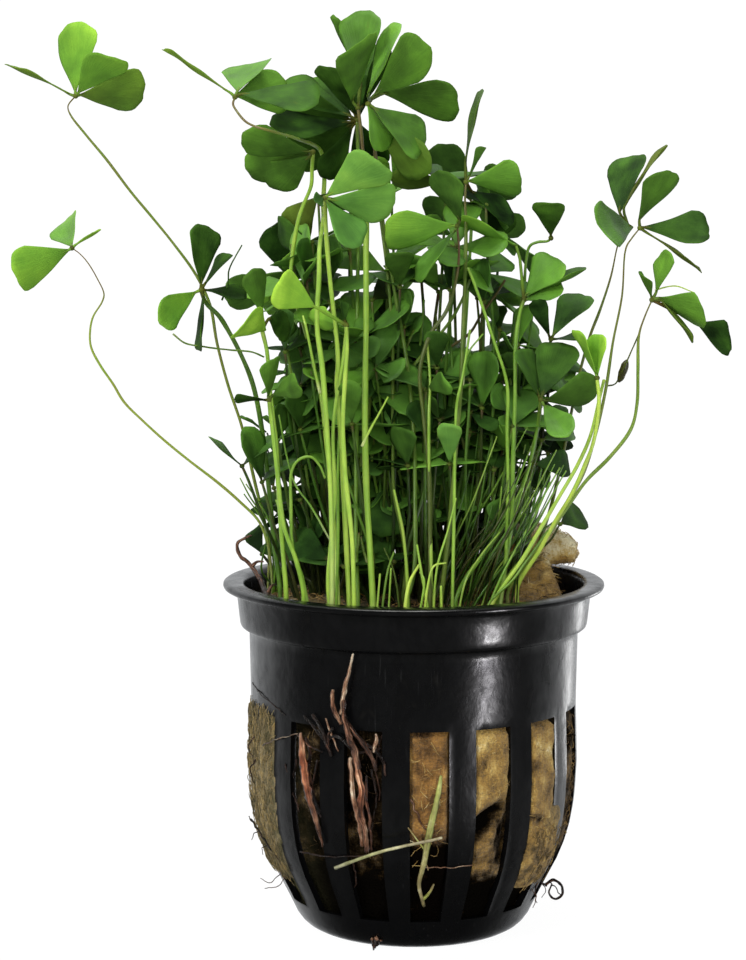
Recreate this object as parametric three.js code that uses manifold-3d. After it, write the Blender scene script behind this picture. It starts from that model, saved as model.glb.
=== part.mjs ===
// Potted water clover: a 55 mm slotted net pot with a mineral-wool plug, the creeping
// rhizome and roots, and the clover fronds that grow up out of the wool.
// Millimetres, +Z up. Origin: centre of the pot's flat underside. The front is -Y.
import * as THREE from 'three';
import { mergeVertices } from 'three/addons/utils/BufferGeometryUtils.js';
import Module from 'manifold-3d';

const wasm = await Module();
wasm.setup();

// ---------------------------------------------------------------- driving dimensions
const POT_HEIGHT = 50;          // rim top above the surface
const POT_SEGMENTS = 32;        // facets round the pot
const SLOTS = 16;               // slots round the barrel
const SLOT_FIRST_DEG = 5.5;     // first slot, from the front towards +X
const SLOT_HALF_DEG = 6.6;
const SLOT_BOTTOM = 4.5;
const SLOT_TOP = 32.5;
const DRAIN_R = 2.0;
const DRAIN_RING_R = 9.2;
const DRAIN_COUNT = 8;
const WOOL_TOP = 47.0;
const STEM_SIDES = 4;
const LEAF_THICK = 0.5;
const HUB_R = 0.75;
const GAP = 0.3;                // clearance kept between pieces
const HOLLOW = 0.5;             // clearance kept round what passes through the inner growth

// half-profile of the pot, (radius, height), outside up and inside down
const POT_PROFILE = [
  [0, 0], [15.0, 0], [16.9, 1.8], [19.4, 7.0], [22.1, 12.6], [23.6, 20.0], [23.7, 43.2],
  [24.9, 43.9], [25.5, 48.6], [27.4, 49.1], [27.4, POT_HEIGHT], [24.4, POT_HEIGHT],
  [22.7, 43.0], [22.6, 20.2], [21.1, 13.0], [18.5, 7.6], [15.9, 2.6], [14.4, 1.4], [0, 1.4],
];
const WOOL_PROFILE = [
  [0, 1.8], [10.5, 1.8], [14.8, 4.8], [18.2, 9.2], [20.7, 13.5], [22.2, 20.6],
  [22.3, 42.9], [22.6, 45.0], [21.3, 46.9], [0, WOOL_TOP],
];

// ---------------------------------------------------------------- fronds
// hub: where the leaflets meet. leaflets: [base, direction, width direction, length, half width].
// stem: points from the hub down to the wool. r: stem radius. reach: where the stem's bar
// starts, from the hub, when a leaflet lies close along it.
const FRONDS = [
  { id: '01', r: 0.36, steps: 8, hub: [-46.92, -8.0, 118.73],
    stem: [[-46.92, -8.0, 118.73], [-48.0, -7.84, 117.36], [-47.76, -7.74, 116.27], [-42.93, -6.86, 110.09], [-36.87, -5.52, 102.18], [-30.76, -3.98, 93.9], [-27.98, -2.42, 84.22], [-24.62, -0.58, 72.07], [-21.36, 1.31, 56.95], [-20.56, 2.0, 47.87]],
    leaflets: [
      [[-46.92, -8.0, 118.73], [-0.063, 0.162, 0.985], [0.786, -0.6, 0.149], 10.28, 4.02],
      [[-46.92, -8.0, 118.73], [0.617, -0.585, 0.527], [0.776, 0.563, -0.283], 9.69, 2.94],
      [[-46.92, -8.0, 118.73], [0.959, 0.277, 0.054], [-0.179, 0.747, -0.64], 9.33, 3.98],
      [[-46.92, -8.0, 118.73], [-0.867, -0.068, 0.494], [-0.115, 0.991, -0.065], 10.15, 3.67],
    ] },
  { id: '02', r: 0.34, steps: 8, hub: [-48.36, -3.0, 97.66],
    stem: [[-48.36, -3.0, 97.66], [-47.26, -2.86, 96.82], [-46.17, -2.67, 95.54], [-44.03, -2.05, 91.14], [-45.7, -1.54, 87.85], [-46.12, -0.87, 83.54], [-43.15, 0.14, 78.17], [-39.03, 1.33, 72.75], [-32.29, 2.9, 66.65], [-25.45, 4.33, 60.8], [-21.32, 5.47, 53.44], [-21.38, 6.0, 47.85]],
    leaflets: [
      [[-48.36, -3.0, 97.66], [-0.667, -0.678, -0.31], [0.223, 0.216, -0.951], 10.79, 3.38],
      [[-48.36, -3.0, 97.66], [-0.231, 0.906, 0.354], [0.735, -0.077, 0.674], 10.28, 2.94],
      [[-48.36, -3.0, 97.66], [0.829, 0.086, 0.553], [-0.047, 0.995, -0.083], 4.45, 3.71],
    ] },
  { id: '03', r: 0.41, steps: 8, reach: 2.8, hub: [-29.3, -13.0, 92.11],
    stem: [[-29.3, -13.0, 92.11], [-28.81, -10.81, 90.23], [-27.16, -9.03, 88.35], [-25.88, -7.58, 86.05], [-24.2, -5.9, 82.45], [-22.75, -4.6, 78.4], [-21.58, -3.39, 71.9], [-20.79, -2.92, 64.7], [-19.95, -3.23, 56.11], [-19.08, -4.0, 49.29], [-19.08, -4.0, 47.9]],
    leaflets: [
      [[-29.3, -13.0, 92.11], [0.012, 0.108, 0.994], [0.522, 0.848, -0.098], 8.44, 3.92],
      [[-29.3, -13.0, 92.11], [-0.406, -0.848, -0.341], [0.202, 0.281, -0.938], 10.44, 2.59],
      [[-29.3, -13.0, 92.11], [0.999, 0.026, -0.049], [0.012, -0.963, -0.269], 6.06, 3.8],
      [[-29.3, -13.0, 92.11], [0.002, -0.053, -0.999], [0.253, -0.966, 0.052], 8.09, 3.66],
      [[-29.3, -13.0, 92.11], [0.619, 0.124, 0.776], [0.254, -0.966, -0.048], 5.67, 3.76],
    ] },
  { id: '04', r: 0.41, steps: 8, hub: [-24.96, -6.0, 118.65],
    stem: [[-24.96, -6.0, 118.65], [-25.2, -6.55, 117.67], [-24.76, -6.91, 116.83], [-22.21, -7.98, 114.6], [-16.73, -9.47, 113.05], [-13.1, -10.98, 108.51], [-13.05, -12.7, 100.05], [-13.28, -14.82, 87.4], [-12.16, -16.16, 77.21], [-11.46, -17.19, 66.45], [-11.19, -18.0, 49.26], [-11.19, -18.0, 47.9]],
    leaflets: [
      [[-24.96, -6.0, 118.65], [-0.859, -0.03, 0.511], [-0.073, 0.995, -0.063], 12.54, 3.67],
      [[-24.96, -6.0, 118.65], [0.125, 0.877, 0.464], [0.963, -0.22, 0.156], 10.3, 3.45],
      [[-24.96, -6.0, 118.65], [0.977, -0.211, -0.039], [-0.193, -0.78, -0.595], 11.66, 3.98],
    ] },
  { id: '05', r: 0.38, steps: 6, reach: 2.4, hub: [-8.29, 8.0, 115.91],
    stem: [[-8.29, 8.0, 115.91], [-8.15, 7.99, 111.6], [-7.85, 7.26, 105.84], [-7.97, 6.13, 100.09], [-8.1, 5.01, 95.51], [-8.18, 2.16, 85.84], [-8.12, -1.14, 76.02], [-8.18, -4.93, 65.09], [-8.13, -7.62, 56.73], [-7.8, -10.0, 47.98], [-7.8, -10.0, 47.88]],
    leaflets: [
      [[-8.29, 8.0, 115.91], [-0.871, 0.229, 0.434], [0.444, 0.744, 0.499], 12.57, 3.96],
      [[-8.29, 8.0, 115.91], [-0.423, -0.572, 0.702], [0.743, -0.662, -0.091], 9.71, 3.74],
      [[-8.29, 8.0, 115.91], [-0.911, -0.406, -0.08], [0.379, -0.742, -0.553], 12.61, 4.01],
      [[-8.29, 8.0, 115.91], [-0.451, 0.035, -0.892], [0.529, 0.816, -0.234], 8.84, 3.54],
    ] },
  { id: '06', r: 0.41, steps: 6, reach: 3.0, hub: [-14.38, 0.5, 111.18],
    stem: [[-14.38, 0.5, 111.18], [-14.59, 2.25, 108.95], [-14.78, 3.18, 106.4], [-15.97, 3.84, 103.55], [-16.71, 4.11, 101.26], [-17.44, 4.19, 97.25], [-17.73, 3.91, 93.66], [-17.14, 3.36, 90.09], [-15.82, 2.52, 86.54], [-14.48, 1.0, 81.45], [-13.27, -0.78, 76.56], [-12.48, -3.28, 70.48], [-11.53, -6.93, 62.32], [-10.52, -13.0, 48.45], [-10.52, -13.0, 47.9]],
    leaflets: [
      [[-14.38, 0.5, 111.18], [-0.984, -0.009, 0.178], [-0.126, 0.74, -0.66], 10.19, 3.55],
      [[-14.38, 0.5, 111.18], [-0.594, 0.699, -0.398], [0.71, 0.222, -0.669], 10.8, 3.02],
    ] },
  { id: '07', r: 0.53, steps: 6, hub: [-7.95, -1.0, 117.31],
    stem: [[-7.95, -1.0, 117.31], [-7.52, -1.4, 114.22], [-7.08, -2.25, 108.61], [-6.78, -3.24, 103.01], [-6.76, -4.46, 96.73], [-6.72, -6.69, 86.3], [-6.82, -8.83, 76.63], [-6.64, -11.15, 65.64], [-6.06, -12.91, 56.05], [-5.62, -14.0, 48.49], [-5.62, -14.0, 47.97]],
    leaflets: [
      [[-7.67, -1.0, 120.65], [0.063, 0.122, 0.991], [0.796, -0.605, 0.024], 10.38, 4.2],
      [[-7.95, -1.0, 117.31], [0.153, -0.709, 0.688], [0.716, 0.56, 0.417], 12.34, 4.29],
      [[-7.38, -1.0, 121.77], [-0.467, 0.355, 0.81], [-0.11, 0.886, -0.451], 9.24, 3.48],
      [[-7.95, -1.0, 117.31], [0.39, -0.004, 0.921], [0.316, 0.94, -0.13], 9.56, 3.82],
    ] },
  { id: '08', r: 0.36, steps: 8, hub: [-6.38, 6.0, 118.69],
    stem: [[-6.38, 6.0, 118.69], [-5.79, 4.96, 111.54], [-5.19, 3.7, 104.41], [-4.02, 1.94, 95.87], [-3.13, -0.28, 85.97], [-2.96, -3.18, 73.34], [-2.79, -5.39, 63.01], [-1.64, -6.43, 57.72], [-1.07, -7.15, 53.54], [-1.62, -8.0, 47.67], [-1.62, -8.0, 47.87]],
    leaflets: [
      [[-6.38, 6.0, 118.69], [0.408, -0.068, 0.91], [0.375, -0.897, -0.235], 10.96, 3.88],
      [[-6.38, 6.0, 118.69], [0.689, 0.373, 0.622], [0.361, 0.568, -0.74], 11.56, 4.41],
      [[-4.8, 6.0, 119.69], [0.976, -0.18, -0.126], [0.025, 0.66, -0.75], 11.65, 4.17],
    ] },
  { id: '09', r: 0.41, steps: 6, reach: 3.4, hub: [-6.45, -6.0, 117.68],
    stem: [[-6.45, -6.0, 117.68], [-5.27, -1.19, 110.03], [-4.43, 0.15, 101.58], [-2.56, -0.77, 90.26], [-0.84, -3.3, 80.46], [0.03, -6.79, 70.83], [0.19, -10.15, 62.73], [0.06, -14.23, 53.17], [-1.03, -16.0, 48.96], [-1.03, -16.0, 47.9]],
    leaflets: [
      [[-6.45, -6.0, 117.68], [0.376, 0.011, -0.926], [-0.369, -0.916, -0.161], 7.22, 3.83],
      [[-6.45, -6.0, 117.68], [0.7, 0.412, -0.584], [-0.219, -0.654, -0.724], 9.99, 4.11],
      [[-5.34, -6.0, 116.58], [0.597, 0.061, -0.8], [-0.595, 0.703, -0.39], 13.11, 3.96],
    ] },
  { id: '10', r: 0.41, steps: 6, reach: 1.6, hub: [-12.07, -17.0, 104.69],
    stem: [[-12.07, -17.0, 104.69], [-12.02, -14.92, 100.35], [-11.53, -13.41, 93.5], [-10.74, -12.73, 86.33], [-10.48, -12.63, 82.33], [-10.62, -12.68, 78.74], [-10.06, -13.14, 71.29], [-9.78, -13.66, 66.06], [-9.34, -14.74, 57.69], [-8.91, -16.0, 48.94], [-8.91, -16.0, 47.9]],
    leaflets: [
      [[-12.07, -17.0, 104.69], [0.773, -0.399, 0.494], [0.63, 0.574, -0.523], 10.28, 3.97],
      [[-12.07, -17.0, 104.69], [0.931, 0.345, -0.12], [-0.324, 0.629, -0.707], 9.55, 3.92],
      [[-12.07, -17.0, 104.69], [0.589, -0.071, -0.805], [-0.53, -0.786, -0.319], 7.88, 3.81],
      [[-12.07, -17.0, 104.69], [-0.148, -0.986, -0.077], [0.433, 0.006, -0.901], 10.58, 1.88],
    ] },
  { id: '11', r: 0.42, steps: 6, reach: 1.6, hub: [5.93, -9.0, 100.83],
    stem: [[5.93, -9.0, 100.83], [6.24, -8.14, 97.5], [5.98, -7.89, 94.03], [4.6, -8.01, 89.17], [2.24, -8.42, 85.7], [0.85, -9.2, 80.87], [1.42, -10.65, 74.0], [2.12, -12.37, 67.19], [2.27, -14.88, 57.74], [2.28, -17.0, 48.99], [2.28, -17.0, 47.9]],
    leaflets: [
      [[5.93, -9.0, 100.83], [-0.988, -0.123, -0.093], [-0.001, 0.606, -0.796], 10.3, 3.58],
      [[5.93, -9.0, 100.83], [-0.624, -0.094, -0.775], [0.303, -0.944, -0.129], 9.15, 3.62],
      [[5.93, -9.0, 100.83], [-0.353, -0.178, 0.918], [0.605, -0.793, 0.079], 7.98, 3.91],
    ] },
  { id: '12', r: 0.39, steps: 6, hub: [7.34, 0.0, 106.94],
    stem: [[7.34, 0.0, 106.94], [7.18, -1.6, 104.27], [7.3, -2.88, 101.19], [7.14, -5.58, 93.12], [6.85, -7.53, 85.8], [6.57, -9.04, 78.77], [5.88, -10.51, 69.8], [5.07, -11.53, 60.1], [3.84, -12.0, 48.19], [3.84, -12.0, 47.88]],
    leaflets: [
      [[7.19, 0.0, 109.2], [0.131, -0.013, 0.991], [0.145, -0.989, -0.032], 11.08, 3.75],
      [[7.34, 0.0, 106.94], [0.989, -0.145, -0.037], [0.087, 0.76, -0.644], 7.18, 4.09],
      [[7.34, 0.0, 106.94], [0.529, -0.008, 0.849], [0.137, 0.988, -0.076], 4.89, 3.74],
      [[7.34, 0.0, 106.94], [0.813, 0.293, -0.503], [-0.02, -0.849, -0.528], 7.86, 3.74],
    ] },
  { id: '13', r: 0.37, steps: 8, hub: [19.6, 3.0, 99.0],
    stem: [[19.6, 3.0, 99.0], [19.19, 3.27, 98.56], [17.78, 3.61, 98.41], [16.64, 3.83, 97.84], [16.1, 4.14, 95.54], [15.85, 4.49, 91.51], [15.02, 4.66, 87.18], [14.19, 4.67, 82.84], [13.93, 4.42, 75.61], [13.81, 3.8, 66.93], [13.69, 3.0, 58.26], [13.41, 2.43, 52.48], [12.55, 2.0, 48.14], [12.55, 2.0, 47.87]],
    leaflets: [
      [[19.6, 3.0, 99.0], [-0.085, -0.836, 0.542], [0.996, -0.091, 0.015], 10.66, 2.49],
    ] },
  { id: '14', r: 0.41, steps: 6, hub: [15.54, -3.0, 90.37],
    stem: [[15.54, -3.0, 90.37], [14.94, -4.15, 88.72], [14.34, -5.63, 84.86], [14.17, -7.52, 76.56], [13.91, -8.39, 68.19], [13.69, -8.53, 58.32], [11.93, -8.0, 48.28], [11.93, -8.0, 47.9]],
    leaflets: [
      [[15.54, -3.0, 90.37], [0.63, 0.011, 0.777], [0.5, -0.771, -0.394], 7.41, 4.04],
      [[15.54, -3.0, 90.37], [0.868, -0.212, 0.45], [0.025, -0.884, -0.466], 5.91, 3.8],
      [[15.54, -3.0, 90.37], [0.934, -0.031, 0.355], [-0.003, -0.997, -0.078], 9.54, 3.73],
      [[14.78, -3.0, 97.82], [-0.912, 0.16, 0.377], [0.049, 0.956, -0.288], 7.34, 3.62],
    ] },
  { id: '15', r: 0.39, steps: 6, hub: [19.5, -1.0, 84.75],
    stem: [[19.5, -1.0, 84.75], [19.31, 0.55, 82.8], [18.71, 2.11, 78.68], [17.93, 2.96, 72.83], [17.1, 2.64, 65.6], [15.93, 1.06, 57.06], [13.89, -1.0, 48.91], [13.89, -1.0, 47.88]],
    leaflets: [
      [[19.5, -1.0, 84.75], [0.547, 0.356, 0.758], [0.632, -0.769, -0.094], 8.37, 3.78],
      [[19.5, -1.0, 84.75], [-0.238, -0.787, 0.569], [0.936, -0.029, 0.35], 10.09, 1.85],
      [[19.5, -1.0, 84.75], [0.999, -0.04, -0.009], [-0.041, -0.999, -0.038], 4.45, 3.71],
    ] },
  { id: '16', r: 0.32, steps: 8, hub: [30.85, 6.0, 100.68],
    stem: [[30.85, 6.0, 100.68], [29.86, 6.04, 99.24], [29.31, 6.09, 97.51], [28.5, 6.22, 93.47], [26.97, 6.4, 88.55], [25.57, 6.56, 84.77], [23.9, 6.83, 78.35], [22.25, 7.21, 69.53], [20.02, 7.63, 59.16], [17.44, 7.88, 51.71], [15.12, 8.0, 47.81], [15.12, 8.0, 47.84]],
    leaflets: [
      [[29.54, 6.0, 102.25], [0.176, 0.451, 0.875], [0.725, -0.66, 0.195], 10.29, 3.97],
      [[29.97, 6.0, 102.68], [0.456, -0.067, 0.888], [0.023, -0.996, -0.087], 11.44, 3.74],
      [[30.85, 6.0, 100.68], [-0.513, -0.857, 0.039], [0.42, -0.29, -0.86], 10.55, 2.97],
    ] },
  { id: '17', r: 0.33, steps: 6, hub: [31.87, -2.0, 100.48],
    stem: [[31.87, -2.0, 100.48], [30.77, -1.96, 99.08], [29.94, -1.91, 97.67], [29.47, -1.69, 90.89], [28.28, -1.45, 84.35], [27.38, -1.17, 77.78], [26.17, -0.92, 71.89], [24.53, -0.67, 65.97], [22.71, -0.51, 62.34], [19.89, -0.31, 57.68], [16.78, -0.13, 52.86], [14.5, 0.0, 48.46], [14.5, 0.0, 47.85]],
    leaflets: [
      [[31.87, -2.0, 100.48], [0.45, -0.318, 0.835], [0.691, 0.716, -0.1], 8.78, 3.82],
      [[31.87, -2.0, 100.48], [0.989, -0.089, -0.118], [-0.144, -0.762, -0.631], 9.71, 4.02],
      [[31.87, -2.0, 100.48], [0.851, -0.007, -0.524], [-0.064, -0.994, -0.09], 10.08, 3.71],
    ] },
  { id: '18', r: 0.37, steps: 8, hub: [33.03, -9.0, 90.62],
    stem: [[33.03, -9.0, 90.62], [32.1, -8.89, 88.39], [31.31, -8.75, 85.74], [31.25, -8.46, 80.85], [31.2, -8.14, 76.07], [30.42, -7.88, 72.53], [27.55, -7.51, 68.55], [24.38, -7.18, 65.26], [22.04, -6.89, 61.96], [18.99, -6.52, 57.35], [15.93, -6.23, 53.45], [13.41, -6.0, 49.11], [13.41, -6.0, 47.87]],
    leaflets: [
      [[33.03, -9.0, 90.62], [0.141, 0.1, 0.985], [0.267, -0.962, 0.06], 6.16, 3.81],
      [[33.03, -9.0, 90.62], [-0.386, -0.414, 0.824], [0.23, -0.908, -0.349], 4.45, 1.85],
      [[33.03, -9.0, 90.62], [0.855, -0.374, -0.36], [0.062, 0.763, -0.644], 7.82, 3.83],
      [[33.03, -9.0, 90.62], [0.837, 0.206, -0.507], [-0.155, -0.799, -0.581], 12.7, 4.01],
      [[33.03, -9.0, 90.62], [0.624, -0.078, -0.777], [0.18, 0.983, 0.046], 7.64, 3.67],
    ] },
  { id: '19', r: 0.47, steps: 6, hub: [25.15, -14.0, 80.12],
    stem: [[25.15, -14.0, 80.12], [25.44, -14.21, 77.1], [24.84, -13.74, 71.54], [23.67, -13.13, 68.01], [22.1, -12.29, 64.15], [19.84, -11.25, 60.09], [17.42, -10.06, 55.28], [14.7, -9.0, 50.44], [14.7, -9.0, 47.93]],
    leaflets: [
      [[25.15, -14.0, 80.12], [0.036, 0.011, 0.999], [0.357, -0.934, -0.002], 5.9, 3.84],
      [[25.15, -14.0, 80.12], [-0.431, 0.139, 0.892], [0.06, -0.982, 0.182], 8.38, 3.75],
    ] },
  { id: '20', r: 0.41, steps: 6, hub: [17.74, -9.0, 76.68],
    stem: [[17.74, -9.0, 76.68], [17.35, -6.15, 72.21], [16.16, -5.44, 66.47], [13.89, -6.44, 60.89], [10.75, -8.42, 56.03], [7.35, -10.66, 51.81], [5.94, -12.0, 48.9], [5.94, -12.0, 47.9]],
    leaflets: [
      [[17.74, -9.0, 76.68], [0.316, 0.674, 0.667], [0.948, -0.247, -0.2], 10.52, 3.47],
      [[17.74, -9.0, 76.68], [0.977, 0.107, 0.186], [0.053, 0.722, -0.69], 8.01, 3.95],
      [[17.74, -9.0, 76.68], [0.255, -0.925, -0.283], [-0.867, -0.088, -0.49], 10.53, 2.2],
      [[17.74, -9.0, 76.68], [-0.325, -0.037, 0.945], [0.365, 0.917, 0.161], 7.21, 3.81],
    ] },
  { id: '21', r: 0.41, steps: 6, hub: [-9.22, -18.0, 87.56],
    stem: [[-9.22, -18.0, 87.56], [-9.08, -18.16, 84.86], [-9.35, -18.49, 80.12], [-9.62, -18.95, 74.71], [-9.34, -19.57, 67.95], [-8.37, -20.41, 58.46], [-8.1, -21.0, 49.75], [-8.1, -21.0, 47.9]],
    leaflets: [
      [[-9.22, -18.0, 87.56], [-0.643, -0.654, 0.398], [0.404, -0.732, -0.549], 13.25, 4.25],
      [[-9.22, -18.0, 87.56], [-0.283, 0.183, 0.942], [0.362, 0.929, -0.072], 6.24, 3.81],
    ] },
  { id: '22', r: 0.43, steps: 6, hub: [-20.93, -13.0, 86.62],
    stem: [[-20.93, -13.0, 86.62], [-20.26, -12.94, 83.58], [-20.01, -12.84, 79.71], [-19.62, -12.72, 75.54], [-19.09, -12.59, 71.22], [-18.84, -12.42, 65.9], [-18.34, -12.16, 57.32], [-17.81, -12.0, 49.97], [-17.81, -12.0, 47.91]],
    leaflets: [
      [[-21.06, -13.0, 88.82], [-0.071, 0.027, 0.997], [0.455, 0.89, 0.009], 6.3, 3.89],
      [[-20.93, -13.0, 86.62], [-0.236, -0.963, 0.132], [0.287, -0.199, -0.937], 10.55, 3.14],
      [[-20.1, -13.0, 88.27], [0.209, 0.96, -0.189], [-0.045, -0.184, -0.982], 10.73, 2.33],
    ] },
  { id: '23', r: 0.43, steps: 6, hub: [-19.78, -17.0, 77.27],
    stem: [[-19.78, -17.0, 77.27], [-19.4, -16.8, 73.82], [-18.76, -16.32, 67.58], [-17.87, -15.63, 59.6], [-16.25, -15.25, 54.96], [-15.3, -15.0, 50.73], [-15.3, -15.0, 47.91]],
    leaflets: [
      [[-19.78, -17.0, 77.27], [0.122, -0.01, 0.992], [0.285, 0.958, -0.025], 5.83, 3.79],
      [[-19.78, -17.0, 77.27], [0.383, -0.895, 0.228], [0.297, -0.114, -0.948], 10.51, 1.85],
      [[-19.78, -17.0, 77.27], [-0.999, -0.014, 0.052], [-0.024, 0.981, -0.193], 4.45, 3.63],
    ] },
  { id: '24', r: 0.39, steps: 6, hub: [9.0, 33.0, 104.0],
    stem: [[9.0, 33.0, 103.2], [8.6, 30.5, 96.0], [7.5, 25.0, 80.0], [6.0, 20.0, 64.0], [5.0, 17.5, 47.88]],
    leaflets: [
      [[9.0, 33.0, 104.0], [-0.564, -0.18, 0.806], [0.726, -0.572, 0.381], 10.6, 3.8],
      [[9.0, 33.0, 104.0], [0.764, -0.378, 0.523], [0.642, 0.368, -0.672], 10.6, 3.8],
      [[9.0, 33.0, 104.0], [0.682, 0.535, -0.498], [-0.726, 0.572, -0.381], 10.6, 3.8],
      [[9.0, 33.0, 104.0], [-0.646, 0.733, -0.216], [-0.642, -0.368, 0.672], 10.6, 3.8],
    ] },
  { id: '25', r: 0.39, steps: 6, hub: [-19.0, 30.0, 92.0],
    stem: [[-19.0, 30.0, 91.2], [-18.0, 28.0, 84.0], [-14.5, 23.0, 70.0], [-11.0, 18.5, 57.0], [-9.0, 16.5, 47.88]],
    leaflets: [
      [[-19.0, 30.0, 92.0], [-0.946, -0.194, -0.261], [-0.088, -0.62, 0.78], 10.6, 3.8],
      [[-19.0, 30.0, 92.0], [-0.19, -0.46, 0.867], [0.86, 0.348, 0.373], 10.6, 3.8],
      [[-19.0, 30.0, 92.0], [0.737, 0.486, 0.469], [0.088, 0.62, -0.78], 10.6, 3.8],
      [[-19.0, 30.0, 92.0], [-0.019, 0.752, -0.658], [-0.86, -0.348, -0.373], 10.6, 3.8],
    ] },
];

// the creeping rhizome, from its curled tip at the left-hand rim along the wool
const RHIZOME = [[-24.3, 3.0, 55.6], [-25.6, 3.0, 54.8], [-25.4, 2.8, 53.2], [-23.8, 2.2, 51.8], [-22.2, 0.8, 49.8], [-21.3, -3.0, 48.6], [-20.6, -7.0, 48.5], [-19.3, -10.5, 48.5]];
// roots and shoots outside the barrel: name, points, radius, sides, steps, colour
const ROOTS = [
  ['root_left', [[-15.32, -19.13, 30.19], [-15.33, -19.15, 27.39], [-14.63, -19.73, 24.3], [-14.21, -20.06, 21.85], [-13.1, -20.45, 18.43], [-12.28, -20.2, 15.26]], 0.6, 6, 7, 0x7a4a2a],
  ['root_centre', [[-8.32, -23.3, 42.44], [-9.15, -22.91, 38.51], [-10.12, -22.44, 35.1], [-8.33, -23.1, 31.36], [-7.65, -23.36, 27.95], [-7.24, -23.53, 23.13], [-6.43, -22.96, 16.01]], 0.65, 6, 8, 0x8a5a34],
  ['root_cross', [[-10.69, -22.67, 13.4], [-4.49, -25.26, 16.35], [3.92, -25.79, 18.47]], 0.45, 6, 4, 0xa9a86a],
  ['runner_shoot', [[3.78, -24.25, 26.68], [3.25, -24.35, 23.37], [2.3, -24.33, 19.2], [1.5, -23.41, 14.35], [0.83, -22.37, 11.12], [1.53, -20.59, 7.52]], 0.6, 6, 7, 0xaab04a],
  ['root_loop', [[19.37, -1.5, 5.42], [20.38, -1.5, 6.02], [21.55, -1.5, 5.28], [21.71, -1.5, 3.79], [20.69, -1.5, 3.19], [19.81, -1.5, 4.08]], 0.4, 5, 8, 0x5a3a20],
];

// the outer shape of the inner growth, from a unit sphere
const INNER = (x, y, z) => {
  const h = (1 + z) / 2, k = 0.68 + 0.52 * h - 0.16 * h * h;
  return [1.5 + 25.5 * x * k, 9 + 18 * y * k, 48.9 + 34.3 * (1 + z)];
};

// ---------------------------------------------------------------- helpers
const V = (a) => new THREE.Vector3(a[0], a[1], a[2]);

function toSolid(geometry) {
  const g = geometry.clone();
  g.deleteAttribute('normal');
  g.deleteAttribute('uv');
  const m = mergeVertices(g, 1e-4);
  return new wasm.Manifold(new wasm.Mesh({
    numProp: 3,
    vertProperties: new Float32Array(m.attributes.position.array),
    triVerts: new Uint32Array(m.index.array),
  }));
}

function toGeometry(solid) {
  const m = solid.getMesh();
  const g = new THREE.BufferGeometry();
  const n = m.numProp;
  const pos = new Float32Array(m.numVert * 3);
  for (let i = 0; i < m.numVert; i++) {
    pos[3 * i] = m.vertProperties[n * i];
    pos[3 * i + 1] = m.vertProperties[n * i + 1];
    pos[3 * i + 2] = m.vertProperties[n * i + 2];
  }
  g.setAttribute('position', new THREE.BufferAttribute(pos, 3));
  g.setIndex(new THREE.BufferAttribute(new Uint32Array(m.triVerts), 1));
  return g;
}

function turned(profile, segments, tweak) {
  const g = new THREE.LatheGeometry(profile.map(([r, z]) => new THREE.Vector2(r, z)), segments);
  g.rotateX(Math.PI / 2);       // the lathe axis becomes +Z
  if (tweak) {
    const p = g.attributes.position;
    for (let i = 0; i < p.count; i++) {
      const q = tweak(p.getX(i), p.getY(i), p.getZ(i));
      p.setXYZ(i, q[0], q[1], q[2]);
    }
  }
  return g;
}

// a round bar along a curve through the points
function tube(points, radius, sides, steps) {
  const curve = new THREE.CatmullRomCurve3(points.map(V), false, 'centripetal');
  const ring = new THREE.Shape();
  for (let i = 0; i < sides; i++) {
    const a = (2 * Math.PI * i) / sides;
    if (i === 0) ring.moveTo(radius * Math.cos(a), radius * Math.sin(a));
    else ring.lineTo(radius * Math.cos(a), radius * Math.sin(a));
  }
  ring.closePath();
  return new THREE.ExtrudeGeometry(ring, { steps, extrudePath: curve, bevelEnabled: false });
}

// a wedge-shaped leaflet, thin plate with a round outer margin
function leaflet([base, dir, wide, length, half], grow) {
  const hw = half * 1.03 + grow, s = new THREE.Shape(), near = grow > 0 ? -grow : 0;
  s.moveTo(-0.28 - grow, near);
  s.lineTo(0.28 + grow, near);
  s.lineTo(hw, length * 0.84);
  s.lineTo(0, length * 1.02 + grow);
  s.lineTo(-hw, length * 0.84);
  s.closePath();
  const depth = LEAF_THICK + 2 * grow;
  const g = new THREE.ExtrudeGeometry(s, { depth, bevelEnabled: false, steps: 1 });
  g.translate(0, 0, -depth / 2);
  const x = V(wide).normalize(), y = V(dir).normalize();
  const z = new THREE.Vector3().crossVectors(x, y).normalize();
  x.crossVectors(y, z).normalize();
  const m = new THREE.Matrix4().makeBasis(x, y, z);
  m.setPosition(V(base));
  g.applyMatrix4(m);
  return g;
}

function strut(a, b, radius) {
  const d = V(b).sub(V(a)), len = d.length();
  const g = new THREE.CylinderGeometry(radius, radius, len, 4, 1, false);
  g.translate(0, len / 2, 0);
  g.applyQuaternion(new THREE.Quaternion().setFromUnitVectors(new THREE.Vector3(0, 1, 0), d.normalize()));
  g.translate(a[0], a[1], a[2]);
  return g;
}

function frondLeaf(f, grow = 0) {
  const hub = new THREE.OctahedronGeometry(HUB_R + grow, 0);
  hub.translate(f.hub[0], f.hub[1], f.hub[2]);
  let s = toSolid(hub);
  for (const l of f.leaflets) {
    s = s.add(toSolid(leaflet(l, grow)));
    if (V(l[0]).distanceTo(V(f.hub)) > 0.15) s = s.add(toSolid(strut(f.hub, l[0], 0.36 + grow)));
  }
  return s.simplify(0.12);
}

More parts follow.
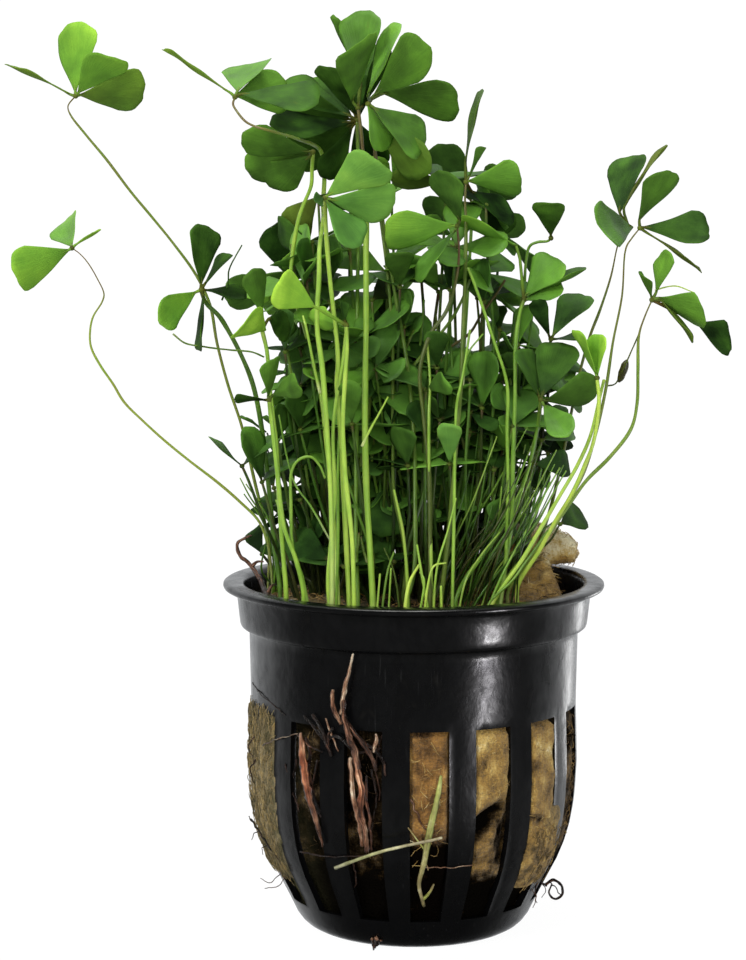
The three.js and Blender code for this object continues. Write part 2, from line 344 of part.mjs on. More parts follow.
// the stem stops a gap short of the hub, and its foot a gap above the wool
function stemPoints(f) {
  const pts = f.stem.map(V), hub = V(f.hub), out = [];
  const reach = f.reach || HUB_R + GAP;
  let started = false;
  for (let i = 0; i < pts.length; i++) {
    if (!started) {
      if (i + 1 < pts.length && pts[i + 1].distanceTo(hub) < reach) continue;
      const a = pts[i], b = pts[i + 1];
      if (a.distanceTo(hub) < reach) {
        const d = b.clone().sub(a), n = d.length();
        let t = 0;
        while (t < 1 && a.clone().addScaledVector(d, t).distanceTo(hub) < reach) t += 0.2 / n;
        out.push(a.clone().addScaledVector(d, Math.min(t, 0.95)));
      } else out.push(a.clone());
      started = true;
    } else out.push(pts[i].clone());
  }
  return out.map((p) => [p.x, p.y, p.z]);
}

// the stem's bar; with grow, the room to keep clear round it
function trimmedStem(f, grow = 0) {
  const pts = stemPoints(f);
  if (grow > 0) {
    const push = (a, b) => {
      const d = V(a).sub(V(b)).setLength(grow);
      return [a[0] + d.x, a[1] + d.y, a[2] + d.z];
    };
    pts[0] = push(pts[0], pts[1]);
    pts[pts.length - 1] = push(pts[pts.length - 1], pts[pts.length - 2]);
  }
  return toSolid(tube(pts, f.r + grow * 1.5, STEM_SIDES, f.steps));
}

const group = new THREE.Group();
group.name = 'potted_water_clover';
const solids = {};

function put(name, solid, colour, roughness, metalness = 0) {
  const mesh = new THREE.Mesh(toGeometry(solid),
    new THREE.MeshStandardMaterial({ color: colour, roughness, metalness }));
  mesh.name = name;
  group.add(mesh);
  solids[name] = solid;
  return mesh;
}

// ---------------------------------------------------------------- pot
{
  // the facets' edges lie on the edges of the slots
  const half = THREE.MathUtils.degToRad(SLOT_HALF_DEG), pitch = (2 * Math.PI) / SLOTS;
  const first = THREE.MathUtils.degToRad(SLOT_FIRST_DEG - 90);
  const facet = (2 * Math.PI) / POT_SEGMENTS;
  let pot = toSolid(turned(POT_PROFILE, POT_SEGMENTS, (x, y, z) => {
    const r = Math.hypot(x, y);
    if (r < 1e-6) return [0, 0, z];
    const i = Math.round((Math.atan2(y, x) + 2 * Math.PI) / facet) % POT_SEGMENTS;
    const a = first + pitch * Math.floor(i / 2) + (i % 2 ? half : -half);
    return [r * Math.cos(a), r * Math.sin(a), z];
  }));
  for (let k = 0; k < SLOTS; k++) {
    const mid = first + pitch * k;
    const s = new THREE.Shape();
    const corner = (r, a) => [r * Math.cos(a), r * Math.sin(a)];
    s.moveTo(...corner(16.5, mid - half));
    s.lineTo(...corner(29, mid - half));
    s.lineTo(...corner(29, mid + half));
    s.lineTo(...corner(16.5, mid + half));
    s.closePath();
    const g = new THREE.ExtrudeGeometry(s, { depth: SLOT_TOP - SLOT_BOTTOM, bevelEnabled: false, steps: 1 });
    g.translate(0, 0, SLOT_BOTTOM);
    pot = pot.subtract(toSolid(g));
  }
  const drain = (x, y, r) => {
    const g = new THREE.CylinderGeometry(r, r, 6, 7, 1, false);
    g.rotateX(Math.PI / 2);
    g.translate(x, y, 0.7);
    pot = pot.subtract(toSolid(g));
  };
  for (let k = 0; k < DRAIN_COUNT; k++) {
    const a = (2 * Math.PI * k) / DRAIN_COUNT + 0.3;
    drain(DRAIN_RING_R * Math.cos(a), DRAIN_RING_R * Math.sin(a), DRAIN_R);
  }
  put('net_pot', pot.simplify(0.07), 0x141416, 0.28);
}

// ---------------------------------------------------------------- mineral wool
put('rockwool_plug', toSolid(turned(WOOL_PROFILE, POT_SEGMENTS / 2)), 0xa08a4e, 0.95);
{
  // a torn lump of the wool that stands up at the right-hand back and leans over the rim
  const s = new THREE.Shape();
  [[11.5, 47.9], [17.4, 47.9], [17.7, 50.5], [23.9, 51.0], [24.3, 53.6], [20.6, 55.4], [14.5, 55.9], [11.2, 53.0]]
    .forEach(([x, z], i) => (i ? s.lineTo(x, z) : s.moveTo(x, z)));
  s.closePath();
  const g = new THREE.ExtrudeGeometry(s, { depth: 6.6, bevelEnabled: false, steps: 2 });
  g.rotateX(Math.PI / 2);        // profile plane becomes XZ, depth runs towards -Y
  g.translate(0, 15.4, 0);
  put('rockwool_block', toSolid(g), 0xb59a58, 0.95);
}

// ---------------------------------------------------------------- rhizome and roots
put('rhizome', toSolid(tube(RHIZOME, 0.75, 5, 11)), 0x5d4024, 0.8);
for (const [name, pts, r, sides, steps, colour] of ROOTS) {
  put(name, toSolid(tube(pts, r, sides, steps)), colour, 0.75);
}

// ---------------------------------------------------------------- fronds
for (const f of FRONDS) {
  put('stem_' + f.id, trimmedStem(f), f.r > 0.8 ? 0xa6bf55 : 0x86a548, 0.5);
  put('leaf_' + f.id, frondLeaf(f), 0x4f8a2c, 0.45);
}

// ---------------------------------------------------------------- inner growth
// the crowd of short fronds and stems in the middle, as one closed shape that reaches
// their tips, hollowed where the fronds above pass through it
{
  const blob = new THREE.SphereGeometry(1, 12, 8);
  const p = blob.attributes.position;
  for (let i = 0; i < p.count; i++) {
    const x = p.getX(i), y = p.getY(i), z = p.getZ(i);
    const q = INNER(x, y, z);
    p.setXYZ(i, q[0], q[1], q[2]);
  }
  let inner = toSolid(blob);
  for (const f of FRONDS) {
    inner = inner.subtract(trimmedStem(f, HOLLOW)).subtract(frondLeaf(f, HOLLOW));
  }
  const bodies = inner.decompose().sort((a, b) => b.volume() - a.volume());
  const whole = bodies[0].simplify(0.25).decompose().sort((a, b) => b.volume() - a.volume());
  put('inner_growth', whole[0], 0x3c6b22, 0.6);
}

export default group;
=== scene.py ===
# Potted water clover: the looks of a clover that grows out of mineral wool in a black
# slotted net pot. Metres, +Z up; the tables below are in millimetres, in the same frame.
import bpy
import math
import numpy as np
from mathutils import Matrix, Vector, noise


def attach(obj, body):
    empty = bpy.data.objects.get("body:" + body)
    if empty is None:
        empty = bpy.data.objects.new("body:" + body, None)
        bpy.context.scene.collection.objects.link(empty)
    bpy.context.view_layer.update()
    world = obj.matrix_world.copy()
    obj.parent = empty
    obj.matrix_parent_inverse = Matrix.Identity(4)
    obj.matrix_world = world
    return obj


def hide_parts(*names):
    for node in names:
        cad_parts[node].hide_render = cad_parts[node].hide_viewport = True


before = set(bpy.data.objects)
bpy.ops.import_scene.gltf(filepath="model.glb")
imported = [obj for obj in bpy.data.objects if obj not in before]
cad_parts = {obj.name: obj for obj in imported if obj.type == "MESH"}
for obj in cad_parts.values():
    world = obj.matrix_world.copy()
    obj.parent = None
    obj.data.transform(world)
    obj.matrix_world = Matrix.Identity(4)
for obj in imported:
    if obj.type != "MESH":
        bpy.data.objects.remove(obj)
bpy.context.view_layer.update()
MM = 0.001

# ------------------------------------------------------------------ tables (mm)
# The tone of each leaflet is its brightness as seen, with painted light and shade in it: leaflets on the lit left are
# lighter, those in shade on the right and deep inside are darker.
FRONDS = {
    "01": {"hub": [-46.92, -8.0, 118.73], "r": [0.44, 0.28],
        "stem": [[-46.92, -8.0, 118.73], [-48.0, -7.84, 117.36], [-47.76, -7.74, 116.27], [-45.62, -7.36, 113.39], [-42.93, -6.86, 110.09], [-39.58, -6.12, 105.52], [-36.87, -5.52, 102.18], [-33.89, -4.81, 98.4], [-30.76, -3.98, 93.9], [-28.87, -3.26, 89.64], [-27.98, -2.42, 84.22], [-26.52, -1.49, 78.17], [-24.62, -0.58, 72.07], [-23.0, 0.43, 64.47], [-21.36, 1.31, 56.95], [-20.56, 2.0, 49.53], [-20.56, 2.0, 47.4]],
        "leaves": [
            {"B": [-46.92, -8.0, 119.0], "t": [-0.063, 0.162, 0.985], "w": [0.786, -0.6, 0.149], "L": 9.97, "hw": 4.58, "tone": 0.68, "brown": 0.0},
            {"B": [-46.71, -8.0, 119.0], "t": [0.617, -0.585, 0.527], "w": [0.776, 0.563, -0.283], "L": 9.69, "hw": 3.53, "tone": 0.58, "brown": 0.0},
            {"B": [-46.57, -8.0, 118.86], "t": [0.959, 0.277, 0.054], "w": [-0.179, 0.747, -0.64], "L": 9.33, "hw": 4.78, "tone": 0.46, "brown": 0.45},
            {"B": [-47.27, -8.0, 118.73], "t": [-0.867, -0.068, 0.494], "w": [-0.115, 0.991, -0.065], "L": 10.15, "hw": 2.94, "tone": 0.52, "brown": 0.6},
        ]},
    "02": {"hub": [-48.36, -3.0, 97.66], "r": [0.42, 0.27],
        "stem": [[-48.36, -3.0, 97.66], [-47.26, -2.86, 96.82], [-46.17, -2.67, 95.54], [-44.82, -2.33, 93.13], [-44.03, -2.05, 91.14], [-44.34, -1.89, 90.0], [-45.7, -1.54, 87.85], [-46.19, -1.21, 85.7], [-46.12, -0.87, 83.54], [-44.92, -0.41, 80.94], [-43.15, 0.14, 78.17], [-41.66, 0.66, 75.54], [-39.03, 1.33, 72.75], [-35.95, 2.08, 69.79], [-32.29, 2.9, 66.65], [-28.59, 3.68, 63.66], [-25.45, 4.33, 60.8], [-22.45, 4.95, 57.49], [-21.32, 5.47, 53.44], [-21.38, 6.0, 48.33], [-21.38, 6.0, 47.4]],
        "leaves": [
            {"B": [-48.51, -3.0, 97.52], "t": [-0.667, -0.678, -0.31], "w": [0.223, 0.216, -0.951], "L": 10.79, "hw": 3.38, "tone": 0.74, "brown": 0.0},
            {"B": [-48.36, -3.0, 97.8], "t": [-0.231, 0.906, 0.354], "w": [0.735, -0.077, 0.674], "L": 10.28, "hw": 2.94, "tone": 0.62, "brown": 0.0},
            {"B": [-48.08, -3.0, 97.95], "t": [0.829, 0.086, 0.553], "w": [-0.047, 0.995, -0.083], "L": 4.45, "hw": 0.74, "tone": 0.78, "brown": 0.5},
        ]},
    "03": {"hub": [-29.3, -13.0, 92.11], "r": [0.47, 0.36],
        "stem": [[-29.3, -13.0, 92.11], [-28.81, -10.81, 90.23], [-27.16, -9.03, 88.35], [-25.88, -7.58, 86.05], [-24.2, -5.9, 82.45], [-22.75, -4.6, 78.4], [-21.58, -3.39, 71.9], [-20.79, -2.92, 64.7], [-19.95, -3.23, 56.11], [-19.08, -4.0, 49.29], [-19.08, -4.0, 47.4]],
        "leaves": [
            {"B": [-29.3, -13.0, 92.66], "t": [0.012, 0.108, 0.994], "w": [0.522, 0.848, -0.098], "L": 8.44, "hw": 3.92, "tone": 0.2, "brown": 0.0},
            {"B": [-29.86, -13.0, 91.97], "t": [-0.406, -0.848, -0.341], "w": [0.202, 0.281, -0.938], "L": 10.44, "hw": 2.59, "tone": 0.64, "brown": 0.0},
            {"B": [-29.03, -13.0, 92.11], "t": [0.999, 0.026, -0.049], "w": [0.012, -0.963, -0.269], "L": 6.06, "hw": 3.8, "tone": 0.12, "brown": 0.0},
            {"B": [-29.03, -13.0, 91.7], "t": [0.002, -0.053, -0.999], "w": [0.253, -0.966, 0.052], "L": 8.09, "hw": 3.66, "tone": 0.22, "brown": 0.0},
            {"B": [-28.89, -13.0, 92.8], "t": [0.619, 0.124, 0.776], "w": [0.254, -0.966, -0.048], "L": 5.67, "hw": 3.76, "tone": 0.16, "brown": 0.0},
        ]},
    "04": {"hub": [-24.96, -6.0, 118.65], "r": [0.5, 0.32],
        "stem": [[-24.96, -6.0, 118.65], [-25.2, -6.55, 117.67], [-24.76, -6.91, 116.83], [-23.48, -7.56, 115.3], [-22.21, -7.98, 114.6], [-19.25, -8.81, 113.75], [-16.73, -9.47, 113.05], [-13.81, -10.22, 111.8], [-13.1, -10.98, 108.51], [-13.21, -11.99, 103.73], [-13.05, -12.7, 100.05], [-13.03, -13.75, 94.2], [-13.28, -14.82, 87.4], [-12.58, -15.58, 81.97], [-12.16, -16.16, 77.21], [-11.88, -16.62, 72.86], [-11.46, -17.19, 66.45], [-11.18, -17.78, 56.72], [-11.19, -18.0, 49.26], [-11.19, -18.0, 47.4]],
        "leaves": [
            {"B": [-25.09, -6.0, 118.93], "t": [-0.859, -0.03, 0.511], "w": [-0.073, 0.995, -0.063], "L": 11.66, "hw": 1.25, "tone": 0.62, "brown": 0.9},
            {"B": [-24.67, -6.0, 119.34], "t": [0.125, 0.877, 0.464], "w": [0.963, -0.22, 0.156], "L": 10.3, "hw": 3.97, "tone": 0.56, "brown": 0.0},
            {"B": [-24.53, -6.0, 119.07], "t": [0.977, -0.211, -0.039], "w": [-0.193, -0.78, -0.595], "L": 11.66, "hw": 3.98, "tone": 0.24, "brown": 0.0},
            {"B": [-25.31, -3.0, 118.91], "t": [0.638, 0.763, 0.11], "w": [0.33, -0.142, -0.933], "L": 10.36, "hw": 3.57, "tone": 0.52, "brown": 0.0},
        ]},
    "05": {"hub": [-8.29, 8.0, 115.91], "r": [0.43, 0.32],
        "stem": [[-8.29, 8.0, 115.91], [-8.15, 7.99, 111.6], [-7.85, 7.26, 105.84], [-7.97, 6.13, 100.09], [-8.1, 5.01, 95.51], [-8.18, 2.16, 85.84], [-8.12, -1.14, 76.02], [-8.18, -4.93, 65.09], [-8.13, -7.62, 56.73], [-7.8, -10.0, 47.98], [-7.8, -10.0, 47.4]],
        "leaves": [
            {"B": [-8.73, 8.0, 116.19], "t": [-0.871, 0.229, 0.434], "w": [0.444, 0.744, 0.499], "L": 12.57, "hw": 3.96, "tone": 0.2, "brown": 0.0},
            {"B": [-8.44, 8.0, 116.48], "t": [-0.423, -0.572, 0.702], "w": [0.743, -0.662, -0.091], "L": 9.71, "hw": 3.74, "tone": 0.16, "brown": 0.0},
            {"B": [-8.73, 8.0, 115.62], "t": [-0.911, -0.406, -0.08], "w": [0.379, -0.742, -0.553], "L": 12.61, "hw": 4.01, "tone": 0.14, "brown": 0.0},
            {"B": [-8.87, 8.0, 115.19], "t": [-0.451, 0.035, -0.892], "w": [0.529, 0.816, -0.234], "L": 8.84, "hw": 3.54, "tone": 0.14, "brown": 0.0},
            {"B": [-8.32, 9.0, 115.65], "t": [0.119, 0.065, 0.991], "w": [0.665, -0.746, -0.031], "L": 6.83, "hw": 3.99, "tone": 0.12, "brown": 0.0},
            {"B": [-9.04, 9.0, 115.94], "t": [-0.96, -0.01, 0.28], "w": [0.205, -0.707, 0.677], "L": 10.05, "hw": 4.06, "tone": 0.18, "brown": 0.0},
            {"B": [-8.75, 9.0, 115.65], "t": [-0.767, 0.44, -0.467], "w": [0.641, 0.497, -0.585], "L": 12.27, "hw": 4.18, "tone": 0.18, "brown": 0.0},
            {"B": [-8.49, 10.0, 115.97], "t": [0.238, 0.764, -0.599], "w": [0.965, -0.116, 0.236], "L": 10.57, "hw": 3.1, "tone": 0.12, "brown": 0.0},
            {"B": [-8.95, 11.0, 116.29], "t": [-0.73, 0.403, 0.551], "w": [0.683, 0.461, 0.567], "L": 10.36, "hw": 4.2, "tone": 0.2, "brown": 0.0},
            {"B": [-7.65, 12.0, 118.63], "t": [0.203, 0.046, 0.978], "w": [0.568, -0.819, -0.08], "L": 8.94, "hw": 3.93, "tone": 0.26, "brown": 0.0},
        ]},
    "06": {"hub": [-14.38, 0.5, 111.18], "r": [0.47, 0.34],
        "stem": [[-14.38, 0.5, 111.18], [-14.59, 2.25, 108.95], [-14.78, 3.18, 106.4], [-15.97, 3.84, 103.55], [-16.71, 4.11, 101.26], [-17.44, 4.19, 97.25], [-17.73, 3.91, 93.66], [-17.14, 3.36, 90.09], [-15.82, 2.52, 86.54], [-14.48, 1.0, 81.45], [-13.27, -0.78, 76.56], [-12.48, -3.28, 70.48], [-11.53, -6.93, 62.32], [-10.52, -13.0, 48.45], [-10.52, -13.0, 47.4]],
        "leaves": [
            {"B": [-14.52, 0.5, 111.18], "t": [-0.984, -0.009, 0.178], "w": [-0.126, 0.74, -0.66], "L": 10.19, "hw": 3.55, "tone": 0.3, "brown": 0.0},
            {"B": [-14.52, 0.5, 110.76], "t": [-0.594, 0.699, -0.398], "w": [0.71, 0.222, -0.669], "L": 10.8, "hw": 3.02, "tone": 0.26, "brown": 0.0},
            {"B": [-14.62, 3.0, 110.94], "t": [-0.867, 0.463, -0.185], "w": [0.405, 0.438, -0.802], "L": 10.7, "hw": 3.04, "tone": 0.3, "brown": 0.0},
        ]},
    "07": {"hub": [-7.95, -1.0, 117.31], "r": [0.6, 0.46],
        "stem": [[-7.95, -1.0, 117.31], [-7.52, -1.4, 114.22], [-7.08, -2.25, 108.61], [-6.78, -3.24, 103.01], [-6.76, -4.46, 96.73], [-6.72, -6.69, 86.3], [-6.82, -8.83, 76.63], [-6.64, -11.15, 65.64], [-6.06, -12.91, 56.05], [-5.62, -14.0, 48.49], [-5.62, -14.0, 47.4]],
        "leaves": [
            {"B": [-7.67, -1.0, 120.65], "t": [0.063, 0.122, 0.991], "w": [0.796, -0.605, 0.024], "L": 10.38, "hw": 4.2, "tone": 0.42, "brown": 0.0},
            {"B": [-8.8, -1.0, 117.86], "t": [0.153, -0.709, 0.688], "w": [0.716, 0.56, 0.417], "L": 12.34, "hw": 4.29, "tone": 0.44, "brown": 0.0},
            {"B": [-7.38, 0.5, 121.77], "t": [-0.467, 0.355, 0.81], "w": [-0.11, 0.886, -0.451], "L": 10.35, "hw": 1.91, "tone": 0.22, "brown": 0.0},
            {"B": [-7.67, 7.5, 117.45], "t": [0.39, -0.004, 0.921], "w": [0.316, 0.94, -0.13], "L": 9.56, "hw": 3.82, "tone": 0.12, "brown": 0.0},
        ]},
    "08": {"hub": [-6.38, 6.0, 118.69], "r": [0.43, 0.3],
        "stem": [[-6.38, 6.0, 118.69], [-5.79, 4.96, 111.54], [-5.19, 3.7, 104.41], [-4.02, 1.94, 95.87], [-3.13, -0.28, 85.97], [-2.96, -3.18, 73.34], [-2.79, -5.39, 63.01], [-1.64, -6.43, 57.72], [-1.07, -7.15, 53.54], [-1.62, -8.0, 47.67], [-1.62, -8.0, 47.4]],
        "leaves": [
            {"B": [-6.67, -1.5, 118.98], "t": [0.408, -0.068, 0.91], "w": [0.375, -0.897, -0.235], "L": 10.96, "hw": 3.1, "tone": 0.56, "brown": 0.0},
            {"B": [-5.95, 6.0, 119.26], "t": [0.689, 0.373, 0.622], "w": [0.361, 0.568, -0.74], "L": 11.56, "hw": 4.41, "tone": 0.48, "brown": 0.0},
            {"B": [-4.8, 6.0, 119.69], "t": [0.976, -0.18, -0.126], "w": [0.025, 0.66, -0.75], "L": 11.65, "hw": 4.17, "tone": 0.36, "brown": 0.0},
        ]},
    "09": {"hub": [-6.45, -6.0, 117.68], "r": [0.48, 0.34],
        "stem": [[-6.45, -6.0, 117.68], [-5.27, -1.19, 110.03], [-4.43, 0.15, 101.58], [-2.56, -0.77, 90.26], [-0.84, -3.3, 80.46], [0.03, -6.79, 70.83], [0.19, -10.15, 62.73], [0.06, -14.23, 53.17], [-1.03, -16.0, 48.96], [-1.03, -16.0, 47.4]],
        "leaves": [
            {"B": [-6.59, -6.0, 117.95], "t": [0.376, 0.011, -0.926], "w": [-0.369, -0.916, -0.161], "L": 7.22, "hw": 3.83, "tone": 0.6, "brown": 0.0},
            {"B": [-5.89, -6.0, 117.4], "t": [0.7, 0.412, -0.584], "w": [-0.219, -0.654, -0.724], "L": 9.99, "hw": 4.11, "tone": 0.45, "brown": 0.0},
            {"B": [-5.34, -1.5, 116.58], "t": [0.597, 0.061, -0.8], "w": [-0.595, 0.703, -0.39], "L": 11.27, "hw": 3.96, "tone": 0.4, "brown": 0.4},
        ]},
    "10": {"hub": [-12.07, -17.0, 104.69], "r": [0.47, 0.34],
        "stem": [[-12.07, -17.0, 104.69], [-12.02, -14.92, 100.35], [-11.53, -13.41, 93.5], [-10.74, -12.73, 86.33], [-10.48, -12.63, 82.33], [-10.62, -12.68, 78.74], [-10.06, -13.14, 71.29], [-9.78, -13.66, 66.06], [-9.34, -14.74, 57.69], [-8.91, -16.0, 48.94], [-8.91, -16.0, 47.4]],
        "leaves": [
            {"B": [-12.07, -17.0, 104.82], "t": [0.773, -0.399, 0.494], "w": [0.63, 0.574, -0.523], "L": 10.28, "hw": 3.97, "tone": 0.74, "brown": 0.0},
            {"B": [-11.66, -17.0, 104.55], "t": [0.931, 0.345, -0.12], "w": [-0.324, 0.629, -0.707], "L": 9.55, "hw": 3.92, "tone": 0.54, "brown": 0.0},
            {"B": [-12.07, -17.0, 104.55], "t": [0.589, -0.071, -0.805], "w": [-0.53, -0.786, -0.319], "L": 7.88, "hw": 3.81, "tone": 0.52, "brown": 0.0},
            {"B": [-12.34, -17.0, 104.69], "t": [-0.148, -0.986, -0.077], "w": [0.433, 0.006, -0.901], "L": 6.35, "hw": 1.13, "tone": 0.26, "brown": 0.0},
        ]},
    "11": {"hub": [5.93, -9.0, 100.83], "r": [0.48, 0.36],
        "stem": [[5.93, -9.0, 100.83], [6.24, -8.14, 97.5], [5.98, -7.89, 94.03], [4.6, -8.01, 89.17], [2.24, -8.42, 85.7], [0.85, -9.2, 80.87], [1.42, -10.65, 74.0], [2.12, -12.37, 67.19], [2.27, -14.88, 57.74], [2.28, -17.0, 48.99], [2.28, -17.0, 47.4]],
        "leaves": [
            {"B": [5.93, -9.0, 100.97], "t": [-0.988, -0.123, -0.093], "w": [-0.001, 0.606, -0.796], "L": 10.3, "hw": 3.58, "tone": 0.7, "brown": 0.0},
            {"B": [5.94, -9.0, 100.56], "t": [-0.624, -0.094, -0.775], "w": [0.303, -0.944, -0.129], "L": 9.15, "hw": 3.62, "tone": 0.46, "brown": 0.0},
            {"B": [6.49, -9.0, 101.25], "t": [-0.353, -0.178, 0.918], "w": [0.605, -0.793, 0.079], "L": 7.98, "hw": 3.91, "tone": 0.26, "brown": 0.0},
        ]},
    "12": {"hub": [7.34, 0.0, 106.94], "r": [0.43, 0.34],
        "stem": [[7.34, 0.0, 106.94], [7.18, -1.6, 104.27], [7.3, -2.88, 101.19], [7.14, -5.58, 93.12], [6.85, -7.53, 85.8], [6.57, -9.04, 78.77], [5.88, -10.51, 69.8], [5.07, -11.53, 60.1], [3.84, -12.0, 48.19], [3.84, -12.0, 47.4]],
        "leaves": [
            {"B": [7.19, 0.0, 109.2], "t": [0.131, -0.013, 0.991], "w": [0.145, -0.989, -0.032], "L": 11.08, "hw": 2.7, "tone": 0.32, "brown": 0.3, "cool": 0.5},
            {"B": [7.48, 0.0, 107.09], "t": [0.989, -0.145, -0.037], "w": [0.087, 0.76, -0.644], "L": 7.9, "hw": 4.09, "tone": 0.5, "brown": 0.0},
            {"B": [7.62, 0.0, 107.51], "t": [0.529, -0.008, 0.849], "w": [0.137, 0.988, -0.076], "L": 4.89, "hw": 2.06, "tone": 0.34, "brown": 0.0},
            {"B": [7.91, 1.0, 105.82], "t": [0.813, 0.293, -0.503], "w": [-0.02, -0.849, -0.528], "L": 7.86, "hw": 3.74, "tone": 0.08, "brown": 0.0},
        ]},
    "13": {"hub": [19.6, 3.0, 99.0], "r": [0.46, 0.28],
        "stem": [[19.6, 3.0, 99.0], [19.19, 3.27, 98.56], [17.78, 3.61, 98.41], [16.64, 3.83, 97.84], [16.1, 4.14, 95.54], [15.85, 4.49, 91.51], [15.02, 4.66, 87.18], [14.19, 4.67, 82.84], [13.93, 4.42, 75.61], [13.81, 3.8, 66.93], [13.69, 3.0, 58.26], [13.41, 2.43, 52.48], [12.55, 2.0, 48.14], [12.55, 2.0, 47.4]],
        "leaves": [
            {"B": [19.6, 3.0, 99.14], "t": [-0.085, -0.836, 0.542], "w": [0.996, -0.091, 0.015], "L": 10.66, "hw": 2.49, "tone": 0.22, "brown": 0.0},
        ]},
    "14": {"hub": [15.54, -3.0, 90.37], "r": [0.47, 0.36],
        "stem": [[15.54, -3.0, 90.37], [14.94, -4.15, 88.72], [14.34, -5.63, 84.86], [14.17, -7.52, 76.56], [13.91, -8.39, 68.19], [13.69, -8.53, 58.32], [11.93, -8.0, 48.28], [11.93, -8.0, 47.4]],
        "leaves": [
            {"B": [15.54, -3.0, 90.65], "t": [0.63, 0.011, 0.777], "w": [0.5, -0.771, -0.394], "L": 7.41, "hw": 4.04, "tone": 0.5, "brown": 0.0},
            {"B": [15.54, -3.0, 90.22], "t": [0.868, -0.212, 0.45], "w": [0.025, -0.884, -0.466], "L": 5.91, "hw": 3.8, "tone": 0.5, "brown": 0.0},
            {"B": [15.53, -3.0, 90.93], "t": [0.934, -0.031, 0.355], "w": [-0.003, -0.997, -0.078], "L": 9.54, "hw": 3.73, "tone": 0.3, "brown": 0.0},
            {"B": [14.78, -3.0, 97.82], "t": [-0.912, 0.16, 0.377], "w": [0.049, 0.956, -0.288], "L": 9.54, "hw": 3.62, "tone": 0.6, "brown": 0.0},
        ]},
    "15": {"hub": [19.5, -1.0, 84.75], "r": [0.43, 0.34],
        "stem": [[19.5, -1.0, 84.75], [19.31, 0.55, 82.8], [18.71, 2.11, 78.68], [17.93, 2.96, 72.83], [17.1, 2.64, 65.6], [15.93, 1.06, 57.06], [13.89, -1.0, 48.91], [13.89, -1.0, 47.4]],
        "leaves": [
            {"B": [19.64, -1.0, 85.03], "t": [0.547, 0.356, 0.758], "w": [0.632, -0.769, -0.094], "L": 8.37, "hw": 3.78, "tone": 0.28, "brown": 0.0},
            {"B": [19.36, -1.0, 84.89], "t": [-0.238, -0.787, 0.569], "w": [0.936, -0.029, 0.35], "L": 10.09, "hw": 1.39, "tone": 0.14, "brown": 0.0},
            {"B": [19.79, -1.0, 84.75], "t": [0.999, -0.04, -0.009], "w": [-0.041, -0.999, -0.038], "L": 4.45, "hw": 3.71, "tone": 0.26, "brown": 0.0},
        ]},
    "16": {"hub": [30.85, 6.0, 100.68], "r": [0.39, 0.24],
        "stem": [[30.85, 6.0, 100.68], [29.86, 6.04, 99.24], [29.31, 6.09, 97.51], [28.5, 6.22, 93.47], [26.97, 6.4, 88.55], [25.57, 6.56, 84.77], [23.9, 6.83, 78.35], [22.25, 7.21, 69.53], [20.02, 7.63, 59.16], [17.44, 7.88, 51.71], [15.12, 8.0, 47.81], [15.12, 8.0, 47.4]],
        "leaves": [
            {"B": [29.54, 6.0, 102.25], "t": [0.176, 0.451, 0.875], "w": [0.725, -0.66, 0.195], "L": 10.29, "hw": 3.97, "tone": 0.24, "brown": 0.0},
            {"B": [29.97, 6.0, 102.68], "t": [0.456, -0.067, 0.888], "w": [0.023, -0.996, -0.087], "L": 11.44, "hw": 1.57, "tone": 0.34, "brown": 0.8},
            {"B": [31.79, 7.09, 100.48], "t": [-0.513, -0.857, 0.039], "w": [0.42, -0.29, -0.86], "L": 12.13, "hw": 3.86, "tone": 0.4, "brown": 0.0},
        ]},
    "17": {"hub": [31.87, -2.0, 100.48], "r": [0.39, 0.26],
        "stem": [[31.87, -2.0, 100.48], [30.77, -1.96, 99.08], [29.94, -1.91, 97.67], [29.47, -1.69, 90.89], [28.28, -1.45, 84.35], [27.38, -1.17, 77.78], [26.17, -0.92, 71.89], [24.53, -0.67, 65.97], [22.71, -0.51, 62.34], [19.89, -0.31, 57.68], [16.78, -0.13, 52.86], [14.5, 0.0, 48.46], [14.5, 0.0, 47.4]],
        "leaves": [
            {"B": [31.58, -2.0, 101.32], "t": [0.45, -0.318, 0.835], "w": [0.691, 0.716, -0.1], "L": 8.78, "hw": 3.82, "tone": 0.3, "brown": 0.0},
            {"B": [32.01, -2.0, 100.62], "t": [0.989, -0.089, -0.118], "w": [-0.144, -0.762, -0.631], "L": 9.71, "hw": 4.02, "tone": 0.2, "brown": 0.0},
            {"B": [32.44, -2.0, 100.06], "t": [0.851, -0.007, -0.524], "w": [-0.064, -0.994, -0.09], "L": 10.08, "hw": 1.41, "tone": 0.3, "brown": 0.7},
        ]},
    "18": {"hub": [33.03, -9.0, 90.62], "r": [0.46, 0.28],
        "stem": [[33.03, -9.0, 90.62], [32.1, -8.89, 88.39], [31.31, -8.75, 85.74], [31.25, -8.46, 80.85], [31.2, -8.14, 76.07], [30.42, -7.88, 72.53], [27.55, -7.51, 68.55], [24.38, -7.18, 65.26], [22.04, -6.89, 61.96], [18.99, -6.52, 57.35], [15.93, -6.23, 53.45], [13.41, -6.0, 49.11], [13.41, -6.0, 47.4]],
        "leaves": [
            {"B": [33.57, -9.0, 91.45], "t": [0.141, 0.1, 0.985], "w": [0.267, -0.962, 0.06], "L": 6.16, "hw": 3.81, "tone": 0.5, "brown": 0.0},
            {"B": [33.03, -9.0, 90.89], "t": [-0.386, -0.414, 0.824], "w": [0.23, -0.908, -0.349], "L": 4.45, "hw": 1.85, "tone": 0.3, "brown": 0.0},
            {"B": [33.72, -9.0, 91.03], "t": [0.855, -0.374, -0.36], "w": [0.062, 0.763, -0.644], "L": 7.82, "hw": 4.21, "tone": 0.52, "brown": 0.0},
            {"B": [39.13, -7.77, 87.59], "t": [0.837, 0.206, -0.507], "w": [-0.155, -0.799, -0.581], "L": 6.6, "hw": 3.93, "tone": 0.08, "brown": 0.0},
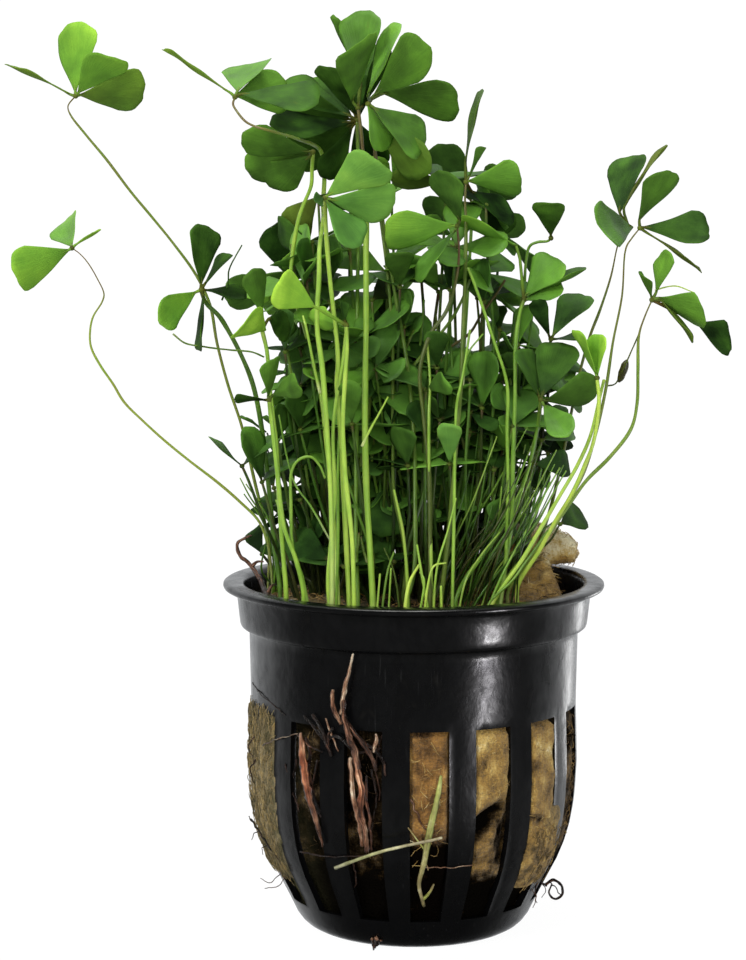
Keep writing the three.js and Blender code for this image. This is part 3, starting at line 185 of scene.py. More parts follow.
            {"B": [34.14, -9.0, 90.76], "t": [0.624, -0.078, -0.777], "w": [0.18, 0.983, 0.046], "L": 7.64, "hw": 1.47, "tone": 0.34, "brown": 0.5},
        ]},
    "19": {"hub": [25.15, -14.0, 80.12], "r": [0.52, 0.42],
        "stem": [[25.15, -14.0, 80.12], [25.44, -14.21, 77.1], [24.84, -13.74, 71.54], [23.67, -13.13, 68.01], [22.1, -12.29, 64.15], [19.84, -11.25, 60.09], [17.42, -10.06, 55.28], [14.7, -9.0, 50.44], [14.7, -9.0, 47.4]],
        "leaves": [
            {"B": [25.15, -14.0, 80.25], "t": [0.036, 0.011, 0.999], "w": [0.357, -0.934, -0.002], "L": 5.9, "hw": 3.84, "tone": 0.8, "brown": 0.0},
            {"B": [25.15, -14.0, 80.39], "t": [-0.431, 0.139, 0.892], "w": [0.06, -0.982, 0.182], "L": 7.04, "hw": 3.75, "tone": 0.76, "brown": 0.0},
        ]},
    "20": {"hub": [17.74, -9.0, 76.68], "r": [0.47, 0.36],
        "stem": [[17.74, -9.0, 76.68], [17.35, -6.15, 72.21], [16.16, -5.44, 66.47], [13.89, -6.44, 60.89], [10.75, -8.42, 56.03], [7.35, -10.66, 51.81], [5.94, -12.0, 48.9], [5.94, -12.0, 47.4]],
        "leaves": [
            {"B": [17.74, -9.0, 76.96], "t": [0.316, 0.674, 0.667], "w": [0.948, -0.247, -0.2], "L": 10.52, "hw": 3.47, "tone": 0.3, "brown": 0.0},
            {"B": [18.02, -9.0, 76.54], "t": [0.977, 0.107, 0.186], "w": [0.053, 0.722, -0.69], "L": 8.01, "hw": 3.95, "tone": 0.32, "brown": 0.0},
            {"B": [18.02, -9.0, 76.12], "t": [0.255, -0.925, -0.283], "w": [-0.867, -0.088, -0.49], "L": 10.53, "hw": 2.2, "tone": 0.54, "brown": 0.0},
            {"B": [17.46, -9.0, 77.1], "t": [-0.325, -0.037, 0.945], "w": [0.365, 0.917, 0.161], "L": 7.21, "hw": 3.81, "tone": 0.24, "brown": 0.0},
        ]},
    "21": {"hub": [-9.22, -18.0, 87.56], "r": [0.47, 0.34],
        "stem": [[-9.22, -18.0, 87.56], [-9.08, -18.16, 84.86], [-9.35, -18.49, 80.12], [-9.62, -18.95, 74.71], [-9.34, -19.57, 67.95], [-8.37, -20.41, 58.46], [-8.1, -21.0, 49.75], [-8.1, -21.0, 47.4]],
        "leaves": [
            {"B": [-13.07, -21.64, 90.05], "t": [-0.643, -0.654, 0.398], "w": [-0.372, -0.187, -0.909], "L": 8.75, "hw": 2.89, "tone": 0.92, "brown": 0.0},
            {"B": [-9.36, -18.0, 87.97], "t": [-0.283, 0.183, 0.942], "w": [0.362, 0.929, -0.072], "L": 3.12, "hw": 1.91, "tone": 0.16, "brown": 0.0},
            {"B": [-9.6, -14.0, 87.36], "t": [-0.459, 0.887, 0.057], "w": [0.149, 0.14, -0.979], "L": 10.59, "hw": 1.87, "tone": 0.66, "brown": 0.0},
        ]},
    "22": {"hub": [-20.93, -13.0, 86.62], "r": [0.5, 0.36],
        "stem": [[-20.93, -13.0, 86.62], [-20.26, -12.94, 83.58], [-20.01, -12.84, 79.71], [-19.62, -12.72, 75.54], [-19.09, -12.59, 71.22], [-18.84, -12.42, 65.9], [-18.34, -12.16, 57.32], [-17.81, -12.0, 49.97], [-17.81, -12.0, 47.4]],
        "leaves": [
            {"B": [-21.06, -13.0, 88.82], "t": [-0.071, 0.027, 0.997], "w": [0.455, 0.89, 0.009], "L": 6.3, "hw": 3.89, "tone": 0.32, "brown": 0.0},
            {"B": [-20.38, -13.0, 86.62], "t": [-0.236, -0.963, 0.132], "w": [-0.715, 0.08, -0.695], "L": 10.55, "hw": 3.14, "tone": 0.9, "brown": 0.0},
            {"B": [-20.1, -13.0, 88.27], "t": [0.209, 0.96, -0.189], "w": [-0.045, -0.184, -0.982], "L": 10.73, "hw": 2.33, "tone": 0.16, "brown": 0.0},
        ]},
    "23": {"hub": [-19.78, -17.0, 77.27], "r": [0.47, 0.4],
        "stem": [[-19.78, -17.0, 77.27], [-19.4, -16.8, 73.82], [-18.76, -16.32, 67.58], [-17.87, -15.63, 59.6], [-16.25, -15.25, 54.96], [-15.3, -15.0, 50.73], [-15.3, -15.0, 47.4]],
        "leaves": [
            {"B": [-19.92, -17.0, 77.54], "t": [0.122, -0.01, 0.992], "w": [0.285, 0.958, -0.025], "L": 5.83, "hw": 3.79, "tone": 0.44, "brown": 0.0},
            {"B": [-19.5, -17.0, 77.82], "t": [0.383, -0.895, 0.228], "w": [0.297, -0.114, -0.948], "L": 10.51, "hw": 1.85, "tone": 0.38, "brown": 0.0},
            {"B": [-20.05, -17.0, 77.27], "t": [-0.999, -0.014, 0.052], "w": [-0.024, 0.981, -0.193], "L": 4.45, "hw": 3.63, "tone": 0.16, "brown": 0.0},
        ]},
    "24": {"hub": [9.0, 33.0, 104.0], "r": [0.46, 0.32],
        "stem": [[9.0, 33.0, 103.2], [8.6, 30.5, 96.0], [7.5, 25.0, 80.0], [6.0, 20.0, 64.0], [5.0, 17.5, 47.4]],
        "leaves": [
            {"B": [9.0, 33.0, 104.0], "t": [-0.564, -0.18, 0.806], "w": [0.726, -0.572, 0.381], "L": 10.6, "hw": 3.8, "tone": 0.24, "brown": 0.0},
            {"B": [9.0, 33.0, 104.0], "t": [0.764, -0.378, 0.523], "w": [0.642, 0.368, -0.672], "L": 7.63, "hw": 3.8, "tone": 0.2, "brown": 0.0},
            {"B": [9.0, 33.0, 104.0], "t": [0.682, 0.535, -0.498], "w": [-0.726, 0.572, -0.381], "L": 10.6, "hw": 3.8, "tone": 0.24, "brown": 0.0},
            {"B": [9.0, 33.0, 104.0], "t": [-0.646, 0.733, -0.216], "w": [-0.642, -0.368, 0.672], "L": 10.6, "hw": 3.8, "tone": 0.22, "brown": 0.0},
        ]},
    "25": {"hub": [-19.0, 30.0, 92.0], "r": [0.46, 0.32],
        "stem": [[-19.0, 30.0, 91.2], [-18.0, 28.0, 84.0], [-14.5, 23.0, 70.0], [-11.0, 18.5, 57.0], [-9.0, 16.5, 47.4]],
        "leaves": [
            {"B": [-19.0, 30.0, 92.0], "t": [-0.946, -0.194, -0.261], "w": [-0.088, -0.62, 0.78], "L": 10.6, "hw": 3.8, "tone": 0.26, "brown": 0.0},
            {"B": [-19.0, 30.0, 92.0], "t": [-0.19, -0.46, 0.867], "w": [0.86, 0.348, 0.373], "L": 10.6, "hw": 3.8, "tone": 0.08, "brown": 0.0},
            {"B": [-19.0, 30.0, 92.0], "t": [0.737, 0.486, 0.469], "w": [0.088, 0.62, -0.78], "L": 10.6, "hw": 3.8, "tone": 0.22, "brown": 0.0},
            {"B": [-19.0, 30.0, 92.0], "t": [-0.019, 0.752, -0.658], "w": [-0.86, -0.348, -0.373], "L": 10.6, "hw": 3.8, "tone": 0.26, "brown": 0.0},
        ]},
}
# single leaflets of the inner growth: foot, direction, width direction, length, half width, tone, cool, brown, own stalk
# The tones carry painted shade too: most of these leaflets sit deep inside and are dark.
INNER = [
    [[-14.73, 5.0, 98.38], [-0.547, 0.824, 0.149], [0.071, 0.223, -0.972], 10.51, 2.61, 0.15, 0.05, 0.0, 1],
    [[-12.11, 4.0, 92.37], [0.031, -0.183, 0.983], [0.506, -0.845, -0.173], 6.97, 3.87, 0.25, 0.18, 0.0, 1],
    [[-15.53, 3.0, 93.55], [-0.016, 0.003, 1.0], [0.35, 0.937, 0.002], 5.51, 3.83, 0.31, 0.31, 0.0, 1],
    [[-1.99, -2.0, 92.15], [-0.011, -0.858, 0.514], [0.992, 0.054, 0.111], 10.54, 2.21, 0.29, 0.09, 0.0, 1],
    [[-1.42, 0.0, 86.39], [0.006, 0.021, 1.0], [0.425, -0.905, 0.016], 5.36, 3.86, 0.39, 0.22, 0.0, 1],
    [[9.92, -2.0, 90.04], [-0.022, 0.016, 1.0], [0.413, -0.911, 0.024], 6.25, 3.85, 0.29, 0.35, 0.0, 1],
    [[9.65, -4.0, 75.13], [0.049, -0.083, 0.995], [0.627, -0.774, -0.095], 8.12, 4.0, 0.35, 0.13, 0.0, 1],
    [[1.7, -8.0, 77.98], [0.322, -0.926, 0.195], [0.448, -0.033, -0.894], 10.64, 1.85, 0.42, 0.26, 0.0, 1],
    [[5.06, -10.0, 67.78], [-0.025, -0.724, 0.689], [0.996, -0.078, -0.045], 10.0, 1.85, 0.68, 0.9, 0.0, 1],
    [[13.9, -8.0, 72.94], [-0.275, 0.914, -0.298], [0.46, -0.147, -0.876], 10.55, 2.39, 0.5, 0.17, 0.0, 1],
    [[16.92, -4.0, 67.17], [0.586, 0.808, -0.068], [0.087, -0.146, -0.985], 10.77, 2.16, 0.17, 0.3, 0.0, 1],
    [[20.88, -3.0, 58.47], [0.396, 0.917, 0.056], [0.538, -0.182, -0.823], 10.81, 2.63, 0.19, 0.05, 0.0, 0],
    [[-8.67, -8.0, 73.19], [-0.017, -0.699, 0.715], [0.996, -0.074, -0.048], 9.91, 1.85, 0.43, 0.2, 0.0, 1],
    [[1.57, -5.0, 77.47], [-0.532, 0.843, 0.074], [0.098, 0.148, -0.984], 10.56, 2.28, 0.27, 0.33, 0.0, 1],
    [[-21.34, -8.0, 64.98], [-0.228, 0.092, 0.969], [0.463, 0.886, 0.024], 8.06, 3.9, 0.29, 0.11, 0.0, 1],
    [[-24.07, -9.0, 67.35], [-0.762, -0.002, 0.647], [-0.023, 0.999, -0.024], 6.22, 3.72, 0.35, 0.24, 0.0, 1],
    [[-18.29, -3.0, 82.98], [-0.054, 0.015, 0.998], [0.498, -0.866, 0.04], 6.15, 3.88, 0.21, 0.37, 0.0, 1],
    [[-16.3, -1.0, 66.22], [0.001, 0.084, 0.996], [0.54, 0.839, -0.071], 9.49, 3.94, 0.17, 0.15, 0.0, 1],
    [[-15.31, 2.0, 55.4], [-0.038, 0.098, 0.994], [0.445, 0.893, -0.071], 5.94, 3.87, 0.21, 0.28, 0.0, 1],
    [[-4.07, -4.0, 52.5], [-0.992, -0.079, 0.104], [0.043, -0.951, -0.306], 6.03, 3.59, 0.35, 0.06, 0.0, 1],
    [[14.9, 1.0, 83.77], [0.153, 0.063, 0.986], [0.348, -0.938, 0.006], 5.88, 3.84, 0.57, 0.19, 0.0, 1],
    [[3.28, -2.0, 80.67], [-0.021, -0.819, 0.573], [1.0, -0.012, 0.02], 10.23, 1.85, 0.21, 0.32, 0.0, 1],
    [[-12.02, 1.0, 89.76], [-0.055, 0.973, 0.222], [0.997, 0.064, -0.033], 10.99, 1.85, 0.35, 0.1, 0.0, 1],
    [[5.15, 2.0, 91.59], [-0.016, 0.009, 1.0], [0.384, 0.923, -0.002], 4.45, 3.82, 0.19, 0.23, 0.0, 1],
    [[18.38, 0.0, 70.21], [0.485, 0.869, 0.092], [0.434, -0.148, -0.889], 10.87, 1.85, 0.39, 0.36, 0.0, 1],
    [[15.28, -1.0, 55.88], [-0.427, -0.67, 0.607], [0.658, 0.23, 0.717], 10.23, 1.85, 0.29, 0.27, 0.0, 1],
    [[-4.86, 1.0, 65.74], [0.306, 0.202, 0.931], [0.438, -0.898, 0.051], 6.24, 3.84, 0.19, 0.4, 0.0, 1],
    [[-16.4, 2.0, 77.78], [0.49, -0.016, 0.872], [0.368, -0.903, -0.223], 6.54, 3.84, 0.25, 0.18, 0.0, 1],
    [[-5.47, 3.0, 81.48], [0.119, 0.127, 0.985], [0.422, -0.904, 0.066], 6.23, 3.85, 0.23, 0.31, 0.0, 1],
    [[12.34, 2.0, 85.87], [-0.057, 0.932, 0.357], [0.998, 0.039, 0.058], 10.59, 1.85, 0.19, 0.08, 0.0, 1],
    [[15.11, -2.0, 76.12], [-0.252, 0.01, 0.968], [0.333, -0.938, 0.096], 7.14, 3.82, 0.25, 0.21, 0.0, 1],
    [[3.71, -4.0, 73.42], [-0.569, -0.032, 0.821], [0.309, -0.934, 0.178], 4.45, 3.67, 0.31, 0.34, 0.0, 1],
    [[-13.85, 5.0, 104.98], [-0.438, 0.733, -0.521], [0.628, -0.165, -0.761], 10.72, 3.09, 0.3, 0, 0.5, 1],
    [[4.55, 4.0, 106.97], [-0.987, 0.141, 0.079], [0.081, 0.854, -0.514], 7.9, 3.58, 0.32, 0, 0.5, 1],
    [[10.22, 1.0, 103.7], [0.292, 0.886, -0.359], [-0.755, -0.017, -0.656], 10.54, 2.51, 0.06, 0, 0, 1],
    [[2.29, -6.0, 70.48], [-0.297, 0.191, 0.935], [0.542, 0.84, 0.0], 6.19, 3.9, 0.18, 0.3, 0, 1],
    [[7.99, -3.0, 71.63], [-0.101, 0.886, 0.453], [0.982, 0.16, -0.095], 10.47, 2.27, 0.14, 0.2, 0, 1],
    [[-0.8, -8.0, 67.28], [-0.224, -0.046, 0.974], [0.512, -0.856, 0.078], 5.85, 3.84, 0.2, 0.2, 0, 1],
    [[-4.25, -2.0, 70.37], [0.109, 0.15, 0.983], [0.518, -0.852, 0.073], 5.79, 3.9, 0.1, 0.2, 0, 1],
    [[0.87, -1.0, 80.02], [-0.116, 0.934, 0.339], [0.993, 0.105, 0.05], 10.61, 1.97, 0.14, 0.2, 0, 1],
    [[-6.03, 2.0, 90.15], [0.269, 0.939, 0.213], [0.649, -0.013, -0.761], 10.71, 2.14, 0.16, 0.2, 0.2, 1],
    [[-2.73, 3.0, 85.8], [-0.11, 0.927, 0.357], [0.994, 0.098, 0.052], 10.62, 1.99, 0.1, 0.1, 0.2, 1],
    [[-7.76, 2.0, 65.63], [-0.137, 0.918, 0.371], [0.99, 0.131, 0.044], 10.69, 2.0, 0.08, 0.1, 0, 1],
    [[7.94, -4.0, 79.1], [-0.262, 0.95, 0.169], [0.64, 0.04, 0.767], 10.75, 1.92, 0.2, 0.3, 0, 1],
    [[11.37, -5.0, 66.41], [-0.09, 0.926, 0.367], [0.996, 0.078, 0.048], 10.55, 1.96, 0.16, 0.2, 0, 1],
    [[16.04, -2.0, 63.8], [0.34, 0.938, 0.067], [0.497, -0.118, -0.86], 10.92, 1.9, 0.1, 0.2, 0, 1],
    [[5.48, -3.0, 59.01], [0.261, 0.922, 0.285], [0.855, -0.084, -0.511], 10.9, 1.97, 0.12, 0.2, 0, 1],
    [[-19.28, -4.0, 70.54], [0.128, 0.067, 0.99], [0.391, 0.913, -0.112], 5.21, 3.85, 0.24, 0.1, 0, 1],
    [[-16.24, -2.0, 71.78], [-0.099, 0.085, 0.991], [0.434, 0.9, -0.034], 5.54, 3.87, 0.18, 0.1, 0, 1],
    [[-9.73, -11.0, 53.37], [0.32, 0.945, -0.062], [0.105, -0.1, -0.989], 10.96, 1.85, 0.2, 0.3, 0, 1],
    [[-2.73, -12.0, 54.24], [-0.322, 0.92, -0.224], [0.192, -0.168, -0.967], 10.66, 1.85, 0.16, 0.2, 0, 1],
    [[-11.75, -9.0, 54.07], [0.229, 0.967, -0.108], [0.114, -0.137, -0.984], 11.11, 1.85, 0.12, 0.2, 0, 1],
    [[-16.87, -2.0, 53.05], [0.397, 0.203, 0.895], [0.511, -0.859, -0.032], 6.76, 3.9, 0.12, 0.3, 0, 1],
    [[-13.78, 0.0, 54.52], [-0.33, 0.178, 0.927], [0.478, 0.878, 0.002], 8.08, 3.9, 0.14, 0.3, 0, 1],
    [[-16.22, -3.0, 61.84], [0.266, 0.956, 0.121], [0.648, -0.084, -0.757], 10.92, 2.13, 0.16, 0.3, 0, 1],
    [[-20.1, 0.0, 63.22], [-0.197, 0.885, 0.421], [0.868, -0.042, 0.495], 10.39, 2.24, 0.14, 0.1, 0, 1],
    [[-17.77, 2.0, 58.03], [-0.247, 0.925, 0.29], [0.847, 0.06, 0.529], 10.99, 2.1, 0.12, 0.1, 0, 1],
    [[-19.27, 1.0, 67.45], [0.216, 0.948, 0.232], [0.759, -0.013, -0.651], 10.77, 1.94, 0.16, 0.1, 0, 1],
    [[-22.12, 4.0, 53.06], [-0.216, 0.935, 0.281], [0.746, -0.027, 0.665], 10.19, 1.85, 0.08, 0.2, 0, 1],
    [[-18.51, 5.0, 53.51], [-0.261, 0.945, 0.195], [0.773, 0.084, 0.629], 11.05, 2.03, 0.1, 0.2, 0, 1],
    [[-17.36, 3.0, 63.17], [-0.205, 0.948, 0.243], [0.869, 0.062, 0.492], 11.01, 1.85, 0.12, 0.1, 0, 1],
    [[-20.81, 2.0, 58.32], [-0.219, 0.962, 0.164], [0.722, 0.047, 0.69], 11.12, 1.85, 0.12, 0.1, 0, 1],
    [[19.42, 3.0, 67.89], [0.31, 0.938, 0.155], [0.755, -0.144, -0.64], 10.89, 1.95, 0.1, 0.1, 0, 1],
    [[-16.47, 4.0, 83.14], [-0.233, 0.951, 0.203], [0.763, 0.049, 0.645], 10.86, 1.85, 0.16, 0.1, 0, 1],
]
# more stalks that can be told apart: points from the foot up, radii, tone, red, brown
STALKS = [
    ([[-14.75, -15.0, 49.61], [-15.44, -15.0, 52.69], [-16.67, -15.0, 56.32], [-16.92, -15.0, 62.58], [-16.77, -15.0, 67.44], [-15.66, -15.0, 68.97], [-14.14, -15.0, 69.25], [-12.91, -15.0, 68.0], [-12.22, -15.0, 66.34]], 0.34, 0.2, 0.68, 0, 0.1),
    ([[-0.75, -17.0, 48.85], [-0.9, -16.5, 53.09], [-1.46, -16.0, 58.99], [-2.15, -15.5, 62.26], [-2.71, -15.0, 64.69]], 0.36, 0.2, 0.82, 0, 0.45),
    ([[-1.3, -19.0, 48.76], [-0.62, -17.5, 51.99], [0.75, -16.0, 54.41]], 0.46, 0.22, 1.0, 0, 0),
    ([[-4.47, -17.0, 49.12], [-3.53, -15.5, 53.63], [-2.71, -14.0, 55.93]], 0.24, 0.16, 0.6, 0, 0.3),
    ([[-11.62, -13.0, 57.45], [-14.44, -11.75, 62.19], [-16.44, -10.5, 64.71], [-17.6, -9.25, 67.95], [-18.91, -8.0, 74.44]], 0.2, 0.14, 0.6, 0, 0.1),
    ([[-11.88, -18.0, 48.7], [-11.76, -17.25, 51.92], [-11.36, -16.5, 57.79], [-10.82, -15.75, 63.8], [-10.98, -15.0, 68.14], [-11.13, -14.25, 72.64], [-10.73, -13.5, 76.72], [-9.92, -12.75, 81.51], [-9.38, -12.0, 86.3]], 0.38, 0.28, 0.84, 0.1, 0),
    ([[-12.96, -13.0, 77.93], [-13.67, -12.33, 80.92], [-14.92, -11.67, 86.97], [-15.36, -11.0, 88.45]], 0.28, 0.2, 0.86, 0, 0),
    ([[-10.73, -15.0, 48.5], [-10.47, -14.0, 57.59], [-10.49, -13.0, 67.24], [-10.08, -12.0, 79.38], [-10.52, -11.0, 83.47], [-11.1, -10.0, 86.47]], 0.32, 0.2, 0.66, 0.2, 0),
    ([[-7.1, -16.0, 70.88], [-5.88, -15.0, 73.27], [-4.66, -14.0, 75.39], [-3.57, -13.0, 77.38]], 0.24, 0.14, 0.86, 0, 0),
    ([[-5.22, -13.0, 49.03], [-6.07, -12.0, 55.64], [-7.9, -11.0, 61.41], [-9.74, -10.0, 66.77]], 0.28, 0.2, 0.5, 0, 0.1),
    ([[12.18, -9.0, 48.72], [13.0, -8.78, 54.38], [13.11, -8.56, 59.88], [13.23, -8.33, 65.93], [13.06, -8.11, 72.11], [13.03, -7.89, 78.83], [11.18, -7.67, 84.83], [9.63, -7.44, 89.42], [8.22, -7.22, 93.32], [7.52, -7.0, 94.98]], 0.36, 0.24, 0.7, 0.2, 0),
    ([[6.16, -15.0, 49.38], [7.29, -13.67, 51.98], [9.52, -12.33, 55.44], [12.06, -11.0, 58.36]], 0.22, 0.15, 0.74, 0, 0.4),
    ([[10.1, -13.0, 48.79], [11.5, -12.25, 50.51], [13.59, -11.5, 54.77], [16.66, -10.75, 60.16], [19.03, -10.0, 65.28]], 0.28, 0.18, 0.62, 0, 0.05),
    ([[10.1, -13.0, 48.23], [12.03, -13.0, 50.34], [15.06, -13.0, 54.71], [17.81, -13.0, 59.47], [20.13, -13.0, 63.53], [22.58, -13.0, 67.85], [24.34, -13.0, 71.88], [25.53, -13.0, 77.01], [26.19, -13.0, 79.77]], 0.4, 0.28, 0.88, 0.1, 0),
    ([[2.41, -17.0, 48.58], [2.4, -15.5, 56.15], [2.27, -14.0, 59.01], [2.12, -12.5, 67.21], [2.11, -11.0, 75.43], [2.25, -9.5, 79.07], [1.82, -8.0, 84.98]], 0.34, 0.22, 0.78, 0.1, 0.35),
    ([[5.35, -14.0, 48.94], [5.6, -13.0, 60.29], [5.72, -12.0, 69.95], [5.99, -11.0, 76.54], [6.55, -10.0, 78.98], [7.25, -9.0, 82.81], [7.82, -8.0, 86.38]], 0.32, 0.2, 0.74, 0.2, 0),
    ([[6.87, -8.0, 78.69], [7.43, -7.5, 82.86], [9.66, -7.0, 85.77]], 0.2, 0.14, 0.7, 0, 0),
    ([[9.76, -15.0, 48.55], [10.61, -14.25, 48.99], [13.67, -13.5, 51.83], [15.91, -12.75, 54.95], [18.69, -12.0, 58.78]], 0.28, 0.18, 0.58, 0, 0.2),
    ([[-21.79, 8.0, 48.17], [-22.17, 4.67, 50.3], [-21.22, 1.33, 56.07], [-21.72, -2.0, 60.99]], 0.24, 0.14, 0.44, 0, 0),
    ([[-15.02, -12.0, 49.41], [-16.16, -11.25, 53.39], [-17.3, -10.5, 56.53], [-18.17, -9.75, 58.83], [-19.32, -9.0, 62.56]], 0.3, 0.16, 0.72, 0, 0),
    ([[2.26, -19.0, 48.76], [1.02, -18.0, 54.01], [0.47, -17.0, 57.33]], 0.32, 0.18, 0.76, 0, 0.1),
    ([[-5.12, -20.0, 48.77], [-4.58, -19.0, 53.59]], 0.24, 0.16, 0.78, 0, 0.2),
    ([[-3.48, -20.0, 48.91], [-3.08, -19.0, 54.42]], 0.24, 0.14, 0.74, 0, 0.3),
    ([[3.89, -20.0, 48.79], [3.75, -19.5, 52.03]], 0.3, 0.2, 0.85, 0, 0.2),
    ([[4.88, -8.0, 47.4], [7.99, -6.67, 53.78], [12.24, -5.33, 60.47], [15.09, -4.0, 66.31]], 0.2, 0.14, 0.3, 0, 0),
    ([[6.89, -6.0, 47.08], [10.58, -5.0, 53.26], [14.0, -4.0, 58.01], [17.14, -3.0, 63.63]], 0.22, 0.14, 0.34, 0, 0.1),
    ([[7.94, -10.0, 47.73], [12.17, -8.67, 52.65], [16.42, -7.33, 56.74], [20.14, -6.0, 59.42]], 0.26, 0.14, 0.42, 0, 0),
    ([[2.68, -18.0, 48.74], [3.22, -17.0, 54.14], [4.73, -16.0, 59.28], [5.83, -15.0, 63.6]], 0.26, 0.14, 0.8, 0, 0),
    ([[3.73, -10.0, 47.44], [4.55, -9.33, 55.57], [6.51, -8.67, 61.43], [7.9, -8.0, 66.73]], 0.2, 0.14, 0.3, 0, 0),
    ([[-1.87, -14.0, 48.36], [-2.72, -13.0, 52.98], [-4.12, -12.0, 56.21]], 0.2, 0.12, 0.4, 0, 0.5),
    ([[-20.09, 4.0, 48.64], [-18.8, 2.0, 54.23], [-20.41, 0.0, 57.7], [-23.15, -2.0, 61.71], [-24.71, -4.0, 65.1]], 0.22, 0.12, 0.6, 0, 0),
    ([[-21.14, 2.0, 49.23], [-19.81, -0.67, 54.59], [-21.07, -3.33, 59.86], [-23.73, -6.0, 64.47]], 0.2, 0.12, 0.56, 0, 0),
    ([[-22.14, 4.0, 48.63], [-20.54, 2.0, 53.64], [-21.85, 0.0, 58.57], [-24.29, -2.0, 62.57]], 0.2, 0.12, 0.5, 0, 0),
    ([[-4.27, 0.0, 74.21], [-2.27, -0.6, 77.99], [1.43, -1.2, 82.75], [5.25, -1.8, 87.48], [6.79, -2.4, 90.34], [7.9, -3.0, 93.18]], 0.32, 0.24, 0.52, 0, 0.5),
    ([[5.41, -2.0, 83.8], [7.96, -1.5, 85.62], [9.53, -1.0, 88.15], [11.8, -0.5, 91.26], [12.95, 0.0, 93.09]], 0.26, 0.2, 0.12, 0.2, 0.8),
    ([[-7.49, 3.0, 76.27], [-4.3, 2.33, 78.64], [-1.43, 1.67, 82.72], [0.0, 1.0, 85.91]], 0.26, 0.18, 0.45, 0, 0.6),
    ([[-2.68, 1.0, 46.8], [-3.99, 1.25, 58.45], [-3.57, 1.5, 68.59], [-4.3, 1.75, 76.95], [-5.16, 2.0, 84.42]], 0.3, 0.2, 0.4, 0, 0.5),
    ([[8.13, 2.0, 65.66], [5.5, 2.33, 75.76], [3.75, 2.67, 82.66], [3.17, 3.0, 87.82]], 0.28, 0.18, 0.42, 0, 0.6),
    ([[-0.55, 4.0, 69.8], [0.02, 4.0, 76.78], [0.88, 4.0, 83.59], [1.44, 4.0, 90.08]], 0.3, 0.2, 0.55, 0, 0.2),
    ([[-8.28, -13.0, 54.65], [-7.73, -12.5, 56.69], [-7.61, -12.0, 58.31]], 0.3, 0.18, 0.55, 0.9, 0.6),
    ([[-6.47, -13.0, 54.37], [-7.04, -12.5, 56.27], [-7.33, -12.0, 57.75]], 0.26, 0.16, 0.5, 0.9, 0.7),
    ([[-8.59, -12.0, 53.66], [-8.86, -12.0, 56.2], [-8.44, -12.0, 57.32]], 0.22, 0.14, 0.4, 0.9, 0.8),
    ([[-12.05, -17.0, 49.24], [-11.51, -16.5, 51.67], [-11.66, -16.0, 53.96]], 0.26, 0.18, 0.45, 0, 0.5),
    ([[-6.07, -12.0, 48.87], [-5.52, -11.5, 54.44], [-5.81, -11.0, 56.49]], 0.2, 0.14, 0.4, 0, 0.6),
    ([[1.44, -19.0, 49.18], [1.98, -18.67, 52.03], [2.8, -18.33, 54.61], [4.45, -18.0, 54.99]], 0.28, 0.14, 0.88, 0, 0),
    ([[0.62, -19.0, 49.18], [1.44, -18.5, 52.7], [0.89, -18.0, 53.73]], 0.26, 0.16, 0.75, 0, 0),
    ([[7.68, -9.0, 48.42], [8.51, -8.5, 52.62], [10.48, -8.0, 55.68]], 0.2, 0.12, 0.45, 0, 0.3),
    ([[9.34, -10.0, 48.02], [11.33, -8.67, 51.94], [13.89, -7.33, 55.03], [16.2, -6.0, 56.28]], 0.2, 0.12, 0.72, 0, 0.5),
    ([[11.23, -8.0, 47.7], [13.08, -7.0, 51.27], [15.65, -6.0, 54.27]], 0.22, 0.12, 0.78, 0, 0.45),
    ([[14.49, -4.0, 47.64], [14.95, -3.0, 50.38], [16.69, -2.0, 53.13]], 0.18, 0.1, 0.74, 0, 0.55),
]
# fine twigs
TWIGS = [
    ([[-26.5, -12.0, 90.7], [-25.7, -11.33, 92.88], [-25.6, -10.67, 94.79], [-23.83, -10.0, 98.22]], 0.16, 0.1, 0.3, 0.0),
    ([[-33.21, -13.0, 86.05], [-31.62, -12.4, 84.78], [-28.77, -11.8, 84.2], [-25.49, -11.2, 83.75], [-22.48, -10.6, 83.44], [-20.85, -10.0, 82.71]], 0.13, 0.12, 0.52, 0.4),
    ([[27.61, 2.0, 77.83], [28.74, 0.0, 78.27], [29.42, -2.0, 79.84], [30.63, -4.0, 83.09], [31.55, -6.0, 85.74]], 0.13, 0.1, 0.35, 0.8),
    ([[33.43, -9.0, 92.0], [36.19, -9.0, 92.56], [38.97, -9.0, 91.59]], 0.11, 0.08, 0.92, 0.0),
]
BUD = ([29.23, -1.0, 78.63], [30.21, -2.5, 81.86])
RHIZOME = [[-24.3, 3, 55.6], [-25.6, 3, 54.8], [-25.4, 2.8, 53.2], [-23.8, 2.2, 51.8], [-22.2, 0.8, 49.8], [-21.3, -3, 48.6],
           [-20.6, -7, 48.5], [-19.3, -10.5, 48.5]]
ROOTS = {
    "root_left": [[-15.32, -19.13, 30.19], [-15.33, -19.15, 27.39], [-14.63, -19.73, 24.3], [-14.21, -20.06, 21.85], [-13.1, -20.45, 18.43], [-12.28, -20.2, 15.26]],
    "root_centre": [[-8.32, -23.3, 42.44], [-9.15, -22.91, 38.51], [-10.12, -22.44, 35.1], [-8.33, -23.1, 31.36], [-7.65, -23.36, 27.95], [-7.24, -23.53, 23.13], [-6.43, -22.96, 16.01]],
    "root_cross": [[-10.69, -22.67, 13.4], [-4.49, -25.26, 16.35], [3.92, -25.79, 18.47]],
    "runner_shoot": [[3.78, -24.25, 26.68], [3.25, -24.35, 23.37], [2.3, -24.33, 19.2], [1.5, -23.41, 14.35], [0.83, -22.37, 11.12], [1.53, -20.59, 7.52]],
    "root_loop": [[19.37, -1.5, 5.42], [20.38, -1.5, 6.02], [21.55, -1.5, 5.28], [21.71, -1.5, 3.79], [20.69, -1.5, 3.19], [19.81, -1.5, 4.08]],
}
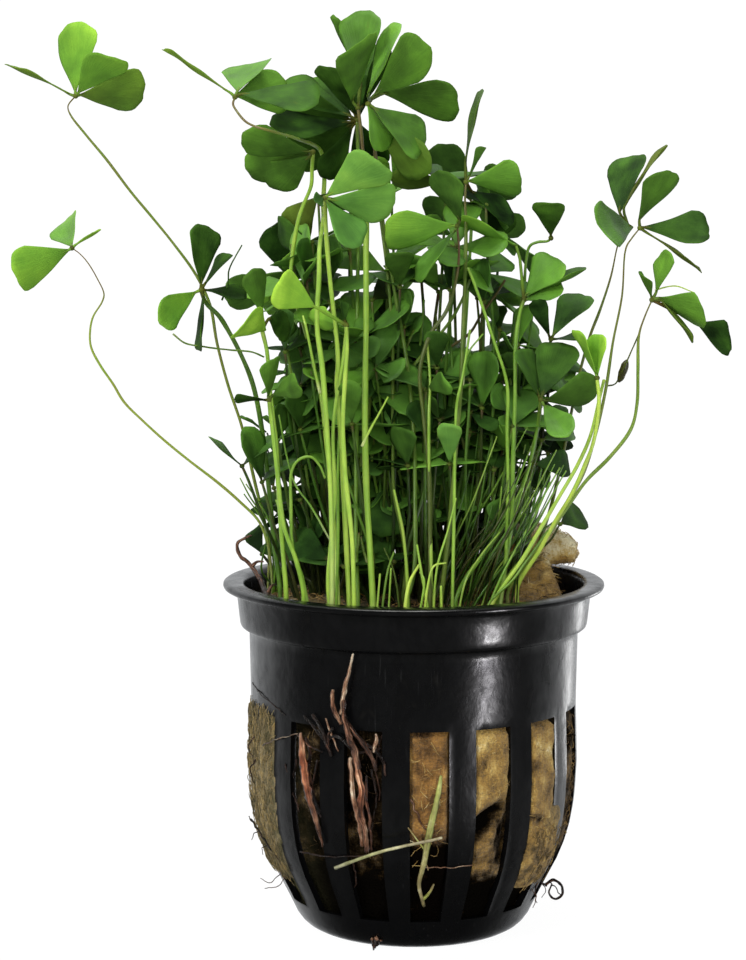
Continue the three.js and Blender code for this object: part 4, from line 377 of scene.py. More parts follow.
# strands of root: node they belong to, points, three radii, tone, red, roughness of outline
STRANDS = [
    ("root_centre", [[-8.18, -23.54, 43.31], [-8.6, -23.03, 41.29], [-9.14, -22.99, 39.08], [-9.56, -22.77, 36.82], [-9.84, -22.5, 34.83]], 0.14, 0.32, 0.34, 0.86, 0.0, 0.4),
    ("root_centre", [[-10.95, -21.85, 38.02], [-11.08, -21.97, 36.38], [-10.53, -22.2, 34.77], [-9.71, -22.44, 33.43]], 0.22, 0.34, 0.32, 0.6, 0.2, 0.5),
    ("root_centre", [[-9.56, -22.81, 36.83], [-9.42, -22.92, 34.09], [-8.6, -23.26, 31.67], [-7.92, -23.35, 29.76], [-7.38, -23.38, 27.54]], 0.3, 0.46, 0.42, 0.46, 0.1, 0.5),
    ("root_centre", [[-9.72, -22.16, 34.76], [-8.34, -22.79, 32.68], [-6.83, -23.35, 30.87], [-5.74, -23.48, 29.24], [-5.06, -23.49, 27.3]], 0.26, 0.36, 0.28, 0.34, 0.1, 0.5),
    ("root_centre", [[-8.06, -23.25, 30.01], [-7.65, -23.25, 27.51], [-7.11, -23.4, 24.49], [-7.25, -23.11, 21.36], [-6.57, -22.98, 18.54], [-6.31, -22.57, 15.63]], 0.38, 0.52, 0.38, 0.56, 0.65, 0.5),
    ("root_centre", [[-8.61, -22.86, 28.81], [-8.35, -22.83, 25.75], [-8.08, -22.8, 22.95], [-7.4, -22.75, 19.87], [-7.0, -22.28, 16.39]], 0.32, 0.4, 0.28, 0.7, 0.1, 0.5),
    ("root_centre", [[-6.43, -23.15, 26.38], [-6.29, -23.09, 23.03], [-5.89, -22.88, 19.35], [-5.62, -22.4, 15.87]], 0.16, 0.24, 0.18, 0.38, 0.4, 0.5),
    ("root_centre", [[-5.06, -23.48, 32.29], [-5.06, -23.62, 31.21], [-5.33, -23.5, 29.8]], 0.2, 0.3, 0.24, 0.8, 0.0, 0.5),
    ("root_centre", [[-11.96, -20.78, 30.57], [-10.83, -21.58, 31.58], [-9.3, -22.51, 30.95], [-7.79, -23.02, 29.68], [-6.15, -23.2, 29.73], [-4.52, -23.35, 30.32]], 0.2, 0.2, 0.14, 0.16, 0.0, 0.5),
    ("root_centre", [[-10.97, -21.58, 32.69], [-11.66, -21.26, 31.23], [-11.4, -21.13, 29.25]], 0.22, 0.2, 0.12, 0.2, 0.0, 0.5),
    ("root_centre", [[-11.95, -20.81, 33.92], [-11.25, -21.33, 31.8], [-10.28, -21.78, 29.4]], 0.1, 0.18, 0.1, 0.66, 0.0, 0.4),
    ("root_centre", [[-13.92, -19.46, 34.19], [-12.79, -20.44, 32.72], [-11.95, -21.01, 30.62], [-11.26, -21.34, 28.74]], 0.2, 0.3, 0.22, 0.12, 0.0, 0.4),
    ("root_centre", [[-6.97, -23.07, 31.08], [-5.6, -23.46, 30.34], [-4.24, -23.59, 28.71], [-3.7, -23.54, 26.48]], 0.16, 0.24, 0.16, 0.24, 0.1, 0.5),
    ("root_left", [[-15.47, -18.88, 31.4], [-15.32, -19.21, 29.37], [-15.04, -19.53, 26.35], [-14.35, -19.9, 22.65], [-13.38, -20.24, 19.5], [-12.43, -20.07, 15.79]], 0.28, 0.66, 0.2, 0.66, 0.95, 0.5),
    ("root_left", [[-14.79, -18.69, 30.66], [-14.22, -19.32, 28.84], [-14.38, -18.91, 25.93], [-13.82, -19.21, 23.19], [-12.71, -19.63, 19.91]], 0.2, 0.26, 0.2, 0.28, 0.6, 0.5),
    ("root_left", [[-15.06, -18.6, 33.73], [-13.92, -19.58, 32.82], [-12.65, -20.6, 31.36], [-11.39, -21.23, 30.39]], 0.16, 0.22, 0.18, 0.14, 0.0, 0.5),
    ("root_left", [[-15.93, -17.97, 30.92], [-14.49, -19.31, 29.82], [-12.52, -20.56, 29.12]], 0.12, 0.15, 0.12, 0.34, 0.0, 0.5),
]
# fine roots and hairs
HAIRS = [
    ([[-21.15, -11.85, 28.16], [-18.56, -15.36, 29.93], [-15.92, -18.03, 31.08]], 0.12, 0.08, 0.85),
    ([[-23.08, -5.16, 35.72], [-21.36, -10.13, 34.96], [-19.49, -13.35, 34.05], [-17.84, -15.45, 33.21]], 0.1, 0.06, 0.15),
    ([[-15.78, -16.33, 13.95], [-12.18, -19.36, 14.2], [-7.83, -21.68, 14.83], [-3.97, -22.92, 15.87]], 0.12, 0.08, 0.15),
    ([[1.51, -22.55, 13.56], [4.39, -22.2, 13.34], [8.12, -21.06, 13.47]], 0.1, 0.08, 0.62),
    ([[-0.29, -23.81, 23.23], [0.26, -23.73, 21.82], [1.08, -23.72, 20.29], [2.31, -23.55, 18.44]], 0.2, 0.1, 0.45),
    ([[-5.02, -16.47, 1.71], [-5.32, -15.45, 0.54], [-5.62, -14.34, -0.81]], 0.4, 0.1, 0.4),
    ([[-5.73, -16.04, 1.43], [-5.6, -15.26, 0.48], [-5.48, -14.39, -0.51]], 0.26, 0.08, 0.5),
    ([[-4.46, -16.42, 1.41], [-4.89, -15.65, 0.6], [-5.33, -14.45, -0.34]], 0.22, 0.08, 0.34),
    ([[-17.72, -15.73, 26.32], [-16.88, -16.03, 22.7], [-15.73, -16.94, 19.8]], 0.14, 0.1, 0.24),
    ([[-13.13, -19.07, 27.66], [-13.99, -18.39, 23.28], [-13.17, -18.58, 17.67]], 0.16, 0.1, 0.16),
    ([[-5.62, -22.48, 27.07], [-5.07, -22.52, 22.9], [-5.91, -21.9, 17.14]], 0.18, 0.1, 0.14),
    ([[-4.25, -22.84, 32.01], [-5.07, -22.57, 28.48], [-4.53, -22.64, 22.93]], 0.16, 0.1, 0.2),
    ([[-8.42, -20.2, 13.87], [-7.89, -19.26, 10.78], [-8.79, -16.96, 7.29]], 0.16, 0.1, 0.22),
    ([[-16.28, -16.48, 27.07], [-17.2, -15.25, 21.09], [-16.13, -14.77, 13.82]], 0.16, 0.1, 0.16),
    ([[-23.08, -9.0, 16.79], [-22.21, -9.33, 15.57], [-21.48, -9.67, 14.5], [-20.76, -10.0, 13.57], [-20.03, -10.33, 12.49], [-18.74, -10.67, 10.84], [-18.02, -11.0, 9.63]], 0.14, 0.1, 0.06),
    ([[-22.8, -9.0, 16.36], [-23.36, -9.0, 17.23]], 0.1, 0.06, 0.08),
    ([[-21.95, -9.0, 15.05], [-22.67, -9.0, 14.61], [-22.96, -9.0, 13.73]], 0.09, 0.05, 0.12),
    ([[-20.68, -9.0, 13.02], [-21.53, -9.0, 12.57], [-21.4, -9.0, 11.55]], 0.09, 0.05, 0.1),
    ([[-17.35, -10.0, 10.82], [-18.96, -9.33, 8.88], [-20.43, -8.67, 7.52], [-21.9, -8.0, 7.77]], 0.09, 0.05, 0.3),
    ([[-17.5, -10.0, 9.94], [-19.27, -9.0, 7.03], [-21.19, -8.0, 6.45]], 0.08, 0.05, 0.35),
    ([[-22.32, -9.0, 25.36], [-23.19, -9.0, 23.91], [-22.63, -9.0, 21.88]], 0.12, 0.08, 0.2),
    ([[-22.59, -9.0, 28.54], [-23.31, -9.0, 27.52], [-22.89, -9.0, 25.93]], 0.12, 0.07, 0.3),
    ([[18.84, -3.0, 7.62], [18.45, -2.25, 6.22], [19.37, -1.5, 5.12]], 0.18, 0.14, 0.2),
    ([[19.37, -1.5, 5.12], [20.24, -1.5, 6.02], [21.4, -1.5, 5.43]], 0.1, 0.07, 0.25),
    ([[19.78, -1.8, 5.95], [20.83, -1.5, 4.83], [21.58, -1.2, 3.56]], 0.1, 0.07, 0.12),
    ([[17.82, -9.0, 7.49], [17.42, -8.75, 6.1], [17.73, -8.5, 4.57]], 0.1, 0.05, 0.3),
    ([[16.95, -9.5, 7.04], [17.54, -9.25, 5.66], [16.99, -9.0, 3.98]], 0.09, 0.05, 0.5),
    ([[18.3, -8.0, 7.51], [18.88, -8.0, 6.34], [18.32, -8.0, 5.31]], 0.08, 0.05, 0.2),
]

# how bright (painted light and shade included), how red near the leaf, over which part of the length, how brown, and
# girth: id -> five numbers
STEM_LOOK = {
    "01": (0.72, 0.80, 0.16, 1.0, 0.60), "02": (0.92, 0.90, 0.34, 0.85, 0.55), "03": (0.46, 0.3, 0.1, 0.05, 0.85),
    "04": (0.84, 0.9, 0.40, 0.0, 0.84), "05": (0.58, 0.4, 0.1, 0.15, 0.80), "06": (0.86, 0.3, 0.06, 0.0, 0.80),
    "07": (0.80, 0.9, 0.30, 0.08, 0.84), "08": (0.50, 0.7, 0.25, 0.55, 0.72), "09": (0.46, 0.7, 0.25, 0.35, 0.72),
    "10": (0.88, 0.4, 0.08, 0.0, 0.85), "11": (0.34, 0.8, 0.25, 0.60, 0.72), "12": (0.48, 0.6, 0.25, 0.60, 0.80),
    "13": (0.60, 0.5, 0.06, 0.15, 0.68), "14": (0.62, 0.3, 0.1, 0.1, 0.75), "15": (0.46, 0.6, 0.1, 0.2, 0.75),
    "16": (0.54, 0.60, 0.35, 0.98, 0.74), "17": (0.66, 0.65, 0.35, 0.95, 0.74), "18": (0.74, 0.80, 0.22, 0.60, 0.76),
    "19": (0.96, 0.0, 0.1, 0.0, 0.62), "20": (0.56, 0.3, 0.1, 0.1, 0.75), "21": (0.88, 0.2, 0.1, 0.0, 0.80),
    "22": (0.80, 0.2, 0.1, 0.0, 0.78), "23": (0.78, 0.2, 0.1, 0.0, 0.75), "24": (0.58, 0.5, 0.1, 0.1, 0.75),
    "25": (0.58, 0.5, 0.1, 0.1, 0.75),
}
# cooler, greyer green on these leaves
COOL = {"10": 0.75, "16": 0.15, "17": 0.1, "15": 0.40, "04": 0.15, "11": 0.15, "12": 0.20, "13": 0.0, "14": 0.1, "24": 0.2, "25": 0.2}

# camera: where the picture was taken from (mm), what it looks at, focal length in pixels
CAM_POS = np.array([0.0, -360.0, 104.6])
CAM_AT = np.array([-5.85, 0.0, 64.4])
CAM_F = 2520.0


def project(p):
    """Picture position of points in mm, in the 746 by 960 frame."""
    p = np.atleast_2d(np.asarray(p, float)) - CAM_POS
    fwd = (CAM_AT - CAM_POS) / np.linalg.norm(CAM_AT - CAM_POS)
    right = np.cross(fwd, [0, 0, 1.0])
    right /= np.linalg.norm(right)
    up = np.cross(right, fwd)
    z = p @ fwd
    return np.stack([373 + CAM_F * (p @ right) / z, 480 - CAM_F * (p @ up) / z], 1)


# ------------------------------------------------------------------ mesh building
ATTRS = ("tone", "side", "rnd", "along", "red", "brown", "cool")


def unit(v):
    v = np.asarray(v, float)
    return v / max(np.linalg.norm(v), 1e-12)


def signed_volume(v, faces):
    """Positive when the faces of a closed body look outwards."""
    v = v - v[0]
    sizes = {}
    for f in faces:
        sizes.setdefault(len(f), []).append(f)
    total = 0.0
    for n, fs in sizes.items():
        a = v[np.array(fs)]
        for k in range(1, n - 1):
            total += np.einsum("ij,ij->i", a[:, 0], np.cross(a[:, k], a[:, k + 1])).sum()
    return total


class Build:
    """Collects closed bodies (mm) and makes one mesh object of them."""

    def __init__(self):
        self.v, self.f, self.uv, self.n = [], [], [], 0
        self.at = {k: [] for k in ATTRS}

    def add(self, verts, faces, uv, **at):
        n = len(verts)
        verts = np.asarray(verts, float)
        if signed_volume(verts, faces) < 0:
            faces = [tuple(reversed(f)) for f in faces]
        self.v.append(verts)
        o = self.n
        self.f.extend([tuple(i + o for i in f) for f in faces])
        self.uv.append(np.asarray(uv, float))
        for k in ATTRS:
            a = at.get(k, 0.0)
            self.at[k].append(np.full(n, a, float) if np.isscalar(a) else np.asarray(a, float))
        self.n += n

    def make(self, name, material, slot, stands_for=(), smooth=True):
        me = bpy.data.meshes.new(name)
        v = np.concatenate(self.v) * MM
        me.from_pydata(v.tolist(), [], self.f)
        me.update()
        uv = np.concatenate(self.uv)
        layer = me.uv_layers.new(name="UVMap")
        idx = np.empty(len(me.loops), dtype=np.int32)
        me.loops.foreach_get("vertex_index", idx)
        layer.data.foreach_set("uv", uv[idx].astype(np.float32).ravel())
        for k in ATTRS:
            a = np.concatenate(self.at[k]).astype(np.float32)
            if k in ("tone", "side", "rnd") or np.any(a):
                at = me.attributes.new(k, "FLOAT", "POINT")
                at.data.foreach_set("value", a)
        if smooth:
            me.shade_smooth()
        me.materials.append(material)
        ob = bpy.data.objects.new(name, me)
        bpy.context.scene.collection.objects.link(ob)
        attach(ob, "root")
        if stands_for:
            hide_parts(*stands_for)
        return ob


def grid_faces(rows, cols, start=0, flip=False, wrap=False):
    f = []
    last = cols if wrap else cols - 1
    for i in range(rows - 1):
        for j in range(last):
            a = start + i * cols + j
            b = start + i * cols + (j + 1) % cols
            c, d = b + cols, a + cols
            f.append((a, d, c, b) if flip else (a, b, c, d))
    return f


def smooth_path(pts, per=5):
    """Centripetal Catmull-Rom curve through the points."""
    p = [np.asarray(q, float) for q in pts]
    if len(p) < 3:
        return np.array([p[0] + (p[-1] - p[0]) * s for s in np.linspace(0, 1, per * 2)])
    p = [2 * p[0] - p[1]] + p + [2 * p[-1] - p[-2]]
    out = []
    for i in range(1, len(p) - 2):
        p0, p1, p2, p3 = p[i - 1 : i + 3]
        t0 = 0.0
        t1 = t0 + max(np.linalg.norm(p1 - p0), 1e-6) ** 0.5
        t2 = t1 + max(np.linalg.norm(p2 - p1), 1e-6) ** 0.5
        t3 = t2 + max(np.linalg.norm(p3 - p2), 1e-6) ** 0.5
        for s in range(per):
            t = t1 + (t2 - t1) * s / per
            a1 = (t1 - t) / (t1 - t0) * p0 + (t - t0) / (t1 - t0) * p1
            a2 = (t2 - t) / (t2 - t1) * p1 + (t - t1) / (t2 - t1) * p2
            a3 = (t3 - t) / (t3 - t2) * p2 + (t - t2) / (t3 - t2) * p3
            b1 = (t2 - t) / (t2 - t0) * a1 + (t - t0) / (t2 - t0) * a2
            b2 = (t3 - t) / (t3 - t1) * a2 + (t - t1) / (t3 - t1) * a3
            out.append((t2 - t) / (t2 - t1) * b1 + (t - t1) / (t2 - t1) * b2)
    out.append(p[-2])
    return np.array(out)


def sweep(b, path, rads, sides=8, knob=0.0, flat=1.0, **at):
    """A closed round bar along the path; rads is one radius for each point."""
    path = np.asarray(path, float)
    n = len(path)
    rads = np.broadcast_to(np.asarray(rads, float), (n,))
    tan = np.gradient(path, axis=0)
    tan /= np.maximum(np.linalg.norm(tan, axis=1, keepdims=True), 1e-9)
    ref = np.array([1.0, 0, 0]) if abs(tan[0][0]) < 0.8 else np.array([0, 1.0, 0])
    u = unit(np.cross(tan[0], ref))
    verts, uvs = [], []
    ang = np.linspace(0, 2 * math.pi, sides, endpoint=False)
    for i in range(n):
        u = unit(u - tan[i] * (u @ tan[i]))
        w = np.cross(tan[i], u)
        r = rads[i]
        for j, a in enumerate(ang):
            rr = r
            if knob:
                q = path[i] * 1.3 + np.array([math.cos(a), math.sin(a), 0]) * 0.9
                rr = r * (1 + knob * noise.noise(Vector(q)))
            verts.append(path[i] + u * (rr * math.cos(a)) + w * (rr * flat * math.sin(a)))
            uvs.append((j / sides, i / (n - 1)))
    faces = grid_faces(n, sides, wrap=True)
    # rounded ends
    for end, s in ((0, -1), (n - 1, 1)):
        c = len(verts)
        verts.append(path[end] + tan[end] * (s * rads[end] * 0.6))
        uvs.append((0.5, end / (n - 1)))
        ring = [end * sides + j for j in range(sides)]
        for j in range(sides):
            a0, a1 = ring[j], ring[(j + 1) % sides]
            faces.append((c, a1, a0) if s < 0 else (c, a0, a1))
    far = np.array([v[1] for v in uvs])
    al = at.pop("along", None)
    if al is None:
        al = far
    reach = at.pop("reach", 0.10)
    red = at.pop("red", 0.0)
    if np.isscalar(red) and red:
        q = np.clip((far - (1 - reach)) / (0.6 * reach), 0, 1)
        red = red * q * q * (3 - 2 * q)
    b.add(verts, faces, uvs, along=al, red=red, **at)


def knot(b, c, r, axis=(0, 0, 1), squash=0.8, seg=8, rings=5, **at):
    """A small rounded knob."""
    a = unit(axis)
    u = unit(np.cross(a, [0.3, 1, 0.2]))
    w = np.cross(a, u)
    verts, uvs, faces = [], [], []
    for i in range(1, rings):
        th = math.pi * i / rings
        for j in range(seg):
            ph = 2 * math.pi * j / seg
            verts.append(np.asarray(c) + a * (r * squash * math.cos(th)) + (u * math.cos(ph) + w * math.sin(ph)) * (r * math.sin(th)))
            uvs.append((j / seg, i / rings))
    faces = grid_faces(rings - 1, seg, wrap=True, flip=True)
    top, bot = len(verts), len(verts) + 1
    verts += [np.asarray(c) + a * (r * squash), np.asarray(c) - a * (r * squash)]
    uvs += [(0.5, 0.0), (0.5, 1.0)]
    for j in range(seg):
        k = (j + 1) % seg
        faces.append((top, j, k))
        o = (rings - 2) * seg
        faces.append((bot, o + k, o + j))
    b.add(verts, faces, uvs, **at)


def leaflet(b, B, t, w, L, hw, tone, up, seed, na=17, nr=12, cup=0.10, bend=0.05, fold=0.0, cool=0.0, brown=0.0):
    """One wedge-shaped leaflet with a rounded outer margin, as a thin closed body."""
    rng = np.random.default_rng(seed)
    B, t = np.asarray(B, float), unit(t)
    w = unit(np.asarray(w, float) - t * (np.asarray(w, float) @ t))
    n = np.cross(t, w)
    if n @ np.asarray(up, float) < 0:
        n = -n
    rc = math.hypot(hw, 0.80 * L)
    th = math.atan2(hw, 0.80 * L) * 1.05
    a = np.linspace(-1, 1, na)
    a = np.sign(a) * np.abs(a) ** 0.85
    r = np.concatenate(([0.045], np.linspace(0.12, 1.0, nr - 1) ** 0.92))
    rho = (L + (rc - L) * a ** 2) * (1 - rng.uniform(0.09, 0.15) * np.abs(a) ** 8)
    ph = rng.uniform(0, 6.28, 6)
    rho = rho * (1 + 0.014 * np.sin(5 * a + ph[0]) + 0.008 * np.sin(12 * a + ph[1]))
    rho = rho * (1 + 0.03 * rng.uniform(-1, 1) * a)
    A, R = np.meshgrid(a, r)
    RHO = np.broadcast_to(rho, A.shape)
    ang = A * th * (1 - 0.10 * (1 - R) + 0.05 * np.sin(math.pi * R))
    x, y = R * RHO * np.sin(ang), R * RHO * np.cos(ang)
    z = cup * x ** 2 / max(hw, 1) - bend * y ** 2 / L + fold * np.abs(x)
    z = z + 0.16 * R * np.sin(1.0 * y + 2.2 * A + ph[2]) + 0.10 * R ** 2 * np.sin(7 * A + ph[3]) * np.abs(A)
    z = z + rng.uniform(-0.05, 0.05) * x
    h = 0.07 + 0.15 * (1 - R ** 6) * (1 - np.abs(A) ** 8)
    verts, uvs, side = [], [], []
    for s in (1, -1):
        P = B + x[..., None] * w + y[..., None] * t + (z + s * h / 2)[..., None] * n
        verts.append(P.reshape(-1, 3))
        uvs.append(np.stack([(A + 1) / 2, R], -1).reshape(-1, 2))
        side.append(np.full(A.size, 0.0 if s > 0 else 1.0))
    m = na * nr
    right = np.cross(t, n) @ w < 0      # handedness of (w, t, n)
    top = grid_faces(nr, na, 0, flip=not right)
    bot = grid_faces(nr, na, m, flip=right)
    rim = []
    loop = [j for j in range(na)] + [i * na + na - 1 for i in range(1, nr)]
    loop += [(nr - 1) * na + j for j in range(na - 2, -1, -1)] + [i * na for i in range(nr - 2, 0, -1)]
    for k in range(len(loop)):
        p, q = loop[k], loop[(k + 1) % len(loop)]
        rim.append((q, p, p + m, q + m) if right else (p, q, q + m, p + m))
    faces = top + bot + rim
    b.add(np.concatenate(verts), faces, np.concatenate(uvs), tone=tone, side=np.concatenate(side),
          rnd=rng.uniform(), cool=cool, brown=brown, along=1.0)


# ------------------------------------------------------------------ materials
def rgb(r, g, b):
    """sRGB 0-255 to linear."""
    def lin(c):
        c = c / 255.0
        return c / 12.92 if c <= 0.04045 else ((c + 0.055) / 1.055) ** 2.4
    return (lin(r), lin(g), lin(b), 1.0)


class Mat:
    def __init__(self, name):
        self.m = bpy.data.materials.new(name)
        self.m.use_nodes = True
        self.t = self.m.node_tree
        self.t.nodes.clear()
        self.out = self.t.nodes.new("ShaderNodeOutputMaterial")
        self.p = self.t.nodes.new("ShaderNodeBsdfPrincipled")
        self.t.links.new(self.p.outputs[0], self.out.inputs[0])

    def node(self, kind, **props):
        n = self.t.nodes.new(kind)
        for k, v in props.items():
            setattr(n, k, v)
        return n

    def link(self, a, b):
        self.t.links.new(a, b)

    def put(self, sock, v):
        if hasattr(v, "is_output"):
            self.t.links.new(v, sock)
        else:
            sock.default_value = v

    def attr(self, name):
        n = self.node("ShaderNodeAttribute", attribute_type="GEOMETRY", attribute_name=name)
        return n.outputs["Fac"]

    def math(self, op, a, b=0.0, clamp=False):
        n = self.node("ShaderNodeMath", operation=op, use_clamp=clamp)
        self.put(n.inputs[0], a)
        self.put(n.inputs[1], b)
        return n.outputs[0]

    def mix(self, fac, a, b, mode="MIX"):
        n = self.node("ShaderNodeMix", data_type="RGBA", blend_type=mode, clamp_factor=True)
        self.put(n.inputs[0], fac)
        self.put(n.inputs[6], a)
        self.put(n.inputs[7], b)
        return n.outputs[2]

    def ramp(self, fac, stops, mode="LINEAR"):
        n = self.node("ShaderNodeValToRGB")
        n.color_ramp.interpolation = mode
        e = n.color_ramp.elements
        while len(e) < len(stops):
            e.new(0.5)
        for i, (p, c) in enumerate(stops):
            e[i].position = p
            e[i].color = c if hasattr(c, "__len__") else (c, c, c, 1)
        self.put(n.inputs[0], fac)
        return n.outputs[0]

    def range(self, v, a, b, c, d, smooth=False):
        n = self.node("ShaderNodeMapRange", interpolation_type="SMOOTHSTEP" if smooth else "LINEAR")
        for i, q in enumerate((v, a, b, c, d)):
            self.put(n.inputs[i], q)
        return n.outputs[0]

    def coords(self, which="Object"):
        return self.node("ShaderNodeTexCoord").outputs[which]

    def scaled(self, vec, s, rot=None):
        n = self.node("ShaderNodeMapping")
        self.put(n.inputs["Vector"], vec)
        n.inputs["Scale"].default_value = s if hasattr(s, "__len__") else (s, s, s)
        if rot:
            n.inputs["Rotation"].default_value = rot
        return n.outputs[0]

    def noise(self, vec, scale, detail=3.0, rough=0.55, distort=0.0):
        n = self.node("ShaderNodeTexNoise")
        self.put(n.inputs["Vector"], vec)
        n.inputs["Scale"].default_value = scale
        n.inputs["Detail"].default_value = detail
        n.inputs["Roughness"].default_value = rough
        n.inputs["Distortion"].default_value = distort
        return n.outputs["Fac"]

    def voronoi(self, vec, scale, feature="F1", out="Distance"):
        n = self.node("ShaderNodeTexVoronoi", feature=feature)
        self.put(n.inputs["Vector"], vec)
        n.inputs["Scale"].default_value = scale
        return n.outputs[out]

    def join(self, x, y, z):
        n = self.node("ShaderNodeCombineXYZ")
        for i, q in enumerate((x, y, z)):
            self.put(n.inputs[i], q)
        return n.outputs[0]

    def split(self, v):
        n = self.node("ShaderNodeSeparateXYZ")
        self.put(n.inputs[0], v)
        return n.outputs

    def bump(self, h, strength, dist, normal=None):
        n = self.node("ShaderNodeBump")
        self.put(n.inputs["Height"], h)
        n.inputs["Strength"].default_value = strength
        n.inputs["Distance"].default_value = dist
        if normal is not None:
            self.put(n.inputs["Normal"], normal)
        return n.outputs[0]

    def set(self, **kw):
        for k, v in kw.items():
            self.put(self.p.inputs[k.replace("_", " ")], v)


def leaf_material():
    m = Mat("clover_leaf")
    tone, side, rnd, cool = m.attr("tone"), m.attr("side"), m.attr("rnd"), m.attr("cool")
    u, v, _ = m.split(m.coords("UV"))
    obj = m.coords()
    big = m.noise(obj, 150.0, 2.0, 0.5)
    blot = m.noise(obj, 420.0, 3.0, 0.6)
    fine = m.noise(obj, 1400.0, 2.0, 0.6)
    # veins fan out from the foot of the leaflet
    vein = m.noise(m.join(m.math("MULTIPLY", u, 34.0), m.math("MULTIPLY", v, 1.6), m.math("MULTIPLY", rnd, 40.0)), 1.0, 2.0, 0.5, 0.25)
    veins = m.range(vein, 0.42, 0.62, 0.0, 1.0, True)
    t = m.math("ADD", tone, m.range(big, 0.3, 0.7, -0.13, 0.13))
    t = m.math("ADD", t, m.range(blot, 0.3, 0.7, -0.06, 0.06))
    t = m.math("ADD", t, m.range(v, 0.0, 1.0, -0.09, 0.05))
    t = m.math("ADD", t, m.range(rnd, 0.0, 1.0, -0.03, 0.03))
    col = m.ramp(t, [
        (0.00, rgb(18, 34, 11)), (0.15, rgb(38, 65, 21)), (0.30, rgb(60, 95, 31)), (0.45, rgb(79, 123, 39)),
        (0.60, rgb(96, 147, 45)), (0.75, rgb(114, 165, 50)), (0.90, rgb(136, 186, 56)), (1.0, rgb(160, 208, 66))])
    # cooler, greyer green on some leaves
    col = m.mix(m.math("MULTIPLY", cool, 0.75), col, m.mix(1.0, col, (0.90, 0.98, 2.3, 1), "MULTIPLY"))
    col = m.mix(m.math("MULTIPLY", veins, 0.18), col, m.mix(1.0, col, (1.4, 1.34, 1.2, 1), "MULTIPLY"))
    # the underside is paler and duller
    under = m.mix(0.08, m.mix(1.0, col, (1.12, 1.06, 1.15, 1), "MULTIPLY"), rgb(100, 128, 56))
    col = m.mix(m.math("MULTIPLY", side, m.range(tone, 0.05, 0.3, 0.0, 1.0)), col, under)
    # thin margin, slightly yellow
    edge = m.math("MAXIMUM", m.range(v, 0.965, 1.0, 0.0, 1.0, True),
                  m.range(m.math("ABSOLUTE", m.math("SUBTRACT", u, 0.5)), 0.482, 0.5, 0.0, 1.0, True))
    col = m.mix(m.math("MULTIPLY", edge, 0.22), col, m.mix(1.0, col, (1.25, 1.05, 0.7, 1), "MULTIPLY"))
    # the foot of the leaflet is a little brown
    foot = m.range(v, 0.03, 0.14, 0.55, 0.0, True)
    col = m.mix(foot, col, rgb(96, 84, 48))
    spots = m.range(m.noise(obj, 520.0, 4.0, 0.65), 0.66, 0.74, 0.0, 1.0, True)
    br = m.math("MULTIPLY", m.attr("brown"), m.range(big, 0.35, 0.6, 0.45, 1.0))
    col = m.mix(m.math("MAXIMUM", br, m.math("MULTIPLY", spots, 0.16)), col, m.mix(0.5, col, rgb(112, 84, 34)))
    b = m.bump(m.math("ADD", m.math("MULTIPLY", veins, 0.7), m.math("MULTIPLY", fine, 0.5)), 0.30, 0.00010)
    b = m.bump(big, 0.35, 0.0011, b)
    # Darker leaflets are rougher and reflect less, so no reflection lifts their painted shade.
    rough = m.math("ADD", m.range(blot, 0.3, 0.7, 0.44, 0.60), m.math("MULTIPLY", side, 0.25))
    rough = m.math("ADD", rough, m.range(tone, 0.15, 0.4, 0.2, 0.0))
    m.set(Base_Color=col, Roughness=rough, Normal=b)
    spec = m.range(tone, 0.10, 0.50, 0.01, 0.26)
    m.put(m.p.inputs["Specular IOR Level"], m.math("MULTIPLY", spec, m.range(side, 0.0, 1.0, 1.0, 0.2)))
    return m.m


def stem_material():
    m = Mat("clover_stem")
    tone, along, red, brown = m.attr("tone"), m.attr("along"), m.attr("red"), m.attr("brown")
    obj = m.coords()
    u, v, _ = m.split(m.coords("UV"))
    lines = m.noise(m.join(m.math("MULTIPLY", u, 9.0), m.math("MULTIPLY", v, 5.0), m.attr("rnd")), 1.0, 3.0, 0.6)
    blot = m.noise(obj, 300.0, 3.0, 0.6)
    t = m.math("ADD", tone, m.range(blot, 0.3, 0.7, -0.08, 0.08))
    col = m.ramp(t, [
        (0.0, rgb(14, 28, 7)), (0.2, rgb(32, 58, 13)), (0.4, rgb(62, 99, 27)), (0.6, rgb(102, 144, 46)),
        (0.8, rgb(140, 178, 66)), (1.0, rgb(182, 206, 84))])
    pale = m.math("MULTIPLY", m.range(along, 0.0, 0.22, 0.9, 0.0, True), m.range(tone, 0.35, 0.7, 0.0, 1.0))
    col = m.mix(pale, col, m.mix(0.65, col, rgb(208, 206, 166)))
    col = m.mix(m.range(lines, 0.35, 0.7, 0.0, 0.5), col, m.mix(1.0, col, (0.60, 0.66, 0.5, 1), "MULTIPLY"))
    col = m.mix(m.math("MULTIPLY", brown, m.range(blot, 0.3, 0.65, 0.5, 1.0)), col, m.mix(0.35, rgb(96, 72, 38), col))
    # reddish towards the leaf
    col = m.mix(m.math("MULTIPLY", red, m.range(blot, 0.3, 0.6, 0.7, 1.0)), col, rgb(94, 57, 46))
    b = m.bump(lines, 0.35, 0.00018)
    m.set(Base_Color=col, Roughness=m.range(blot, 0.3, 0.7, 0.32, 0.5), Normal=b)
    m.p.inputs["Specular IOR Level"].default_value = 0.5
    m.p.inputs["Subsurface Weight"].default_value = 0.3
    m.p.inputs["Subsurface Radius"].default_value = (0.8, 1.0, 0.3)
    m.p.inputs["Subsurface Scale"].default_value = 0.0009
    return m.m


